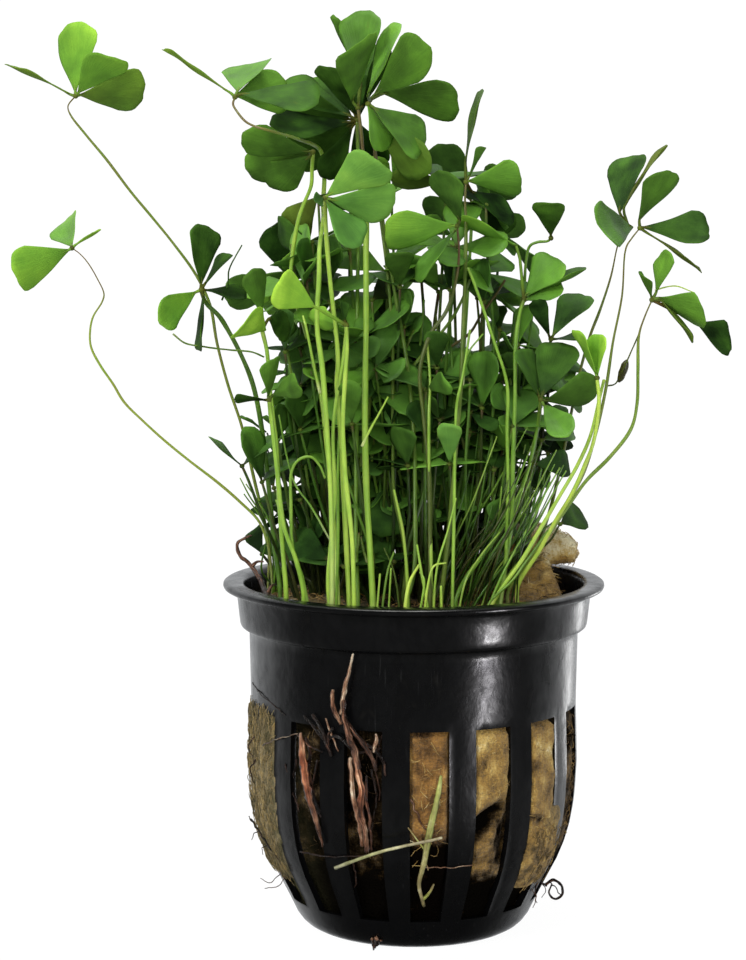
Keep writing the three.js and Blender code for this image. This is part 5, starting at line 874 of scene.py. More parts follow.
def pot_material():
    m = Mat("pot_plastic")
    obj = m.coords()
    big = m.noise(obj, 55.0, 3.0, 0.6)
    film = m.noise(m.scaled(obj, (1, 1, 0.6)), 380.0, 4.0, 0.65, 0.4)
    grain = m.noise(obj, 2600.0, 2.0, 0.5)
    # fine scuffs, mostly upright
    scr = m.noise(m.scaled(obj, (1.0, 1.0, 0.06)), 1900.0, 2.0, 0.5)
    scuff = m.math("MULTIPLY", m.range(scr, 0.66, 0.74, 0.0, 1.0, True), m.range(big, 0.45, 0.65, 0.0, 1.0, True))
    dirt = m.math("MULTIPLY", m.range(film, 0.56, 0.72, 0.0, 1.0, True), m.range(big, 0.4, 0.62, 0.15, 1.0, True))
    col = m.mix(m.math("MULTIPLY", scuff, 0.5), rgb(7, 7, 8), rgb(40, 40, 41))
    col = m.mix(m.math("MULTIPLY", dirt, 0.20), col, rgb(34, 32, 28))
    rough = m.math("ADD", m.range(film, 0.3, 0.7, 0.17, 0.25), m.math("MULTIPLY", dirt, 0.10))
    rough = m.math("ADD", rough, m.range(big, 0.35, 0.65, 0.0, 0.07))
    b = m.bump(film, 0.12, 0.0003)
    b = m.bump(m.noise(obj, 160.0, 3.0, 0.6), 0.10, 0.0010, b)
    b = m.bump(grain, 0.10, 0.00008, b)
    m.set(Base_Color=col, Roughness=rough, Normal=b)
    # a dull film that lies on it in patches; towards the foot the reflection is turned down, a painted shade that keeps
    # the foot of the pot darker
    foot = m.range(m.split(obj)[2], 0.004, 0.018, 0.55, 1.0, True)
    spec = m.math("MULTIPLY", m.range(film, 0.4, 0.62, 0.55, 0.30), m.range(big, 0.4, 0.6, 1.0, 0.75))
    m.put(m.p.inputs["Specular IOR Level"], m.math("MULTIPLY", spec, foot))
    return m.m


def wool_material(name="mineral_wool", dark=0.0):
    m = Mat(name)
    obj = m.coords()
    tone = m.attr("tone")
    fib = m.noise(m.scaled(obj, (1.0, 1.0, 3.2), (0.5, 0.3, 0.2)), 1500.0, 4.0, 0.7, 0.8)
    fib2 = m.noise(m.scaled(obj, (3.0, 1.0, 1.0), (0.2, 0.6, 0.9)), 1100.0, 4.0, 0.7, 0.8)
    lump = m.noise(obj, 260.0, 4.0, 0.6)
    fine = m.voronoi(obj, 2200.0)
    f = m.math("ADD", m.math("MULTIPLY", fib, 0.5), m.math("MULTIPLY", fib2, 0.5))
    t = m.math("ADD", tone, m.range(lump, 0.3, 0.7, -0.22, 0.20))
    t = m.math("ADD", t, m.range(f, 0.35, 0.65, -0.14, 0.14))
    col = m.ramp(t, [
        (0.0, rgb(10, 8, 6)), (0.2, rgb(46, 34, 17)), (0.4, rgb(108, 82, 40)), (0.6, rgb(162, 126, 62)),
        (0.8, rgb(206, 174, 102)), (1.0, rgb(246, 234, 196))])
    col = m.mix(m.attr("cool"), col, m.mix(0.5, col, rgb(128, 124, 90)))
    col = m.mix(m.attr("red"), col, m.mix(1.0, col, (0.92, 0.74, 0.72, 1), "MULTIPLY"))
    b = m.bump(f, 0.9, 0.0007)
    b = m.bump(fine, 0.4, 0.0003, b)
    b = m.bump(lump, 0.6, 0.0012, b)
    m.set(Base_Color=col, Roughness=m.range(lump, 0.3, 0.7, 0.78, 0.95), Normal=b)
    # Reflection and sheen fade out where the tone is low, so the painted shade in the hollows stays dark.
    m.put(m.p.inputs["Specular IOR Level"], m.range(t, 0.1, 0.45, 0.0, 0.25))
    m.put(m.p.inputs["Sheen Weight"], m.range(t, 0.1, 0.45, 0.0, 0.15))
    return m.m


def root_material():
    m = Mat("root_bark")
    obj = m.coords()
    tone = m.attr("tone")
    u, v, _ = m.split(m.coords("UV"))
    n1 = m.noise(m.join(m.math("MULTIPLY", u, 7.0), m.math("MULTIPLY", v, 4.0), m.attr("rnd")), 1.0, 4.0, 0.65, 0.3)
    n2 = m.noise(obj, 700.0, 4.0, 0.6)
    # Streaks along the root: the root's own mottling, made strong enough to stand in as painted highlights and shade on
    # the wet strands.
    t = m.math("ADD", tone, m.range(n1, 0.3, 0.7, -0.40, 0.36))
    t = m.math("ADD", t, m.range(n2, 0.3, 0.7, -0.14, 0.10))
    col = m.ramp(t, [
        (0.0, rgb(14, 10, 8)), (0.2, rgb(42, 25, 18)), (0.4, rgb(98, 62, 44)), (0.6, rgb(148, 106, 80)),
        (0.8, rgb(192, 162, 134)), (1.0, rgb(234, 222, 200))])
    col = m.mix(m.attr("red"), col, m.mix(1.0, col, (1.16, 0.68, 0.46, 1), "MULTIPLY"))
    # Painted shade: where a root turns edge-on at its sides it is darkened to dark brown.
    edge_shade = m.node("ShaderNodeLayerWeight")
    edge_shade.inputs["Blend"].default_value = 0.5
    col = m.mix(m.range(edge_shade.outputs["Facing"], 0.10, 0.66, 0.0, 0.92, True), col, rgb(30, 17, 11))
    b = m.bump(n1, 0.8, 0.0005)
    b = m.bump(n2, 0.4, 0.0002, b)
    m.set(Base_Color=col, Roughness=m.range(n2, 0.3, 0.7, 0.22, 0.50), Normal=b)
    m.p.inputs["Specular IOR Level"].default_value = 0.6
    return m.m


def dry_material():
    """Stalks that lie outside the pot: olive green that fades to straw."""
    m = Mat("dry_stalk_skin")
    obj = m.coords()
    tone, along = m.attr("tone"), m.attr("along")
    u, v, _ = m.split(m.coords("UV"))
    n1 = m.noise(m.join(m.math("MULTIPLY", u, 6.0), m.math("MULTIPLY", v, 3.0), m.attr("rnd")), 1.0, 4.0, 0.65, 0.3)
    n2 = m.noise(obj, 500.0, 4.0, 0.6)
    green = m.ramp(n2, [(0.3, rgb(112, 120, 44)), (0.55, rgb(168, 176, 80)), (0.75, rgb(206, 210, 124))])
    straw = m.ramp(n2, [(0.3, rgb(92, 74, 44)), (0.55, rgb(150, 130, 86)), (0.75, rgb(206, 194, 156))])
    k = m.math("ADD", m.range(v, 0.25, 0.85, 0.0, 0.8, True), m.range(n1, 0.35, 0.7, 0.0, 0.35))
    col = m.mix(k, green, straw)
    col = m.mix(m.range(n1, 0.55, 0.75, 0.0, 0.6), col, rgb(66, 44, 26))
    col = m.mix(m.range(tone, 0.7, 1.0, 0.0, 0.7), col, m.ramp(n2, [(0.3, rgb(120, 116, 96)), (0.7, rgb(214, 212, 194))]))
    # Painted shade: where the stalk turns edge-on at its sides it is darkened to dark olive.
    edge_shade = m.node("ShaderNodeLayerWeight")
    edge_shade.inputs["Blend"].default_value = 0.5
    col = m.mix(m.range(edge_shade.outputs["Facing"], 0.20, 0.85, 0.08, 0.70, True), col, rgb(58, 56, 22))
    b = m.bump(n1, 0.5, 0.0003)
    m.set(Base_Color=col, Roughness=m.range(n2, 0.3, 0.7, 0.3, 0.55), Normal=b)
    m.p.inputs["Specular IOR Level"].default_value = 0.5
    m.p.inputs["Subsurface Weight"].default_value = 0.15
    m.p.inputs["Subsurface Radius"].default_value = (0.8, 0.9, 0.4)
    m.p.inputs["Subsurface Scale"].default_value = 0.0007
    return m.m


LEAF = leaf_material()
STEM = stem_material()
POT = pot_material()
WOOL = wool_material()
ROOT = root_material()
DRY = dry_material()

# ------------------------------------------------------------------ fronds that can be told apart
def frond(fid, f):
    hub = np.array(f["hub"], float)
    tone, red, reach, brown, girth = STEM_LOOK[fid]
    pts = [hub] + [np.array(p, float) for p in f["stem"]]
    up = unit(hub - pts[min(3, len(pts) - 1)])
    # drop a first point that sits on the hub
    while len(pts) > 2 and np.linalg.norm(pts[1] - pts[0]) < 0.35:
        pts.pop(1)
    foot = pts[-1].copy()
    pts[-1] = np.array([foot[0], foot[1], 46.9])
    d = unit(pts[-1] - pts[-2])
    pts.append(pts[-1] + np.array([d[0] * 1.2, d[1] * 1.2, -2.2]))
    path = smooth_path(pts[::-1], 6)
    s = np.linspace(0, 1, len(path))
    if fid == "04":                       # goes behind the leaves for a stretch
        z = path[:, 2]
        a, c = np.clip((z - 97) / 6, 0, 1), np.clip((114.2 - z) / 2.4, 0, 1)
        path[:, 1] += 20 * a * a * (3 - 2 * a) * c * c * (3 - 2 * c)
    rb, rt = f["r"]
    rad = (rb + (rt - rb) * s ** 0.8) * girth
    if reach > 0.15:                      # the red part is thinner
        rad = rad * (1 - 0.42 * np.clip((s - (1 - reach)) / (0.5 * reach), 0, 1))
    slim = {"01": 0.6, "02": 0.6, "03": 0.6, "22": 0.55, "23": 0.9, "10": 0.62, "21": 0.7, "04": 0.8, "06": 0.75, "13": 0.7,
            "19": 0.62, "18": 0.7, "12": 0.7, "15": 0.7, "20": 0.75}.get(fid, 0.8)
    rad = rad * (slim + (1 - slim) * np.clip(s / 0.22, 0, 1) ** 0.8)
    rad = rad * (1 + 0.06 * np.sin(s * 23 + hub[0]) + 0.04 * np.sin(s * 61 + hub[2]))
    b = Build()
    sweep(b, path, rad, 9, tone=tone, red=red, reach=reach, brown=brown, rnd=(hub[0] * 0.37) % 1.0)
    b.make("frond_stem_" + fid, STEM, "stem", ["stem_" + fid])
    b = Build()
    seed = 100 + int(fid) * 17
    rng = np.random.default_rng(seed)
    for k, lf in enumerate(f["leaves"]):
        B = np.array(lf["B"], float)
        t, w = np.array(lf["t"], float), np.array(lf["w"], float)
        roll = lf.get("roll", 0.0)
        if roll:
            w = w * math.cos(roll) + np.cross(t, w) * math.sin(roll)
        L, hw = lf["L"], lf["hw"]
        start = B + t * 0.045 * L
        path2 = smooth_path([hub, start, B + t * 0.15 * L], 3)
        sweep(b, path2, np.linspace(0.26, 0.14, len(path2)), 7, tone=lf["tone"], rnd=0.3, brown=0.6)
        narrow = hw < 2.4
        leaflet(b, B, t, w, L, hw, lf["tone"], up, seed + k, cup=rng.uniform(0.02, 0.20), bend=rng.uniform(-0.04, 0.12),
                fold=rng.uniform(0, 0.10) + (0.25 if narrow else 0.0), cool=lf.get("cool", COOL.get(fid, 0.05)), brown=lf["brown"])
    knot(b, hub, 0.42, up, 0.9, tone=0.30, rnd=0.5, brown=0.8)
    b.make("frond_leaf_" + fid, LEAF, "leaf", ["leaf_" + fid])


for fid, f in FRONDS.items():
    frond(fid, f)

# ------------------------------------------------------------------ inner growth
SHAPE = [(262, 604), (246, 500), (238, 430), (240, 300), (262, 262), (280, 205), (262, 175), (262, 130), (290, 88), (345, 66),
         (398, 60), (432, 120), (445, 165), (520, 168), (528, 235), (560, 270), (552, 330), (598, 372), (598, 430),
         (566, 500), (552, 600)]
GAPS = [(392, 186, 429, 214), (428, 286, 452, 325), (452, 290, 482, 338), (506, 382, 527, 408), (366, 220, 393, 262),
        (303, 207, 334, 232), (520, 170, 600, 250), (530, 524, 590, 606), (498, 566, 532, 606),
        (440, 60, 480, 165), (343, 256, 357, 332)]


def inside(p, poly=SHAPE):
    x, y = p
    c = False
    j = len(poly) - 1
    for i in range(len(poly)):
        xi, yi = poly[i]
        xj, yj = poly[j]
        if (yi > y) != (yj > y) and x < (xj - xi) * (y - yi) / (yj - yi) + xi:
            c = not c
        j = i
    return c


HOLLOW = [(374, 395, 400, 606), (262, 574, 300, 606)]


def in_hollow(points):
    return any(a <= p[0] <= c and b <= p[1] <= d for p in project(points) for a, b, c, d in HOLLOW)


def clear_view(points, gaps=True):
    for p in project(points):
        if not inside(p):
            return False
        if gaps and any(a <= p[0] <= c and b <= p[1] <= d for a, b, c, d in GAPS):
            return False
    return True


def blob(p):
    """Less than 1 inside the inner growth."""
    h = np.clip((p[2] - 48.9) / 68.6, 0, 1)
    k = 0.68 + 0.52 * h - 0.16 * h * h
    return ((p[0] - 1.5) / (25.5 * k)) ** 2 + ((p[1] - 9) / (18 * k)) ** 2 + ((p[2] - 83.2) / 34.3) ** 2


def to_wool(hub, rng, spread=0.72, lean=2.0, back=-99.0):
    x = hub[0] * spread + rng.normal(0, lean)
    y = max(hub[1] * spread + rng.normal(0, lean), back + abs(rng.normal(0, 2.5)))
    r = math.hypot(x, y)
    if r > 20.3:
        x, y = x * 20.3 / r, y * 20.3 / r
    return np.array([x, y, 46.6])


def stalk(b, hub, foot, rng, rb, rt, tone, red=0.2, brown=0.0, bow=1.0, sides=6):
    d = hub - foot
    side = unit(np.cross(d, [0, 0, 1.0]) + rng.normal(0, 0.3, 3))
    a1, a2 = rng.normal(0, bow, 2)
    p = [foot - np.array([0, 0, 1.8]), foot, foot + d * 0.3 + side * a1 + np.array([0, 0, 1.5]),
         foot + d * 0.65 + side * (a1 + a2) * 0.6, foot + d * 0.9 + side * a2 * 0.25, hub]
    path = smooth_path(p, 4)
    s = np.linspace(0, 1, len(path))
    # Painted shade: each stalk darkens towards its foot, down among the other stems.
    q = np.clip((path[:, 2] - 49) / 17, 0, 1)
    tt = tone * (0.25 + 0.75 * q * q * (3 - 2 * q))
    sweep(b, path, rb + (rt - rb) * s, sides, tone=np.concatenate([np.repeat(tt, sides), [tt[0], tt[-1]]]), red=red, brown=brown,
          rnd=rng.uniform())


bl, bw, bs = Build(), Build(), Build()
rng = np.random.default_rng(4)
count = 0
for k, (B, t, w, L, hw, tone, cool, brown, own) in enumerate(INNER):
    B, t = np.array(B), np.array(t)
    foot = to_wool(B, rng, 0.66 + 0.1 * rng.uniform())
    up = unit(B - foot)
    leaflet(bl, B, t, w, L, hw, tone, up if abs(up @ np.cross(t, w)) > 0.2 else [0, -0.6, 1], 900 + k, 11, 9,
            cup=rng.uniform(0.02, 0.18), bend=rng.uniform(0, 0.08), cool=cool, brown=brown)
    knot(bl, B, 0.4, up, tone=0.3, brown=0.5)
    # its sisters point away from the viewer
    for q in range(2):
        ph = rng.uniform(0.2, 2.9)
        tt = unit([math.cos(ph) * 0.8, 0.75 + rng.uniform(-0.2, 0.3), rng.uniform(-0.2, 0.5)])
        ww = unit(np.cross(up, tt))
        LL, hh = rng.uniform(8.0, 10.0), rng.uniform(2.8, 3.5)
        if clear_view([B + tt * LL, B + tt * LL * 0.8 + ww * hh, B + tt * LL * 0.8 - ww * hh]):
            leaflet(bl, B, tt, ww, LL, hh, tone * 0.8 + 0.06, up, 1200 + 7 * k + q, 11, 9, cup=rng.uniform(0.05, 0.15),
                    bend=rng.uniform(0, 0.1), cool=0.3)
    st = (rng.uniform(0.26, 0.36), rng.uniform(0.2, 0.5), rng.uniform(0, 0.4))
    if own:
        stalk(bs, B, foot, rng, st[0], 0.2, st[1], 0.5, st[2], 0.8)
    else:                                  # sprouts from the stems beside it
        end = B + np.array([-3.2, 1.0, -4.0])
        sweep(bs, smooth_path([end, (B + end) / 2 + [0.2, 0, -0.5], B], 4), np.linspace(0.2, 0.14, 9), 6, tone=0.2, brown=0.5)
    count += 1

placed = []
tries = 0
while len(placed) < 66 and tries < 8000:
    tries += 1
    ph, rr = rng.uniform(0, 2 * math.pi), math.sqrt(rng.uniform(0.02, 1.0))
    z = rng.uniform(64, 112)
    h = (z - 48.9) / 68.6
    k = 0.68 + 0.52 * h - 0.16 * h * h
    hub = np.array([1.5 + 24 * k * rr * math.cos(ph), 9 + 16.5 * k * rr * math.sin(ph), z])
    if blob(hub) > 0.92 or hub[1] < -1.5 or (z > 98 and hub[1] < 12):
        continue
    if placed and min(np.linalg.norm((hub - q) * [1, 1, 0.8]) for q in placed) < 5.8:
        continue
    out = np.array([(hub[0] - 1.5) / 24, (hub[1] - 9) / 17, 0])
    axis = unit(np.array([0, -0.45 if hub[1] < 16 else 0.0, 1.0]) + out * rng.uniform(0.3, 1.4) + rng.normal(0, 0.28, 3))
    u = unit(np.cross(axis, [0.2, 1, 0.1]))
    v = np.cross(axis, u)
    spin = rng.uniform(0, math.pi / 2)
    cup = rng.uniform(0.05, 0.65)
    L = rng.uniform(8.2, 10.6)
    hw = L * rng.uniform(0.31, 0.37)
    leaves = []
    for q in range(4):
        a = spin + q * math.pi / 2 + rng.normal(0, 0.12)
        rad = u * math.cos(a) + v * math.sin(a)
        c2 = cup + rng.normal(0, 0.15)
        t = unit(rad * math.cos(c2) + axis * math.sin(c2))
        w = unit(np.cross(axis, rad) + rng.normal(0, 0.16, 3))
        leaves.append((t, w, L * rng.uniform(0.9, 1.05), hw))
    pts = []
    for t, w, l, q in leaves:
        pts += [hub + t * l, hub + t * l * 0.8 + w * q, hub + t * l * 0.8 - w * q, hub + t * l * 0.5]
    if not clear_view(pts):
        continue
    if max(blob(p) for p in pts) > 1.35:
        continue
    placed.append(hub)
    # Painted light and shade: fronds further back and higher up get lighter tones, those low in the middle darker.
    depth = np.clip((hub[1] - 6) / 18, 0, 1)
    high = np.clip((hub[2] - 70) / 40, 0, 1)
    tone = 0.32 + 0.16 * depth + 0.14 * high + rng.uniform(-0.12, 0.16)
    for j, (t, w, l, q) in enumerate(leaves):
        leaflet(bw, hub, t, w, l, q, tone + rng.uniform(-0.05, 0.05), axis, 2000 + 11 * len(placed) + j, 11, 8,
                cup=rng.uniform(0.04, 0.16), bend=rng.uniform(0, 0.1), fold=rng.uniform(0, 0.1), cool=rng.uniform(0, 0.4))
    knot(bl, hub, 0.42, axis, tone=0.3, brown=0.5)
    foot = to_wool(np.array([hub[0], hub[1], 0]), rng, rng.uniform(0.5, 0.85), back=2.0)
    stalk(bs, hub - axis * 0.2, foot, rng, rng.uniform(0.26, 0.40), rng.uniform(0.18, 0.26),
          0.30 + 0.16 * depth + rng.uniform(-0.10, 0.25), 0.7, rng.uniform(0, 0.6), 1.2)
print("inner fronds:", len(placed), "tries", tries)

for k, (pts, ra, rb, tone, red, brown) in enumerate(STALKS):
    pts = [np.array(p) for p in pts]
    if pts[0][2] < 52:
        pts[0][2] = min(pts[0][2], 46.8)
        rr = math.hypot(pts[0][0], pts[0][1])
        if rr > 20.6:
            pts[0][:2] *= 20.6 / rr
        d = unit(pts[0] - pts[1])
        pts.insert(0, pts[0] + np.array([d[0] * 0.8, d[1] * 0.8, -2.0]))
    path = smooth_path(pts, 6)
    s = np.linspace(0, 1, len(path))
    sweep(bs, path, (ra + (rb - ra) * s) * 0.82 * (1 + 0.06 * np.sin(s * 19 + k)), 7, tone=tone, red=red, brown=brown,
          rnd=(k * 0.37) % 1)
for k, (pts, ra, rb, tone, brown) in enumerate(TWIGS):
    path = smooth_path(pts, 6)
    sweep(bs, path, np.linspace(ra, rb, len(path)), 6, knob=0.3, tone=tone, brown=brown, rnd=0.1 * k)
b0, b1 = np.array(BUD[0]), np.array(BUD[1])
path = np.array([b0 + (b1 - b0) * q for q in np.linspace(0, 1, 9)])
sweep(bs, path, 0.50 * np.sqrt(np.clip(1 - (np.linspace(-0.96, 0.96, 9)) ** 2, 0, 1)) * 1.25, 10, knob=0.25, tone=0.12, brown=0.55)

# a thicket of thin short stalks round the foot, some with a small folded leaflet
for k in range(150):
    ph = rng.uniform(0, 2 * math.pi)
    rr = math.sqrt(rng.uniform(0.05, 1.0))
    foot = np.array([19.6 * rr * math.cos(ph), 18.8 * rr * math.sin(ph), 46.6])
    if foot[1] < -3 and rng.uniform() < 0.8:
        continue
    h = rng.uniform(6, 30)
    right = 1.0 if foot[0] > -2 else -0.55
    lean = np.array([foot[0] * 0.022 * h + right * rng.uniform(0, 0.22) * h, foot[1] * 0.012 * h, 0])
    top = foot + lean + np.array([rng.normal(0, 1.2), rng.normal(0, 1.0), h])
    if not clear_view([foot * 0.9 + top * 0.1, foot * 0.5 + top * 0.5, foot * 0.25 + top * 0.75, top]):
        continue
    if blob(top) > 1.6 or in_hollow([foot, foot * 0.7 + top * 0.3, foot * 0.4 + top * 0.6, top]):
        continue
    # Painted shade: stalks further back are darker, those at the front lighter.
    front = np.clip((4 - foot[1]) / 20, 0, 1)
    tone = 0.06 + 0.50 * front * rng.uniform(0.1, 1.0) ** 1.8 + rng.uniform(0, 0.10)
    stalk(bs, top, foot, rng, rng.uniform(0.12, 0.24), rng.uniform(0.09, 0.15), tone, 0.1,
          max(0.0, rng.uniform(-0.4, 0.7)), 1.0, 5)
    if rng.uniform() < 0.55 and foot[1] > -8:
        ax = unit(top - foot)
        g = rng.uniform(0, 2 * math.pi)
        tt = unit(np.array([math.cos(g), math.sin(g), rng.uniform(0.2, 1.2)]))
        ww = unit(np.cross(ax + rng.normal(0, 0.4, 3), tt))
        LL = rng.uniform(3.2, 6.4)
        if clear_view([top + tt * LL]):
            leaflet(bw, top, tt, ww, LL, LL * rng.uniform(0.12, 0.34), 0.10 + 0.3 * rng.uniform(), ax, 5000 + k, 9, 7,
                    cup=rng.uniform(0.1, 0.3), bend=rng.uniform(0, 0.2), cool=0.3)

# low fronds behind the stems
low = []
tries = 0
while len(low) < 124 and tries < 12000:
    tries += 1
    ph, rr = rng.uniform(0, 2 * math.pi), math.sqrt(rng.uniform(0.0, 1.0))
    z = rng.uniform(51.5, 85)
    k2 = 0.78 + 0.3 * (z - 50) / 50
    hub = np.array([1.0 + 20 * k2 * rr * math.cos(ph), 9 + 15.0 * k2 * rr * math.sin(ph), z])
    if len(low) >= 84:                     # more of them on the left, low down
        hub = np.array([rng.uniform(-18.5, -3), rng.uniform(0, 16), rng.uniform(52, 80)])
    if hub[1] < -3.0 or (low and min(np.linalg.norm(hub - q) for q in low) < (4.0 if len(low) < 84 else 3.3)):
        continue
    axis = unit(np.array([hub[0] / 40, (hub[1] - 9) / 40 - (0.75 if hub[1] < 14 else 0.0), 1.0]) + rng.normal(0, 0.35, 3))
    u = unit(np.cross(axis, [0.2, 1, 0.1]))
    v = np.cross(axis, u)
    spin, cup, L = rng.uniform(0, 1.6), rng.uniform(0.0, 0.8), rng.uniform(5.0, 8.4)
    pts, lv = [], []
    for q in range(int(rng.integers(3, 5))):
        a = spin + q * math.pi / 2 + rng.normal(0, 0.15)
        rad = u * math.cos(a) + v * math.sin(a)
        t = unit(rad * math.cos(cup) + axis * math.sin(cup))
        w = unit(np.cross(axis, rad) + rng.normal(0, 0.2, 3))
        hw = L * rng.uniform(0.28, 0.38)
        lv.append((t, w, L * rng.uniform(0.85, 1.05), hw))
        pts += [hub + t * L, hub + t * L * 0.8 + w * hw, hub + t * L * 0.8 - w * hw]
    if not clear_view(pts) or max(blob(p) for p in pts) > 1.3:
        continue
    low.append(hub)
    # Painted shade: fronds low down, under 66 mm, are darker; those further back a little lighter.
    tone = rng.uniform(0.12, 0.58) * (0.65 if z < 66 else 1.0) + 0.06 * np.clip(hub[1] / 25, 0, 1)
    for j, (t, w, l, hw) in enumerate(lv):
        leaflet(bw, hub, t, w, l, hw, tone, axis, 7000 + 9 * len(low) + j, 9, 7, cup=rng.uniform(0.05, 0.2),
                bend=rng.uniform(0, 0.15), fold=rng.uniform(0, 0.12), cool=rng.uniform(0, 0.5))
    knot(bl, hub, 0.36, axis, tone=0.3, brown=0.5)
    foot = to_wool(np.array([hub[0], hub[1], 0]), rng, rng.uniform(0.6, 0.9), back=1.0)
    stalk(bs, hub - axis * 0.2, foot, rng, rng.uniform(0.22, 0.34), rng.uniform(0.16, 0.22), rng.uniform(0.25, 0.62), 0.5,
          rng.uniform(0, 0.5), 1.0)
print("low fronds:", len(low))

# bare stalks, some broken off
for k in range(54):
    ph, rr = rng.uniform(0, 2 * math.pi), math.sqrt(rng.uniform(0.0, 1.0))
    foot = np.array([19.5 * rr * math.cos(ph), 18.5 * rr * math.sin(ph), 46.6])
    if foot[1] < -1 and rng.uniform() < 0.85:
        continue
    h = rng.uniform(14, 52)
    top = foot + np.array([foot[0] * 0.012 * h + rng.normal(0, 2.2), foot[1] * 0.010 * h + rng.normal(0, 1.6), h])
    if not clear_view([foot * 0.9 + top * 0.1, foot * 0.5 + top * 0.5, foot * 0.25 + top * 0.75, top]):
        continue
    if in_hollow([foot, foot * 0.8 + top * 0.2, foot * 0.6 + top * 0.4, foot * 0.4 + top * 0.6, foot * 0.2 + top * 0.8, top]):
        continue
    # Painted shade: bare stalks further back are darker than those at the front.
    front = foot[1] < -6
    stalk(bs, top, foot, rng, rng.uniform(0.22, 0.34), rng.uniform(0.14, 0.22),
          rng.uniform(0.20, 0.62) + (0.12 if front else 0), 0.3, max(0.0, rng.uniform(-0.3, 0.6)), 1.3)
# thin blades that lean to the right, in front of the lump of wool
for k in range(84):
    x, y = rng.uniform(2.5, 15.5), rng.uniform(-11, 3.5)
    foot = np.array([x, y, 46.6])
    h = rng.uniform(8, 27)
    top = foot + np.array([h * rng.uniform(0.12, 0.62) * (1.15 - 0.02 * x), rng.normal(0, 1.0), h])
    if not clear_view([foot * 0.5 + top * 0.5, foot * 0.25 + top * 0.75, top]):
        continue
    stalk(bs, top, foot, rng, rng.uniform(0.11, 0.20), rng.uniform(0.07, 0.12), rng.uniform(0.22, 0.78), 0.0,
          max(0.0, rng.uniform(-0.8, 0.5)), 1.2, 5)

bl.make("inner_leaves", LEAF, "leaf", ["inner_growth"])
bw.make("inner_fronds", LEAF, "leaf", ["inner_growth"])
bs.make("inner_stems", STEM, "stem", ["inner_growth"])

# ------------------------------------------------------------------ pot
def outer_r(z):
    zs = [0, 0.5, 1.1, 1.9, 4.1, 7.1, 10, 12.5, 15, 17.5, 19.5, 24, 29, 33, 38, 43.0]
    rs = [15.0, 15.9, 16.5, 17.05, 18.1, 19.6, 21.1, 22.1, 22.8, 23.25, 23.5, 23.75, 23.62, 23.5, 23.6, 23.7]
    return np.interp(z, zs, rs)


SLOT0, SLOT1 = 4.5, 32.5


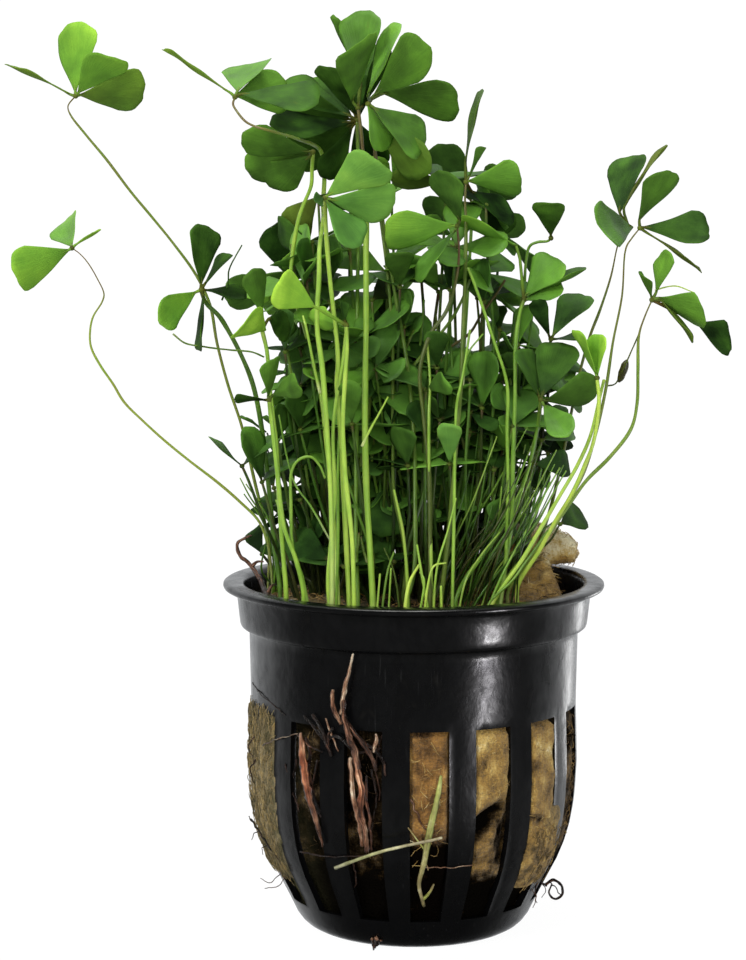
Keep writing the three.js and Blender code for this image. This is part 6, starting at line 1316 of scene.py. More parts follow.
def build_pot():
    zr = [0.0, 0.45, 1.0, 1.9, 3.0, 4.1, SLOT0, 5.5, 6.5, 7.5, 8.7, 10, 11.2, 12.5, 13.8, 15, 16.3, 17.6, 19, 20.5, 22.2, 24, 26.5,
          29, 31, SLOT1, 34, 36, 38, 40, 42, 43.1]
    prof_o = [(float(outer_r(z)), z) for z in zr]
    prof_o += [(23.85, 43.35), (24.7, 43.62), (24.92, 43.8), (25.02, 44.1), (25.12, 44.9), (25.3, 46.6), (25.48, 48.3),
               (25.6, 48.62), (26.2, 48.85), (27.05, 49.02), (27.32, 49.18), (27.44, 49.45), (27.4, 49.75), (27.15, 49.93),
               (26.6, 50.0), (25.3, 50.0), (24.75, 49.93), (24.5, 49.7), (24.4, 49.3)]
    zi = [z for z in reversed(zr) if z > 1.4 + 1e-6]
    prof_i = [(24.2, 47.0), (23.95, 44.9), (23.6, 44.2), (22.9, 43.6)]
    prof_i += [(float(outer_r(z)) - 1.0, max(z, 1.4)) for z in zi]
    # slot rows line up on both walls because they share zr
    ring = []
    half = 6.6
    for k in range(16):
        c = 5.5 + 22.5 * k
        for q in range(5):
            ring.append((c - half + 2 * half * q / 5, True))
        for q in range(4):
            ring.append((c + half + (22.5 - 2 * half) * q / 4, False))
    na = len(ring)
    ang = [math.radians(a - 90) for a, _ in ring]
    slot = [s for _, s in ring]
    prof = prof_o + prof_i
    verts, faces = [], []
    for r, z in prof:
        for a in ang:
            verts.append((r * math.cos(a), r * math.sin(a), z))
    n = len(prof)
    no = len(prof_o)

    def cut(i, j):
        z0, z1 = prof[i][1], prof[i + 1][1]
        lo, hi = min(z0, z1), max(z0, z1)
        wall = (i + 1 < no and lo >= SLOT0 - 1e-6 and hi <= SLOT1 + 1e-6) or (i >= no and lo >= SLOT0 - 1e-6 and hi <= SLOT1 + 1e-6)
        return wall and slot[j]

    idx = lambda i, j: i * na + j % na
    for i in range(n - 1):
        for j in range(na):
            if not cut(i, j):
                faces.append((idx(i, j), idx(i, j + 1), idx(i + 1, j + 1), idx(i + 1, j)))
    # rows of the slots on both walls
    row_o = {round(prof[i][1], 3): i for i in range(no)}
    row_i = {round(prof[i][1], 3): i for i in range(no, n)}
    zs = [z for z in zr if SLOT0 - 1e-6 <= z <= SLOT1 + 1e-6]
    for j in range(na):
        left, right = slot[j], slot[(j + 1) % na]
        # side walls at the slot's two upright edges
        if slot[j] and not slot[j - 1]:
            for z0, z1 in zip(zs[:-1], zs[1:]):
                faces.append((idx(row_o[round(z0, 3)], j), idx(row_o[round(z1, 3)], j), idx(row_i[round(z1, 3)], j), idx(row_i[round(z0, 3)], j)))
        if not slot[j] and slot[j - 1]:
            for z0, z1 in zip(zs[:-1], zs[1:]):
                faces.append((idx(row_o[round(z1, 3)], j), idx(row_o[round(z0, 3)], j), idx(row_i[round(z0, 3)], j), idx(row_i[round(z1, 3)], j)))
        if slot[j]:
            a, b = row_o[round(SLOT0, 3)], row_i[round(SLOT0, 3)]
            faces.append((idx(a, j), idx(b, j), idx(b, j + 1), idx(a, j + 1))[::-1])
            a, b = row_o[round(SLOT1, 3)], row_i[round(SLOT1, 3)]
            faces.append((idx(a, j), idx(b, j), idx(b, j + 1), idx(a, j + 1)))
    # base: underside and floor, as rings down to the middle
    rings_u = [14.2, 12.6, 11.2, 9.2, 7.2, 5.0, 2.5]
    start_u = len(verts)
    for q, r in enumerate(rings_u):
        z = 0.0 if q == 0 else (0.28 if r < 14 else 0.0)
        for a in ang:
            verts.append((r * math.cos(a), r * math.sin(a), 0.0))
    prev = [j for j in range(na)]
    for q in range(len(rings_u)):
        cur = [start_u + q * na + j for j in range(na)]
        for j in range(na):
            k = (j + 1) % na
            faces.append((prev[j], cur[j], cur[k], prev[k]))
        prev = cur
    c = len(verts)
    verts.append((0, 0, 0))
    for j in range(na):
        faces.append((prev[j], c, prev[(j + 1) % na]))
    start_f = len(verts)
    last_r = prof[-1][0]
    rings_f = [last_r - 0.6, 12.6, 11.2, 9.2, 7.2, 5.0, 2.5]
    for r in rings_f:
        for a in ang:
            verts.append((r * math.cos(a), r * math.sin(a), 1.4))
    prev = [(n - 1) * na + j for j in range(na)]
    for q in range(len(rings_f)):
        cur = [start_f + q * na + j for j in range(na)]
        for j in range(na):
            k = (j + 1) % na
            faces.append((prev[j], prev[k], cur[k], cur[j]))
        prev = cur
    c = len(verts)
    verts.append((0, 0, 1.4))
    for j in range(na):
        faces.append((prev[j], prev[(j + 1) % na], c))
    me = bpy.data.meshes.new("net_pot_fine")
    me.from_pydata([(x * MM, y * MM, z * MM) for x, y, z in verts], [], faces)
    me.update()
    ob = bpy.data.objects.new("net_pot_fine", me)
    bpy.context.scene.collection.objects.link(ob)
    # drain holes
    cb = Build()
    for k in range(8):
        a = 2 * math.pi * k / 8 + 0.3
        x, y = 9.2 * math.cos(a), 9.2 * math.sin(a)
        vs, fs = [], []
        m = 24
        for z in (-1.0, 3.0):
            for q in range(m):
                p = 2 * math.pi * q / m
                vs.append((x + 2.0 * math.cos(p), y + 2.0 * math.sin(p), z))
        fs += [(q, (q + 1) % m, m + (q + 1) % m, m + q) for q in range(m)]
        fs += [tuple(range(m))[::-1], tuple(range(m, 2 * m))]
        cb.add(vs, fs, [(0, 0)] * len(vs))
    cm = bpy.data.meshes.new("drains")
    cm.from_pydata((np.concatenate(cb.v) * MM).tolist(), [], cb.f)
    co = bpy.data.objects.new("drains", cm)
    bpy.context.scene.collection.objects.link(co)
    bo = ob.modifiers.new("drains", "BOOLEAN")
    bo.object, bo.operation, bo.solver = co, "DIFFERENCE", "EXACT"
    bv = ob.modifiers.new("edges", "BEVEL")
    bv.width, bv.segments, bv.limit_method, bv.angle_limit = 0.00016, 2, "ANGLE", math.radians(42)
    bpy.context.view_layer.update()
    dg = bpy.context.evaluated_depsgraph_get()
    new = bpy.data.meshes.new_from_object(ob.evaluated_get(dg))
    ob.modifiers.clear()
    ob.data = new
    new.name = "net_pot_fine"
    bpy.data.objects.remove(co)
    new.shade_smooth()
    new.set_sharp_from_angle(angle=math.radians(50))
    new.materials.clear()
    new.materials.append(POT)
    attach(ob, "root")
    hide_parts("net_pot")
    return ob


build_pot()

# ------------------------------------------------------------------ mineral wool
def nz(p, s, o=0.0):
    return noise.noise(Vector((p[0] * s + o, p[1] * s - o, p[2] * s + 2 * o)))


def hollow_shade(theta, z):
    """1 in the slots left of the middle, where the wool lies pushed back behind the roots and is painted dark as shade
    in the hollow.
    """
    d = math.degrees(theta)
    a = 1 / (1 + math.exp(-(d + 52) / 1.6)) * 1 / (1 + math.exp((d + 7.5) / 1.6))
    return a


def slot_mid(th):
    """How far, in degrees, from the middle of the nearest slot."""
    d = (math.degrees(th) - 5.5) % 22.5
    return min(d, 22.5 - d)


def mounds(x, y):
    """The wool on top: torn up in front of the lump on the right, a low swelling at the left; how high in mm."""
    r = math.hypot(x, y)
    fade = 1 / (1 + math.exp((r - 21.3) / 0.22))
    m1 = math.exp(-(max(abs(x - 14.2) - 5.2, 0) / 2.8) ** 2 - ((y - 4.5) / 6.0) ** 2) * fade
    m2 = math.exp(-((x + 16.5) / 4.5) ** 2 - ((y + 6.0) / 7.0) ** 2) * fade
    q = (x, y, 47.0)
    return m1, m2, m1 * (4.6 + 1.3 * nz(q, 0.45, 17.0) + 0.8 * nz(q, 1.2, 3.0)) + m2 * 0.9


def pad(b, th0, z0, hd, hz, out, tone, cool, seed, nu=60, nv=48, oval=1.0):
    """Wool that presses out of a slot and spreads over the bars beside it."""
    verts, uvs, tones = [], [], []
    for s in (1, -1):
        for i in range(nv):
            v = 2 * i / (nv - 1) - 1
            for j in range(nu):
                u = 2 * j / (nu - 1) - 1
                wob = 1 + 0.16 * noise.noise(Vector((v * 3.1, seed, u)))
                d = th0 + hd * u * math.sqrt(1 - oval * v * v / 2) * wob
                z = z0 + hz * v * math.sqrt(1 - oval * u * u / 2) * (1 + 0.10 * noise.noise(Vector((seed, u * 2.7, 1.0))))
                e = max(0.0, (1 - abs(u) ** 3) * (1 - abs(v) ** 4))
                th = math.radians(d)
                base = float(outer_r(z))
                q = (base * math.sin(th), base * math.cos(th), z)
                n = 0.55 * nz((q[0] * 1.0, q[1], q[2] * 0.5), 1.3, seed) + 0.35 * nz((q[0], q[1], q[2] * 0.6), 2.9, seed + 4)
                r = base - 0.9 + (out + 0.9) * e ** 0.4 + 0.45 * n * e if s > 0 else base - 1.2
                verts.append((r * math.sin(th), -r * math.cos(th), z))
                uvs.append((j / nu, i / nv))
                tones.append(tone + 0.45 * n)
    m = nu * nv
    loop = [j for j in range(nu)] + [i * nu + nu - 1 for i in range(1, nv)]
    loop += [(nv - 1) * nu + j for j in range(nu - 2, -1, -1)] + [i * nu for i in range(nv - 2, 0, -1)]
    f = grid_faces(nv, nu, 0) + grid_faces(nv, nu, m, flip=True)
    f += [(loop[(k + 1) % len(loop)], loop[k], loop[k] + m, loop[(k + 1) % len(loop)] + m) for k in range(len(loop))]
    b.add(verts, f, uvs, tone=np.array(tones), cool=cool)


def build_wool():
    na, verts, uvs, faces, tone, cool, red = 480, [], [], [], [], [], []
    prof = [(0.3, 1.9), (6, 1.9), (12.5, 2.0), (15.2, 2.3)]
    prof += [(float(outer_r(z)) - 1.42, z) for z in np.concatenate([np.linspace(3.4, 14.0, 18), np.linspace(14.5, 42.5, 44)])]
    prof += [(22.45, 44.0), (22.4, 45.3), (21.9, 46.4), (21.2, 47.0), (20.4, 47.2)] + [(r, 47.2) for r in np.linspace(19.5, 0.3, 36)]
    n = len(prof)
    for i, (r, z) in enumerate(prof):
        for j in range(na):
            a = 2 * math.pi * j / na
            th = math.atan2(math.sin(a + math.pi / 2), math.cos(a + math.pi / 2))   # from the front, + to the right
            x, y = r * math.cos(a), r * math.sin(a)
            q = (x, y, z)
            bump = 0.55 * nz(q, 0.22, 3.1) + 0.30 * nz(q, 0.7, 8.0) + 0.16 * nz(q, 1.9, 1.0)
            st = hollow_shade(th, z) if z < 44 else 0.0
            t = (0.62 if z < 44 else 0.60) + 0.13 * nz(q, 0.30, 20.0)
            dr = 0.15 + bump * 0.9
            deg = math.degrees(th)
            if 3 < z < 43:
                # Painted shade: left of the middle the wool is pushed back and painted dark, as the hollow behind the
                # roots lies in shade.
                dr -= (1.3 if z > 12 else 0.5) * st
                t = t * (1 - st) + 0.10 * st
            if 13 < z < 43:
                # a torn gap in the second slot from the middle, and a crack in the third; both are pushed in and
                # painted dark, as shade inside them
                g = math.exp(-((deg - 27) / 6.5) ** 4 - ((z - 19.9 - 0.22 * (deg - 27)) / 1.4) ** 2)
                rim = 29.4 + 0.42 * (20.4 - z) + 1.5 * nz(q, 0.55, 33.0)
                low = 1 / (1 + math.exp(-(z - 12.2 - 0.9 * nz(q, 0.8, 35.0)) / 0.8))
                g = max(g, 0.75 * low / (1 + math.exp(-(deg - rim) / 1.0)) / (1 + math.exp((deg - 39) / 0.6)) / (1 + math.exp((z - 20.4) / 0.7)))
                dr -= 2.4 * g
                t -= 0.66 * g
                g = math.exp(-((deg - 50) / 7.5) ** 4 - ((z - 18.4 + 0.14 * (deg - 50)) / 0.38) ** 2)
                dr -= 0.7 * g
                t -= 0.4 * g
            # the wool swells out of the slots at the two edges of the front view
            swell = 1.1 * math.exp(-((deg + 62) / 8.0) ** 6) + 0.9 * math.exp(-((deg - 73) / 8.0) ** 6) + 1.35 * math.exp(-((deg - 50.5) / 8.0) ** 6)
            swell += 1.25 * math.exp(-((deg - 28) / 8.0) ** 6) + 0.95 * math.exp(-((deg - 5.5) / 8.0) ** 6)
            if 6 < z < 43:
                dr += 1.05 * swell / (1 + math.exp(-(z - 10.5) / 0.8))
            # Painted shade: the wool darkens towards the bottom of the pot, from higher up in the middle slots.
            shade_top = 16.5 if -9 < deg < 17 else 11.0
            t -= 0.66 / (1 + math.exp((z - shade_top) / 0.6))
            if z < 44:
                # Painted shade: the wool in the middle slot is darker.
                t += 0.03 * math.exp(-((deg - 28) / 9.0) ** 4) - 0.13 * math.exp(-((deg - 5.5) / 9.0) ** 4) - 0.06 * math.exp(-((deg + 62) / 9.0) ** 4)
                t -= 0.36 * math.exp(-((deg - 73) / 8.0) ** 4)
                t += 0.22 * nz(q, 0.55, 40.0)
                if 22 < deg < 34 and z < 20:         # brown lumps under the gap
                    t += 0.22 * nz(q, 1.1, 55.0) - 0.13
            if z > 46:
                zz = z + 0.35 * nz(q, 0.35, 5.0) + 0.30 * nz(q, 0.9, 11.0)
                # painted shade: darker among the feet of the stems; torn up in front of the lump, where the wool, like
                # the low swelling at the left, is painted lighter as lit
                t -= 0.34 * math.exp(-(r / 19.0) ** 4)
                m1, m2, up = mounds(x, y)
                t += 0.26 * m1 + 0.16 * m2 + 0.10 * nz(q, 0.8, 23.0) * m1
                z2 = zz + up
                rr = r
            else:
                free = SLOT0 + 1.5 < z < SLOT1 - 0.6 and slot_mid(th) < 6.05
                z2, rr = z, r + min(dr, 0.24 if not free else (1.72 if swell > 0.3 else 0.95))
            verts.append((rr * math.cos(a), rr * math.sin(a), z2))
            uvs.append((j / na, i / n))
            tone.append(t)
            left = 1 / (1 + math.exp((math.degrees(th) + 52) / 3.0)) if math.degrees(th) > -150 else 0.4
            cool.append(0.9 * left)
            red.append(0.8 * math.exp(-((deg - 5.5) / 8.0) ** 4) if z < 44 else 0.0)
    b = Build()
    f = grid_faces(n, na, wrap=True)
    c0, c1 = len(verts), len(verts) + 1
    verts += [(0, 0, 1.9), (0, 0, 47.1)]
    uvs += [(0, 0), (0, 1)]
    tone += [0.3, 0.4]
    cool += [0, 0]
    red += [0, 0]
    for j in range(na):
        k = (j + 1) % na
        f.append((c0, k, j))
        f.append((c1, (n - 1) * na + j, (n - 1) * na + k))
    b.add(verts, f, uvs, tone=np.array(tone), cool=np.array(cool), red=np.array(red))
    b.make("wool_plug_fine", WOOL, "wool", ["rockwool_plug"])

    # loose fibres that stand off the wool in the slots and on the top
    rng = np.random.default_rng(8)
    b = Build()
    made = 0
    for k in range(16):
        mid = 5.5 + 22.5 * k
        edge = (mid + 180) % 360 - 180 in (-62.0, 73.0)
        for q in range(90 if edge else 46):
            d = mid + rng.uniform(-5.6, 5.6)
            th = math.radians(d)
            dd = (d + 180) % 360 - 180
            st = hollow_shade(math.radians(dd), 20)
            z = rng.uniform(13.5, 31.5)
            if 18 < dd < 38 and z < 22.5:
                continue
            flush = dd > -5 and dd < 62
            r = float(outer_r(z)) - (0.25 if edge else 0.1 if flush else 1.25) - 1.3 * st
            rad = np.array([math.sin(th), -math.cos(th), 0])
            side = np.array([math.cos(th), math.sin(th), 0])
            p0 = rad * r + np.array([0, 0, z])
            d0 = side * rng.normal(0, 0.8) + np.array([0, 0, 1]) * rng.normal(0, 0.9)
            d0 = unit(d0) * rng.uniform(0.8, 2.0)
            off = rng.uniform(0.05, 0.42)
            pts = [p0 - d0 * 0.5 - rad * 0.15, p0 + rad * off, p0 + d0 * 0.5 - rad * 0.15 + side * rng.normal(0, 0.2)]
            # Fibres in the shaded hollow on the left are painted dark with it.
            sweep(b, smooth_path(pts, 3), rng.uniform(0.03, 0.06), 4,
                  tone=(0.66 if st < 0.5 else 0.25) + rng.uniform(-0.2, 0.2) - (0.3 if dd > 62 else 0), cool=0.3 if dd < -52 else 0.0)
            made += 1
    # the wool presses out of the slots at the left-hand edge and low on the right
    pad(b, -68.5, 20.6, 16.5, 12.4, 0.30, 0.39, 0.9, 3.0, oval=0.35)
    pad(b, 53.0, 12.6, 10.0, 4.9, 1.05, 0.54, 0.2, 7.0, 40, 30)
    pad(b, 57.5, 16.6, 6.6, 3.8, 0.35, 0.50, 0.5, 11.0, 30, 24)
    for q in range(1100):
        left = q < 950
        d = rng.uniform(-83, -56) if left else rng.uniform(46, 60)
        th, z = math.radians(d), (rng.uniform(8.5, 33.0) if left else rng.uniform(8.6, 17.0))
        r = float(outer_r(z)) + (rng.uniform(0.05, 0.40) if left else rng.uniform(0.5, 1.15))
        rad, side = np.array([math.sin(th), -math.cos(th), 0]), np.array([math.cos(th), math.sin(th), 0])
        p0 = rad * r + np.array([0, 0, z])
        d0 = unit(side * rng.normal(0, 0.75) + np.array([0, 0, 1.0])) * rng.uniform(0.7, 2.4)
        slope = (float(outer_r(z + 1)) - float(outer_r(z - 1))) / 2 * d0[2]
        pts = [p0 - d0 * 0.5 - rad * slope * 0.5, p0 + rad * rng.uniform(0, 0.18) + side * rng.normal(0, 0.25),
               p0 + d0 * 0.5 + rad * slope * 0.5]
        sweep(b, smooth_path(pts, 3), rng.uniform(0.028, 0.06), 4, tone=(0.54 if left else 0.54) + rng.uniform(-0.26, 0.16),
              cool=0.9 if left else 0.3, red=0.0)
    for q in range(1100):
        a, rr = rng.uniform(0, 2 * math.pi), 21.5 * math.sqrt(rng.uniform(0.02, 1))
        x, y = rr * math.cos(a), rr * math.sin(a)
        m1, m2, up = mounds(x, y)
        p0 = np.array([x, y, 47.25 + 0.1 * rng.uniform() + up])
        g = rng.uniform(0, 2 * math.pi)
        d0 = np.array([math.cos(g), math.sin(g), rng.uniform(-0.1, 0.35)]) * rng.uniform(0.8, 2.4)
        pts = [p0 - d0 * 0.5, p0 + np.array([0, 0, rng.uniform(0.1, 0.5)]), p0 + d0 * 0.5]
        # Fibres on the mound are lighter, the same painted light as the wool under them.
        sweep(b, smooth_path(pts, 3), rng.uniform(0.03, 0.065), 4, tone=0.50 + 0.14 * m1 + rng.uniform(-0.25, 0.22))
    b.make("wool_fibres", WOOL, "wool", ["rockwool_plug"])


build_wool()


def build_block():
    """The torn lump: a rounded box of wool, rough on top, that leans over the rim."""
    outline = [(11.5, 47.3), (14.5, 47.25), (17.3, 47.4), (17.6, 48.8), (17.8, 50.45), (20.5, 50.65), (23.6, 51.0), (24.3, 52.0),
               (24.3, 53.7), (23.0, 54.9), (20.8, 55.9), (17.8, 56.8), (14.6, 57.0), (12.3, 56.0), (11.1, 53.4), (11.1, 50.0)]
    c = np.mean(outline, 0)
    m = 64
    path = np.array(outline + [outline[0]])
    d = np.concatenate([[0], np.cumsum(np.linalg.norm(np.diff(path, axis=0), axis=1))])
    s = np.linspace(0, d[-1], m, endpoint=False)
    ox, oz = np.interp(s, d, path[:, 0]), np.interp(s, d, path[:, 1])
    ys = np.linspace(8.8, 15.4, 26)
    verts, uvs, tone, cool = [], [], [], []
    for i, y in enumerate(ys):
        e = abs(2 * i / (len(ys) - 1) - 1)
        k = (1 - e ** 6) ** 0.35 if e < 1 else 0.0
        k = 0.25 + 0.75 * k if i not in (0, len(ys) - 1) else 0.25
        for j in range(m):
            x, z = c[0] + (ox[j] - c[0]) * k, c[1] + (oz[j] - c[1]) * k
            q = (x, y, z)
            dis = 0.34 * nz(q, 0.45, 2.0) + 0.22 * nz(q, 1.3, 6.0) + 0.10 * nz(q, 3.1, 9.0) - 0.12
            vx, vz = ox[j] - c[0], oz[j] - c[1]
            l = math.hypot(vx, vz)
            x, z = x + dis * vx / l, z + dis * vz / l
            verts.append((x, y + 0.35 * nz(q, 0.6, 14.0), z))
            uvs.append((j / m, i / len(ys)))
            # Painted light: the top and upper right of the lump are lighter, up to cream, as lit from above.
            tone.append(0.70 + 0.15 / (1 + math.exp(-(z - 52.0) / 0.5)) / (1 + math.exp(-(x - 17.5) / 0.8)) + 0.02 * (z - 52) + 0.26 / (1 + math.exp(-(z - 55.0 + 0.30 * (x - 20)) / 0.6)) + 0.14 * nz(q, 0.5, 30.0))
            cool.append(0.0)
    f = grid_faces(len(ys), m, wrap=True)
    n0 = len(verts)
    verts += [(c[0], ys[0] - 0.1, c[1]), (c[0], ys[-1] + 0.1, c[1])]
    uvs += [(0, 0), (0, 1)]
    tone += [0.7, 0.7]
    cool += [0, 0]
    for j in range(m):
        k = (j + 1) % m
        f.append((n0, k, j))
        f.append((n0 + 1, (len(ys) - 1) * m + j, (len(ys) - 1) * m + k))
    b = Build()
    b.add(verts, f, uvs, tone=np.array(tone), cool=np.array(cool))
    rng = np.random.default_rng(21)
    base = np.array(verts[: len(ys) * m])
    for q in range(420):
        p = base[rng.integers(0, len(base))]
        o = unit(np.array([p[0] - c[0], (p[1] - 12.1) * 0.8, p[2] - c[1]]))
        t = unit(np.cross(o, rng.normal(0, 1, 3))) * rng.uniform(0.6, 1.6)
        pts = [p - t * 0.5 - o * 0.1, p + o * rng.uniform(0.05, 0.3), p + t * 0.5 - o * 0.1]
        # Fibres higher up on the lump are lighter, the same painted light.
        sweep(b, smooth_path(pts, 3), rng.uniform(0.03, 0.06), 4, tone=(0.70 if p[2] < 52.0 else 0.86 if p[2] < 55.5 else 0.98) + rng.uniform(-0.15, 0.12))
    b.make("wool_block_fine", WOOL, "wool", ["rockwool_block"])


build_block()

# ------------------------------------------------------------------ rhizome and roots
b = Build()
path = smooth_path([(-19.0, -12.2, 47.6)] + [tuple(p) for p in RHIZOME[::-1]] + [(-23.6, 3.2, 55.9)], 6)
s = np.linspace(0, 1, len(path))
sweep(b, path, 0.62 - 0.46 * s ** 0.6, 10, knob=0.45, tone=0.50, rnd=0.2)
for k, (dx, dy, dz) in enumerate([(-1.6, -2.0, 0.6), (1.2, 1.6, 1.3), (-0.8, 2.6, 1.0), (1.8, -1.2, 0.9)]):
    p0 = path[int(len(path) * (0.15 + 0.13 * k))]
    sweep(b, smooth_path([p0, p0 + np.array([dx, dy, dz]) * 0.5 + [0, 0, 0.4], p0 + np.array([dx, dy, dz])], 4),
          np.linspace(0.30, 0.10, 9), 6, knob=0.4, tone=0.50, rnd=0.1 * k)
b.make("rhizome_fine", ROOT, "rhizome", ["rhizome"])


def root(name, node, slot, pts, r0, r1, tone, knob=0.5, branches=(), mat=None, sides=10):
    b = Build()
    path = smooth_path(pts, 7)
    s = np.linspace(0, 1, len(path))
    tt = np.repeat(np.interp(s, [0, 0.08, 0.3, 1], [tone + 0.25, tone + 0.1, tone, tone - 0.05]), sides).tolist() + [tone + 0.3, tone]
    sweep(b, path, r0 + (r1 - r0) * s, sides, knob=knob, tone=np.array(tt), rnd=len(pts) * 0.13)
    for bp, br, bt in branches:
        q = smooth_path(bp, 5)
        sweep(b, q, np.linspace(br, br * 0.35, len(q)), 7, knob=0.5, tone=bt, rnd=0.4)
    b.make(name, mat or ROOT, slot, [node] if node else ())


R = {k: [np.array(p, float) for p in v] for k, v in ROOTS.items()}
for node in ("root_left", "root_centre"):
    b = Build()
    for k, (owner, pts, r0, rm, r1, tone, red, knob) in enumerate(STRANDS):
        if owner != node:
            continue
        path = smooth_path(pts, 7)
        s = np.linspace(0, 1, len(path))
        wob = np.array([[nz(p, 0.8, k), nz(p, 0.8, k + 9), nz(p, 0.8, k + 20)] for p in path]) * 0.16
        rad = np.interp(s, [0, 0.45, 1], [r0, rm, r1]) * (1 + 0.22 * np.array([nz(p, 1.6, 3 + k) for p in path]))
        tt = tone + (0.25 * np.exp(-s / 0.12) if tone > 0.6 else 0 * s)
        rr = red * np.exp(-((s - 0.40) / 0.27) ** 2)
        tt = tt + (0.10 * np.exp(-((s - 0.38) / 0.16) ** 2) - 0.20 * s if owner == "root_left" else 0)
        tt = tt - 0.05 + 0.26 * np.array([nz(p, 0.75, 40 + 3 * k) for p in path])
        sweep(b, path + wob, rad, 11, knob=knob, tone=np.concatenate([np.repeat(tt, 11), [tt[0], tt[-1]]]),
              red=np.concatenate([np.repeat(rr, 11), [rr[0], rr[-1]]]), rnd=0.17 * k)
    b.make(node + "_fine", ROOT, "root", [node])
b = Build()
for k, (pts, r0, r1, tone) in enumerate(HAIRS):
    path = smooth_path(pts, 6)
    wob = np.array([[nz(p, 1.3, k), nz(p, 1.3, k + 9), nz(p, 1.3, k + 20)] for p in path]) * 0.25
    sweep(b, path + wob, np.linspace(r0, r1, len(path)), 6, knob=0.4, tone=tone, rnd=0.11 * k)
b.make("root_hairs", ROOT, "root")
ring = R["root_loop"] + [R["root_loop"][-1] * 0.35 + R["root_loop"][1] * 0.65]
root("root_loop_fine", "root_loop", "root", ring, 0.24, 0.13, 0.16, sides=8)
root("root_cross_fine", "root_cross", "dry_stalk", R["root_cross"], 0.27, 0.20, 0.88, knob=0.25, mat=DRY, sides=8)
shoot = R["runner_shoot"]
b = Build()
path = smooth_path(shoot, 7)
s = np.linspace(0, 1, len(path))
sweep(b, path, np.interp(s, [0, 0.12, 0.45, 0.75, 1], [0.22, 0.38, 0.49, 0.29, 0.24]), 10, knob=0.25, tone=0.74, rnd=0.6)
k = int(len(path) * 0.93)
sweep(b, smooth_path([path[k], path[k] + [0.9, -0.1, 0.9], path[k] + [1.6, 0.0, 2.2]], 5), np.linspace(0.26, 0.16, 11), 7, knob=0.3,
      tone=0.7, along=1.0, rnd=0.3)
k = int(len(path) * 0.55)
sweep(b, smooth_path([path[k] + [-0.1, 0.1, 0.5], path[k] + [-1.2, 0.2, 2.0], path[k] + [-2.4, 0.3, 3.6]], 5), np.linspace(0.14, 0.10, 11), 7,
      knob=0.3, tone=0.7, along=1.0, rnd=0.8)
b.make("runner_shoot_fine", DRY, "shoot", ["runner_shoot"])

# ------------------------------------------------------------------ floor, camera, light
def stage_floor():
    me = bpy.data.meshes.new("floor")
    s = 0.45
    me.from_pydata([(-s, -s, 0), (s, -s, 0), (s, s, 0), (-s, s, 0)], [], [(0, 1, 2, 3)])
    ob = bpy.data.objects.new("floor", me)
    bpy.context.scene.collection.objects.link(ob)
    m = Mat("floor_pale")
    m.set(Base_Color=(0.86, 0.86, 0.86, 1), Roughness=0.9)
    m.p.inputs["Specular IOR Level"].default_value = 0.0
    x, y, z = m.split(m.coords())
    rad = m.math("SQRT", m.math("ADD", m.math("MULTIPLY", x, x), m.math("MULTIPLY", y, y)))
    m.put(m.p.inputs["Alpha"], m.range(rad, 0.04, 0.40, 0.08, 0.0, True))
    me.materials.append(m.m)
    ob.location.z = -0.00005


stage_floor()

cam = bpy.data.cameras.new("camera")
cam.sensor_width = 36.0
cam.sensor_fit = "AUTO"
cam.lens = CAM_F / 960 * 36.0
cam.clip_start, cam.clip_end = 0.01, 20
co = bpy.data.objects.new("camera", cam)
bpy.context.scene.collection.objects.link(co)
co.location = Vector(CAM_POS) * MM
co.rotation_euler = (Vector(CAM_AT) - Vector(CAM_POS)).to_track_quat("-Z", "Y").to_euler()
bpy.context.scene.camera = co


def area(name, loc, at, size, power, color=(1, 1, 1), sy=None):
    l = bpy.data.lights.new(name, "AREA")
    l.energy, l.color, l.size = power, color, size
    if sy:
        l.shape, l.size_y = "RECTANGLE", sy
    o = bpy.data.objects.new(name, l)
    bpy.context.scene.collection.objects.link(o)
    o.location = loc
    o.rotation_euler = (Vector(at) - Vector(loc)).to_track_quat("-Z", "Y").to_euler()
    return o


def glint(name, az, dist, z, w, h, power, color):
    """A small light that only shows as a reflection."""
    a = math.radians(az)
    o = area(name, (dist * math.sin(a), -dist * math.cos(a), z), (0, 0, z + 0.02), w, power, color, h)
    o.visible_diffuse = False
    o.visible_camera = False
    return o


for o in (area("top", (-0.10, 0.02, 0.85), (0, 0, 0.06), 0.45, 3.9, (1.0, 0.995, 0.97)),
          area("front_left", (-0.50, -0.62, 0.62), (0, 0, 0.07), 0.26, 4.4, (1.0, 0.99, 0.95))):
    o.visible_camera = False
fill = area("fill", (0.06, -0.95, 0.30), (0, 0, 0.08), 0.7, 5.0, (1.0, 1.0, 0.97))
fill.visible_glossy = False
fill.visible_camera = False
glint("collar_glint", 49.8, 0.188, -0.016, 0.022, 0.012, 0.075, (1.0, 0.98, 1.0))
glint("barrel_glint", 49.0, 0.188, 0.004, 0.020, 0.011, 0.028, (0.96, 0.92, 1.0))
glint("edge_glint", 136.0, 0.30, -0.020, 0.075, 0.050, 0.046, (1.0, 1.0, 1.0))

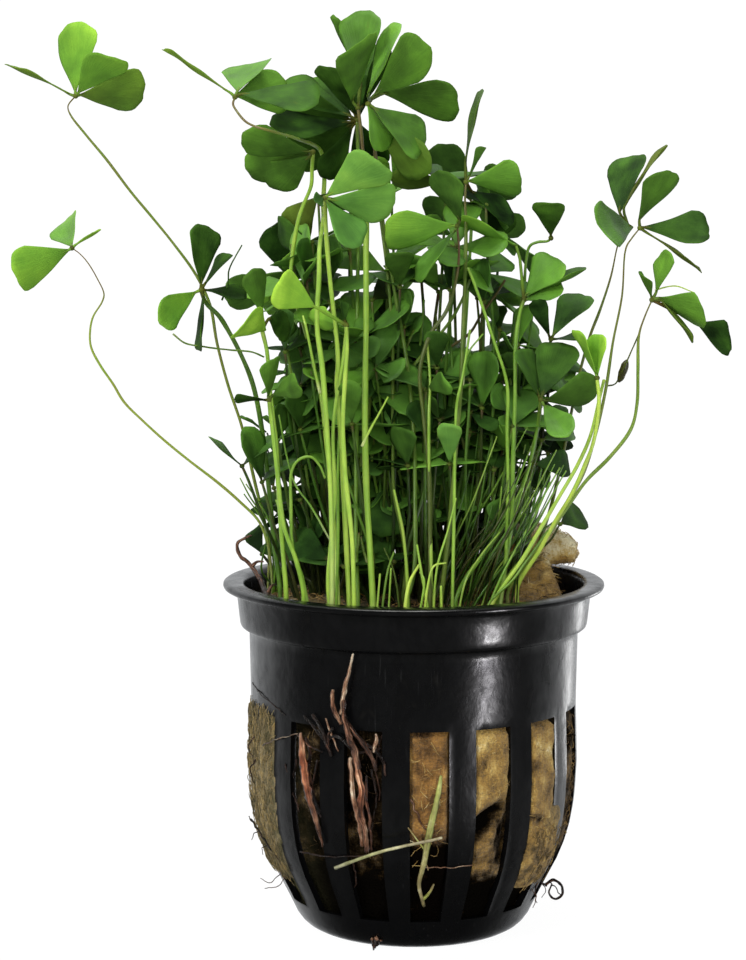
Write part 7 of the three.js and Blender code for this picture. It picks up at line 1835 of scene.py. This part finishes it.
world = bpy.data.worlds.new("studio")
bpy.context.scene.world = world
world.use_nodes = True
wt = world.node_tree
wt.nodes.clear()
out = wt.nodes.new("ShaderNodeOutputWorld")
lp = wt.nodes.new("ShaderNodeLightPath")
white = wt.nodes.new("ShaderNodeBackground")
white.inputs[0].default_value = (1, 1, 1, 1)
white.inputs[1].default_value = 1.05
room = wt.nodes.new("ShaderNodeBackground")
tc = wt.nodes.new("ShaderNodeTexCoord")
sp = wt.nodes.new("ShaderNodeSeparateXYZ")
wt.links.new(tc.outputs["Generated"], sp.inputs[0])
rp = wt.nodes.new("ShaderNodeMapRange")
rp.interpolation_type = "SMOOTHSTEP"
wt.links.new(sp.outputs[1], rp.inputs[0])
for i, v in enumerate((-0.15, 0.65, 0.05, 0.9)):
    rp.inputs[i + 1].default_value = v
room.inputs[0].default_value = (0.96, 0.98, 1.0, 1)
# darker towards the table, so that the belly of the pot stays black
dn = wt.nodes.new("ShaderNodeMapRange")
dn.interpolation_type = "SMOOTHSTEP"
wt.links.new(sp.outputs[2], dn.inputs[0])
for i, v in enumerate((-0.88, -0.40, 0.08, 1.0)):
    dn.inputs[i + 1].default_value = v
pr = wt.nodes.new("ShaderNodeMath")
pr.operation = "MULTIPLY"
wt.links.new(rp.outputs[0], pr.inputs[0])
wt.links.new(dn.outputs[0], pr.inputs[1])
wt.links.new(pr.outputs[0], room.inputs[1])
# even light from all sides for the matt part of every surface
soft = wt.nodes.new("ShaderNodeBackground")
soft.inputs[0].default_value = (0.97, 1.0, 0.97, 1)
soft.inputs[1].default_value = 0.60
m1 = wt.nodes.new("ShaderNodeMixShader")
wt.links.new(lp.outputs["Is Glossy Ray"], m1.inputs[0])
wt.links.new(soft.outputs[0], m1.inputs[1])
wt.links.new(room.outputs[0], m1.inputs[2])
mx = wt.nodes.new("ShaderNodeMixShader")
wt.links.new(lp.outputs["Is Camera Ray"], mx.inputs[0])
wt.links.new(m1.outputs[0], mx.inputs[1])
wt.links.new(white.outputs[0], mx.inputs[2])
wt.links.new(mx.outputs[0], out.inputs[0])

bpy.context.scene.view_settings.view_transform = "Standard"
bpy.context.scene.view_settings.look = "None"
bpy.context.scene.view_settings.exposure = 0.0
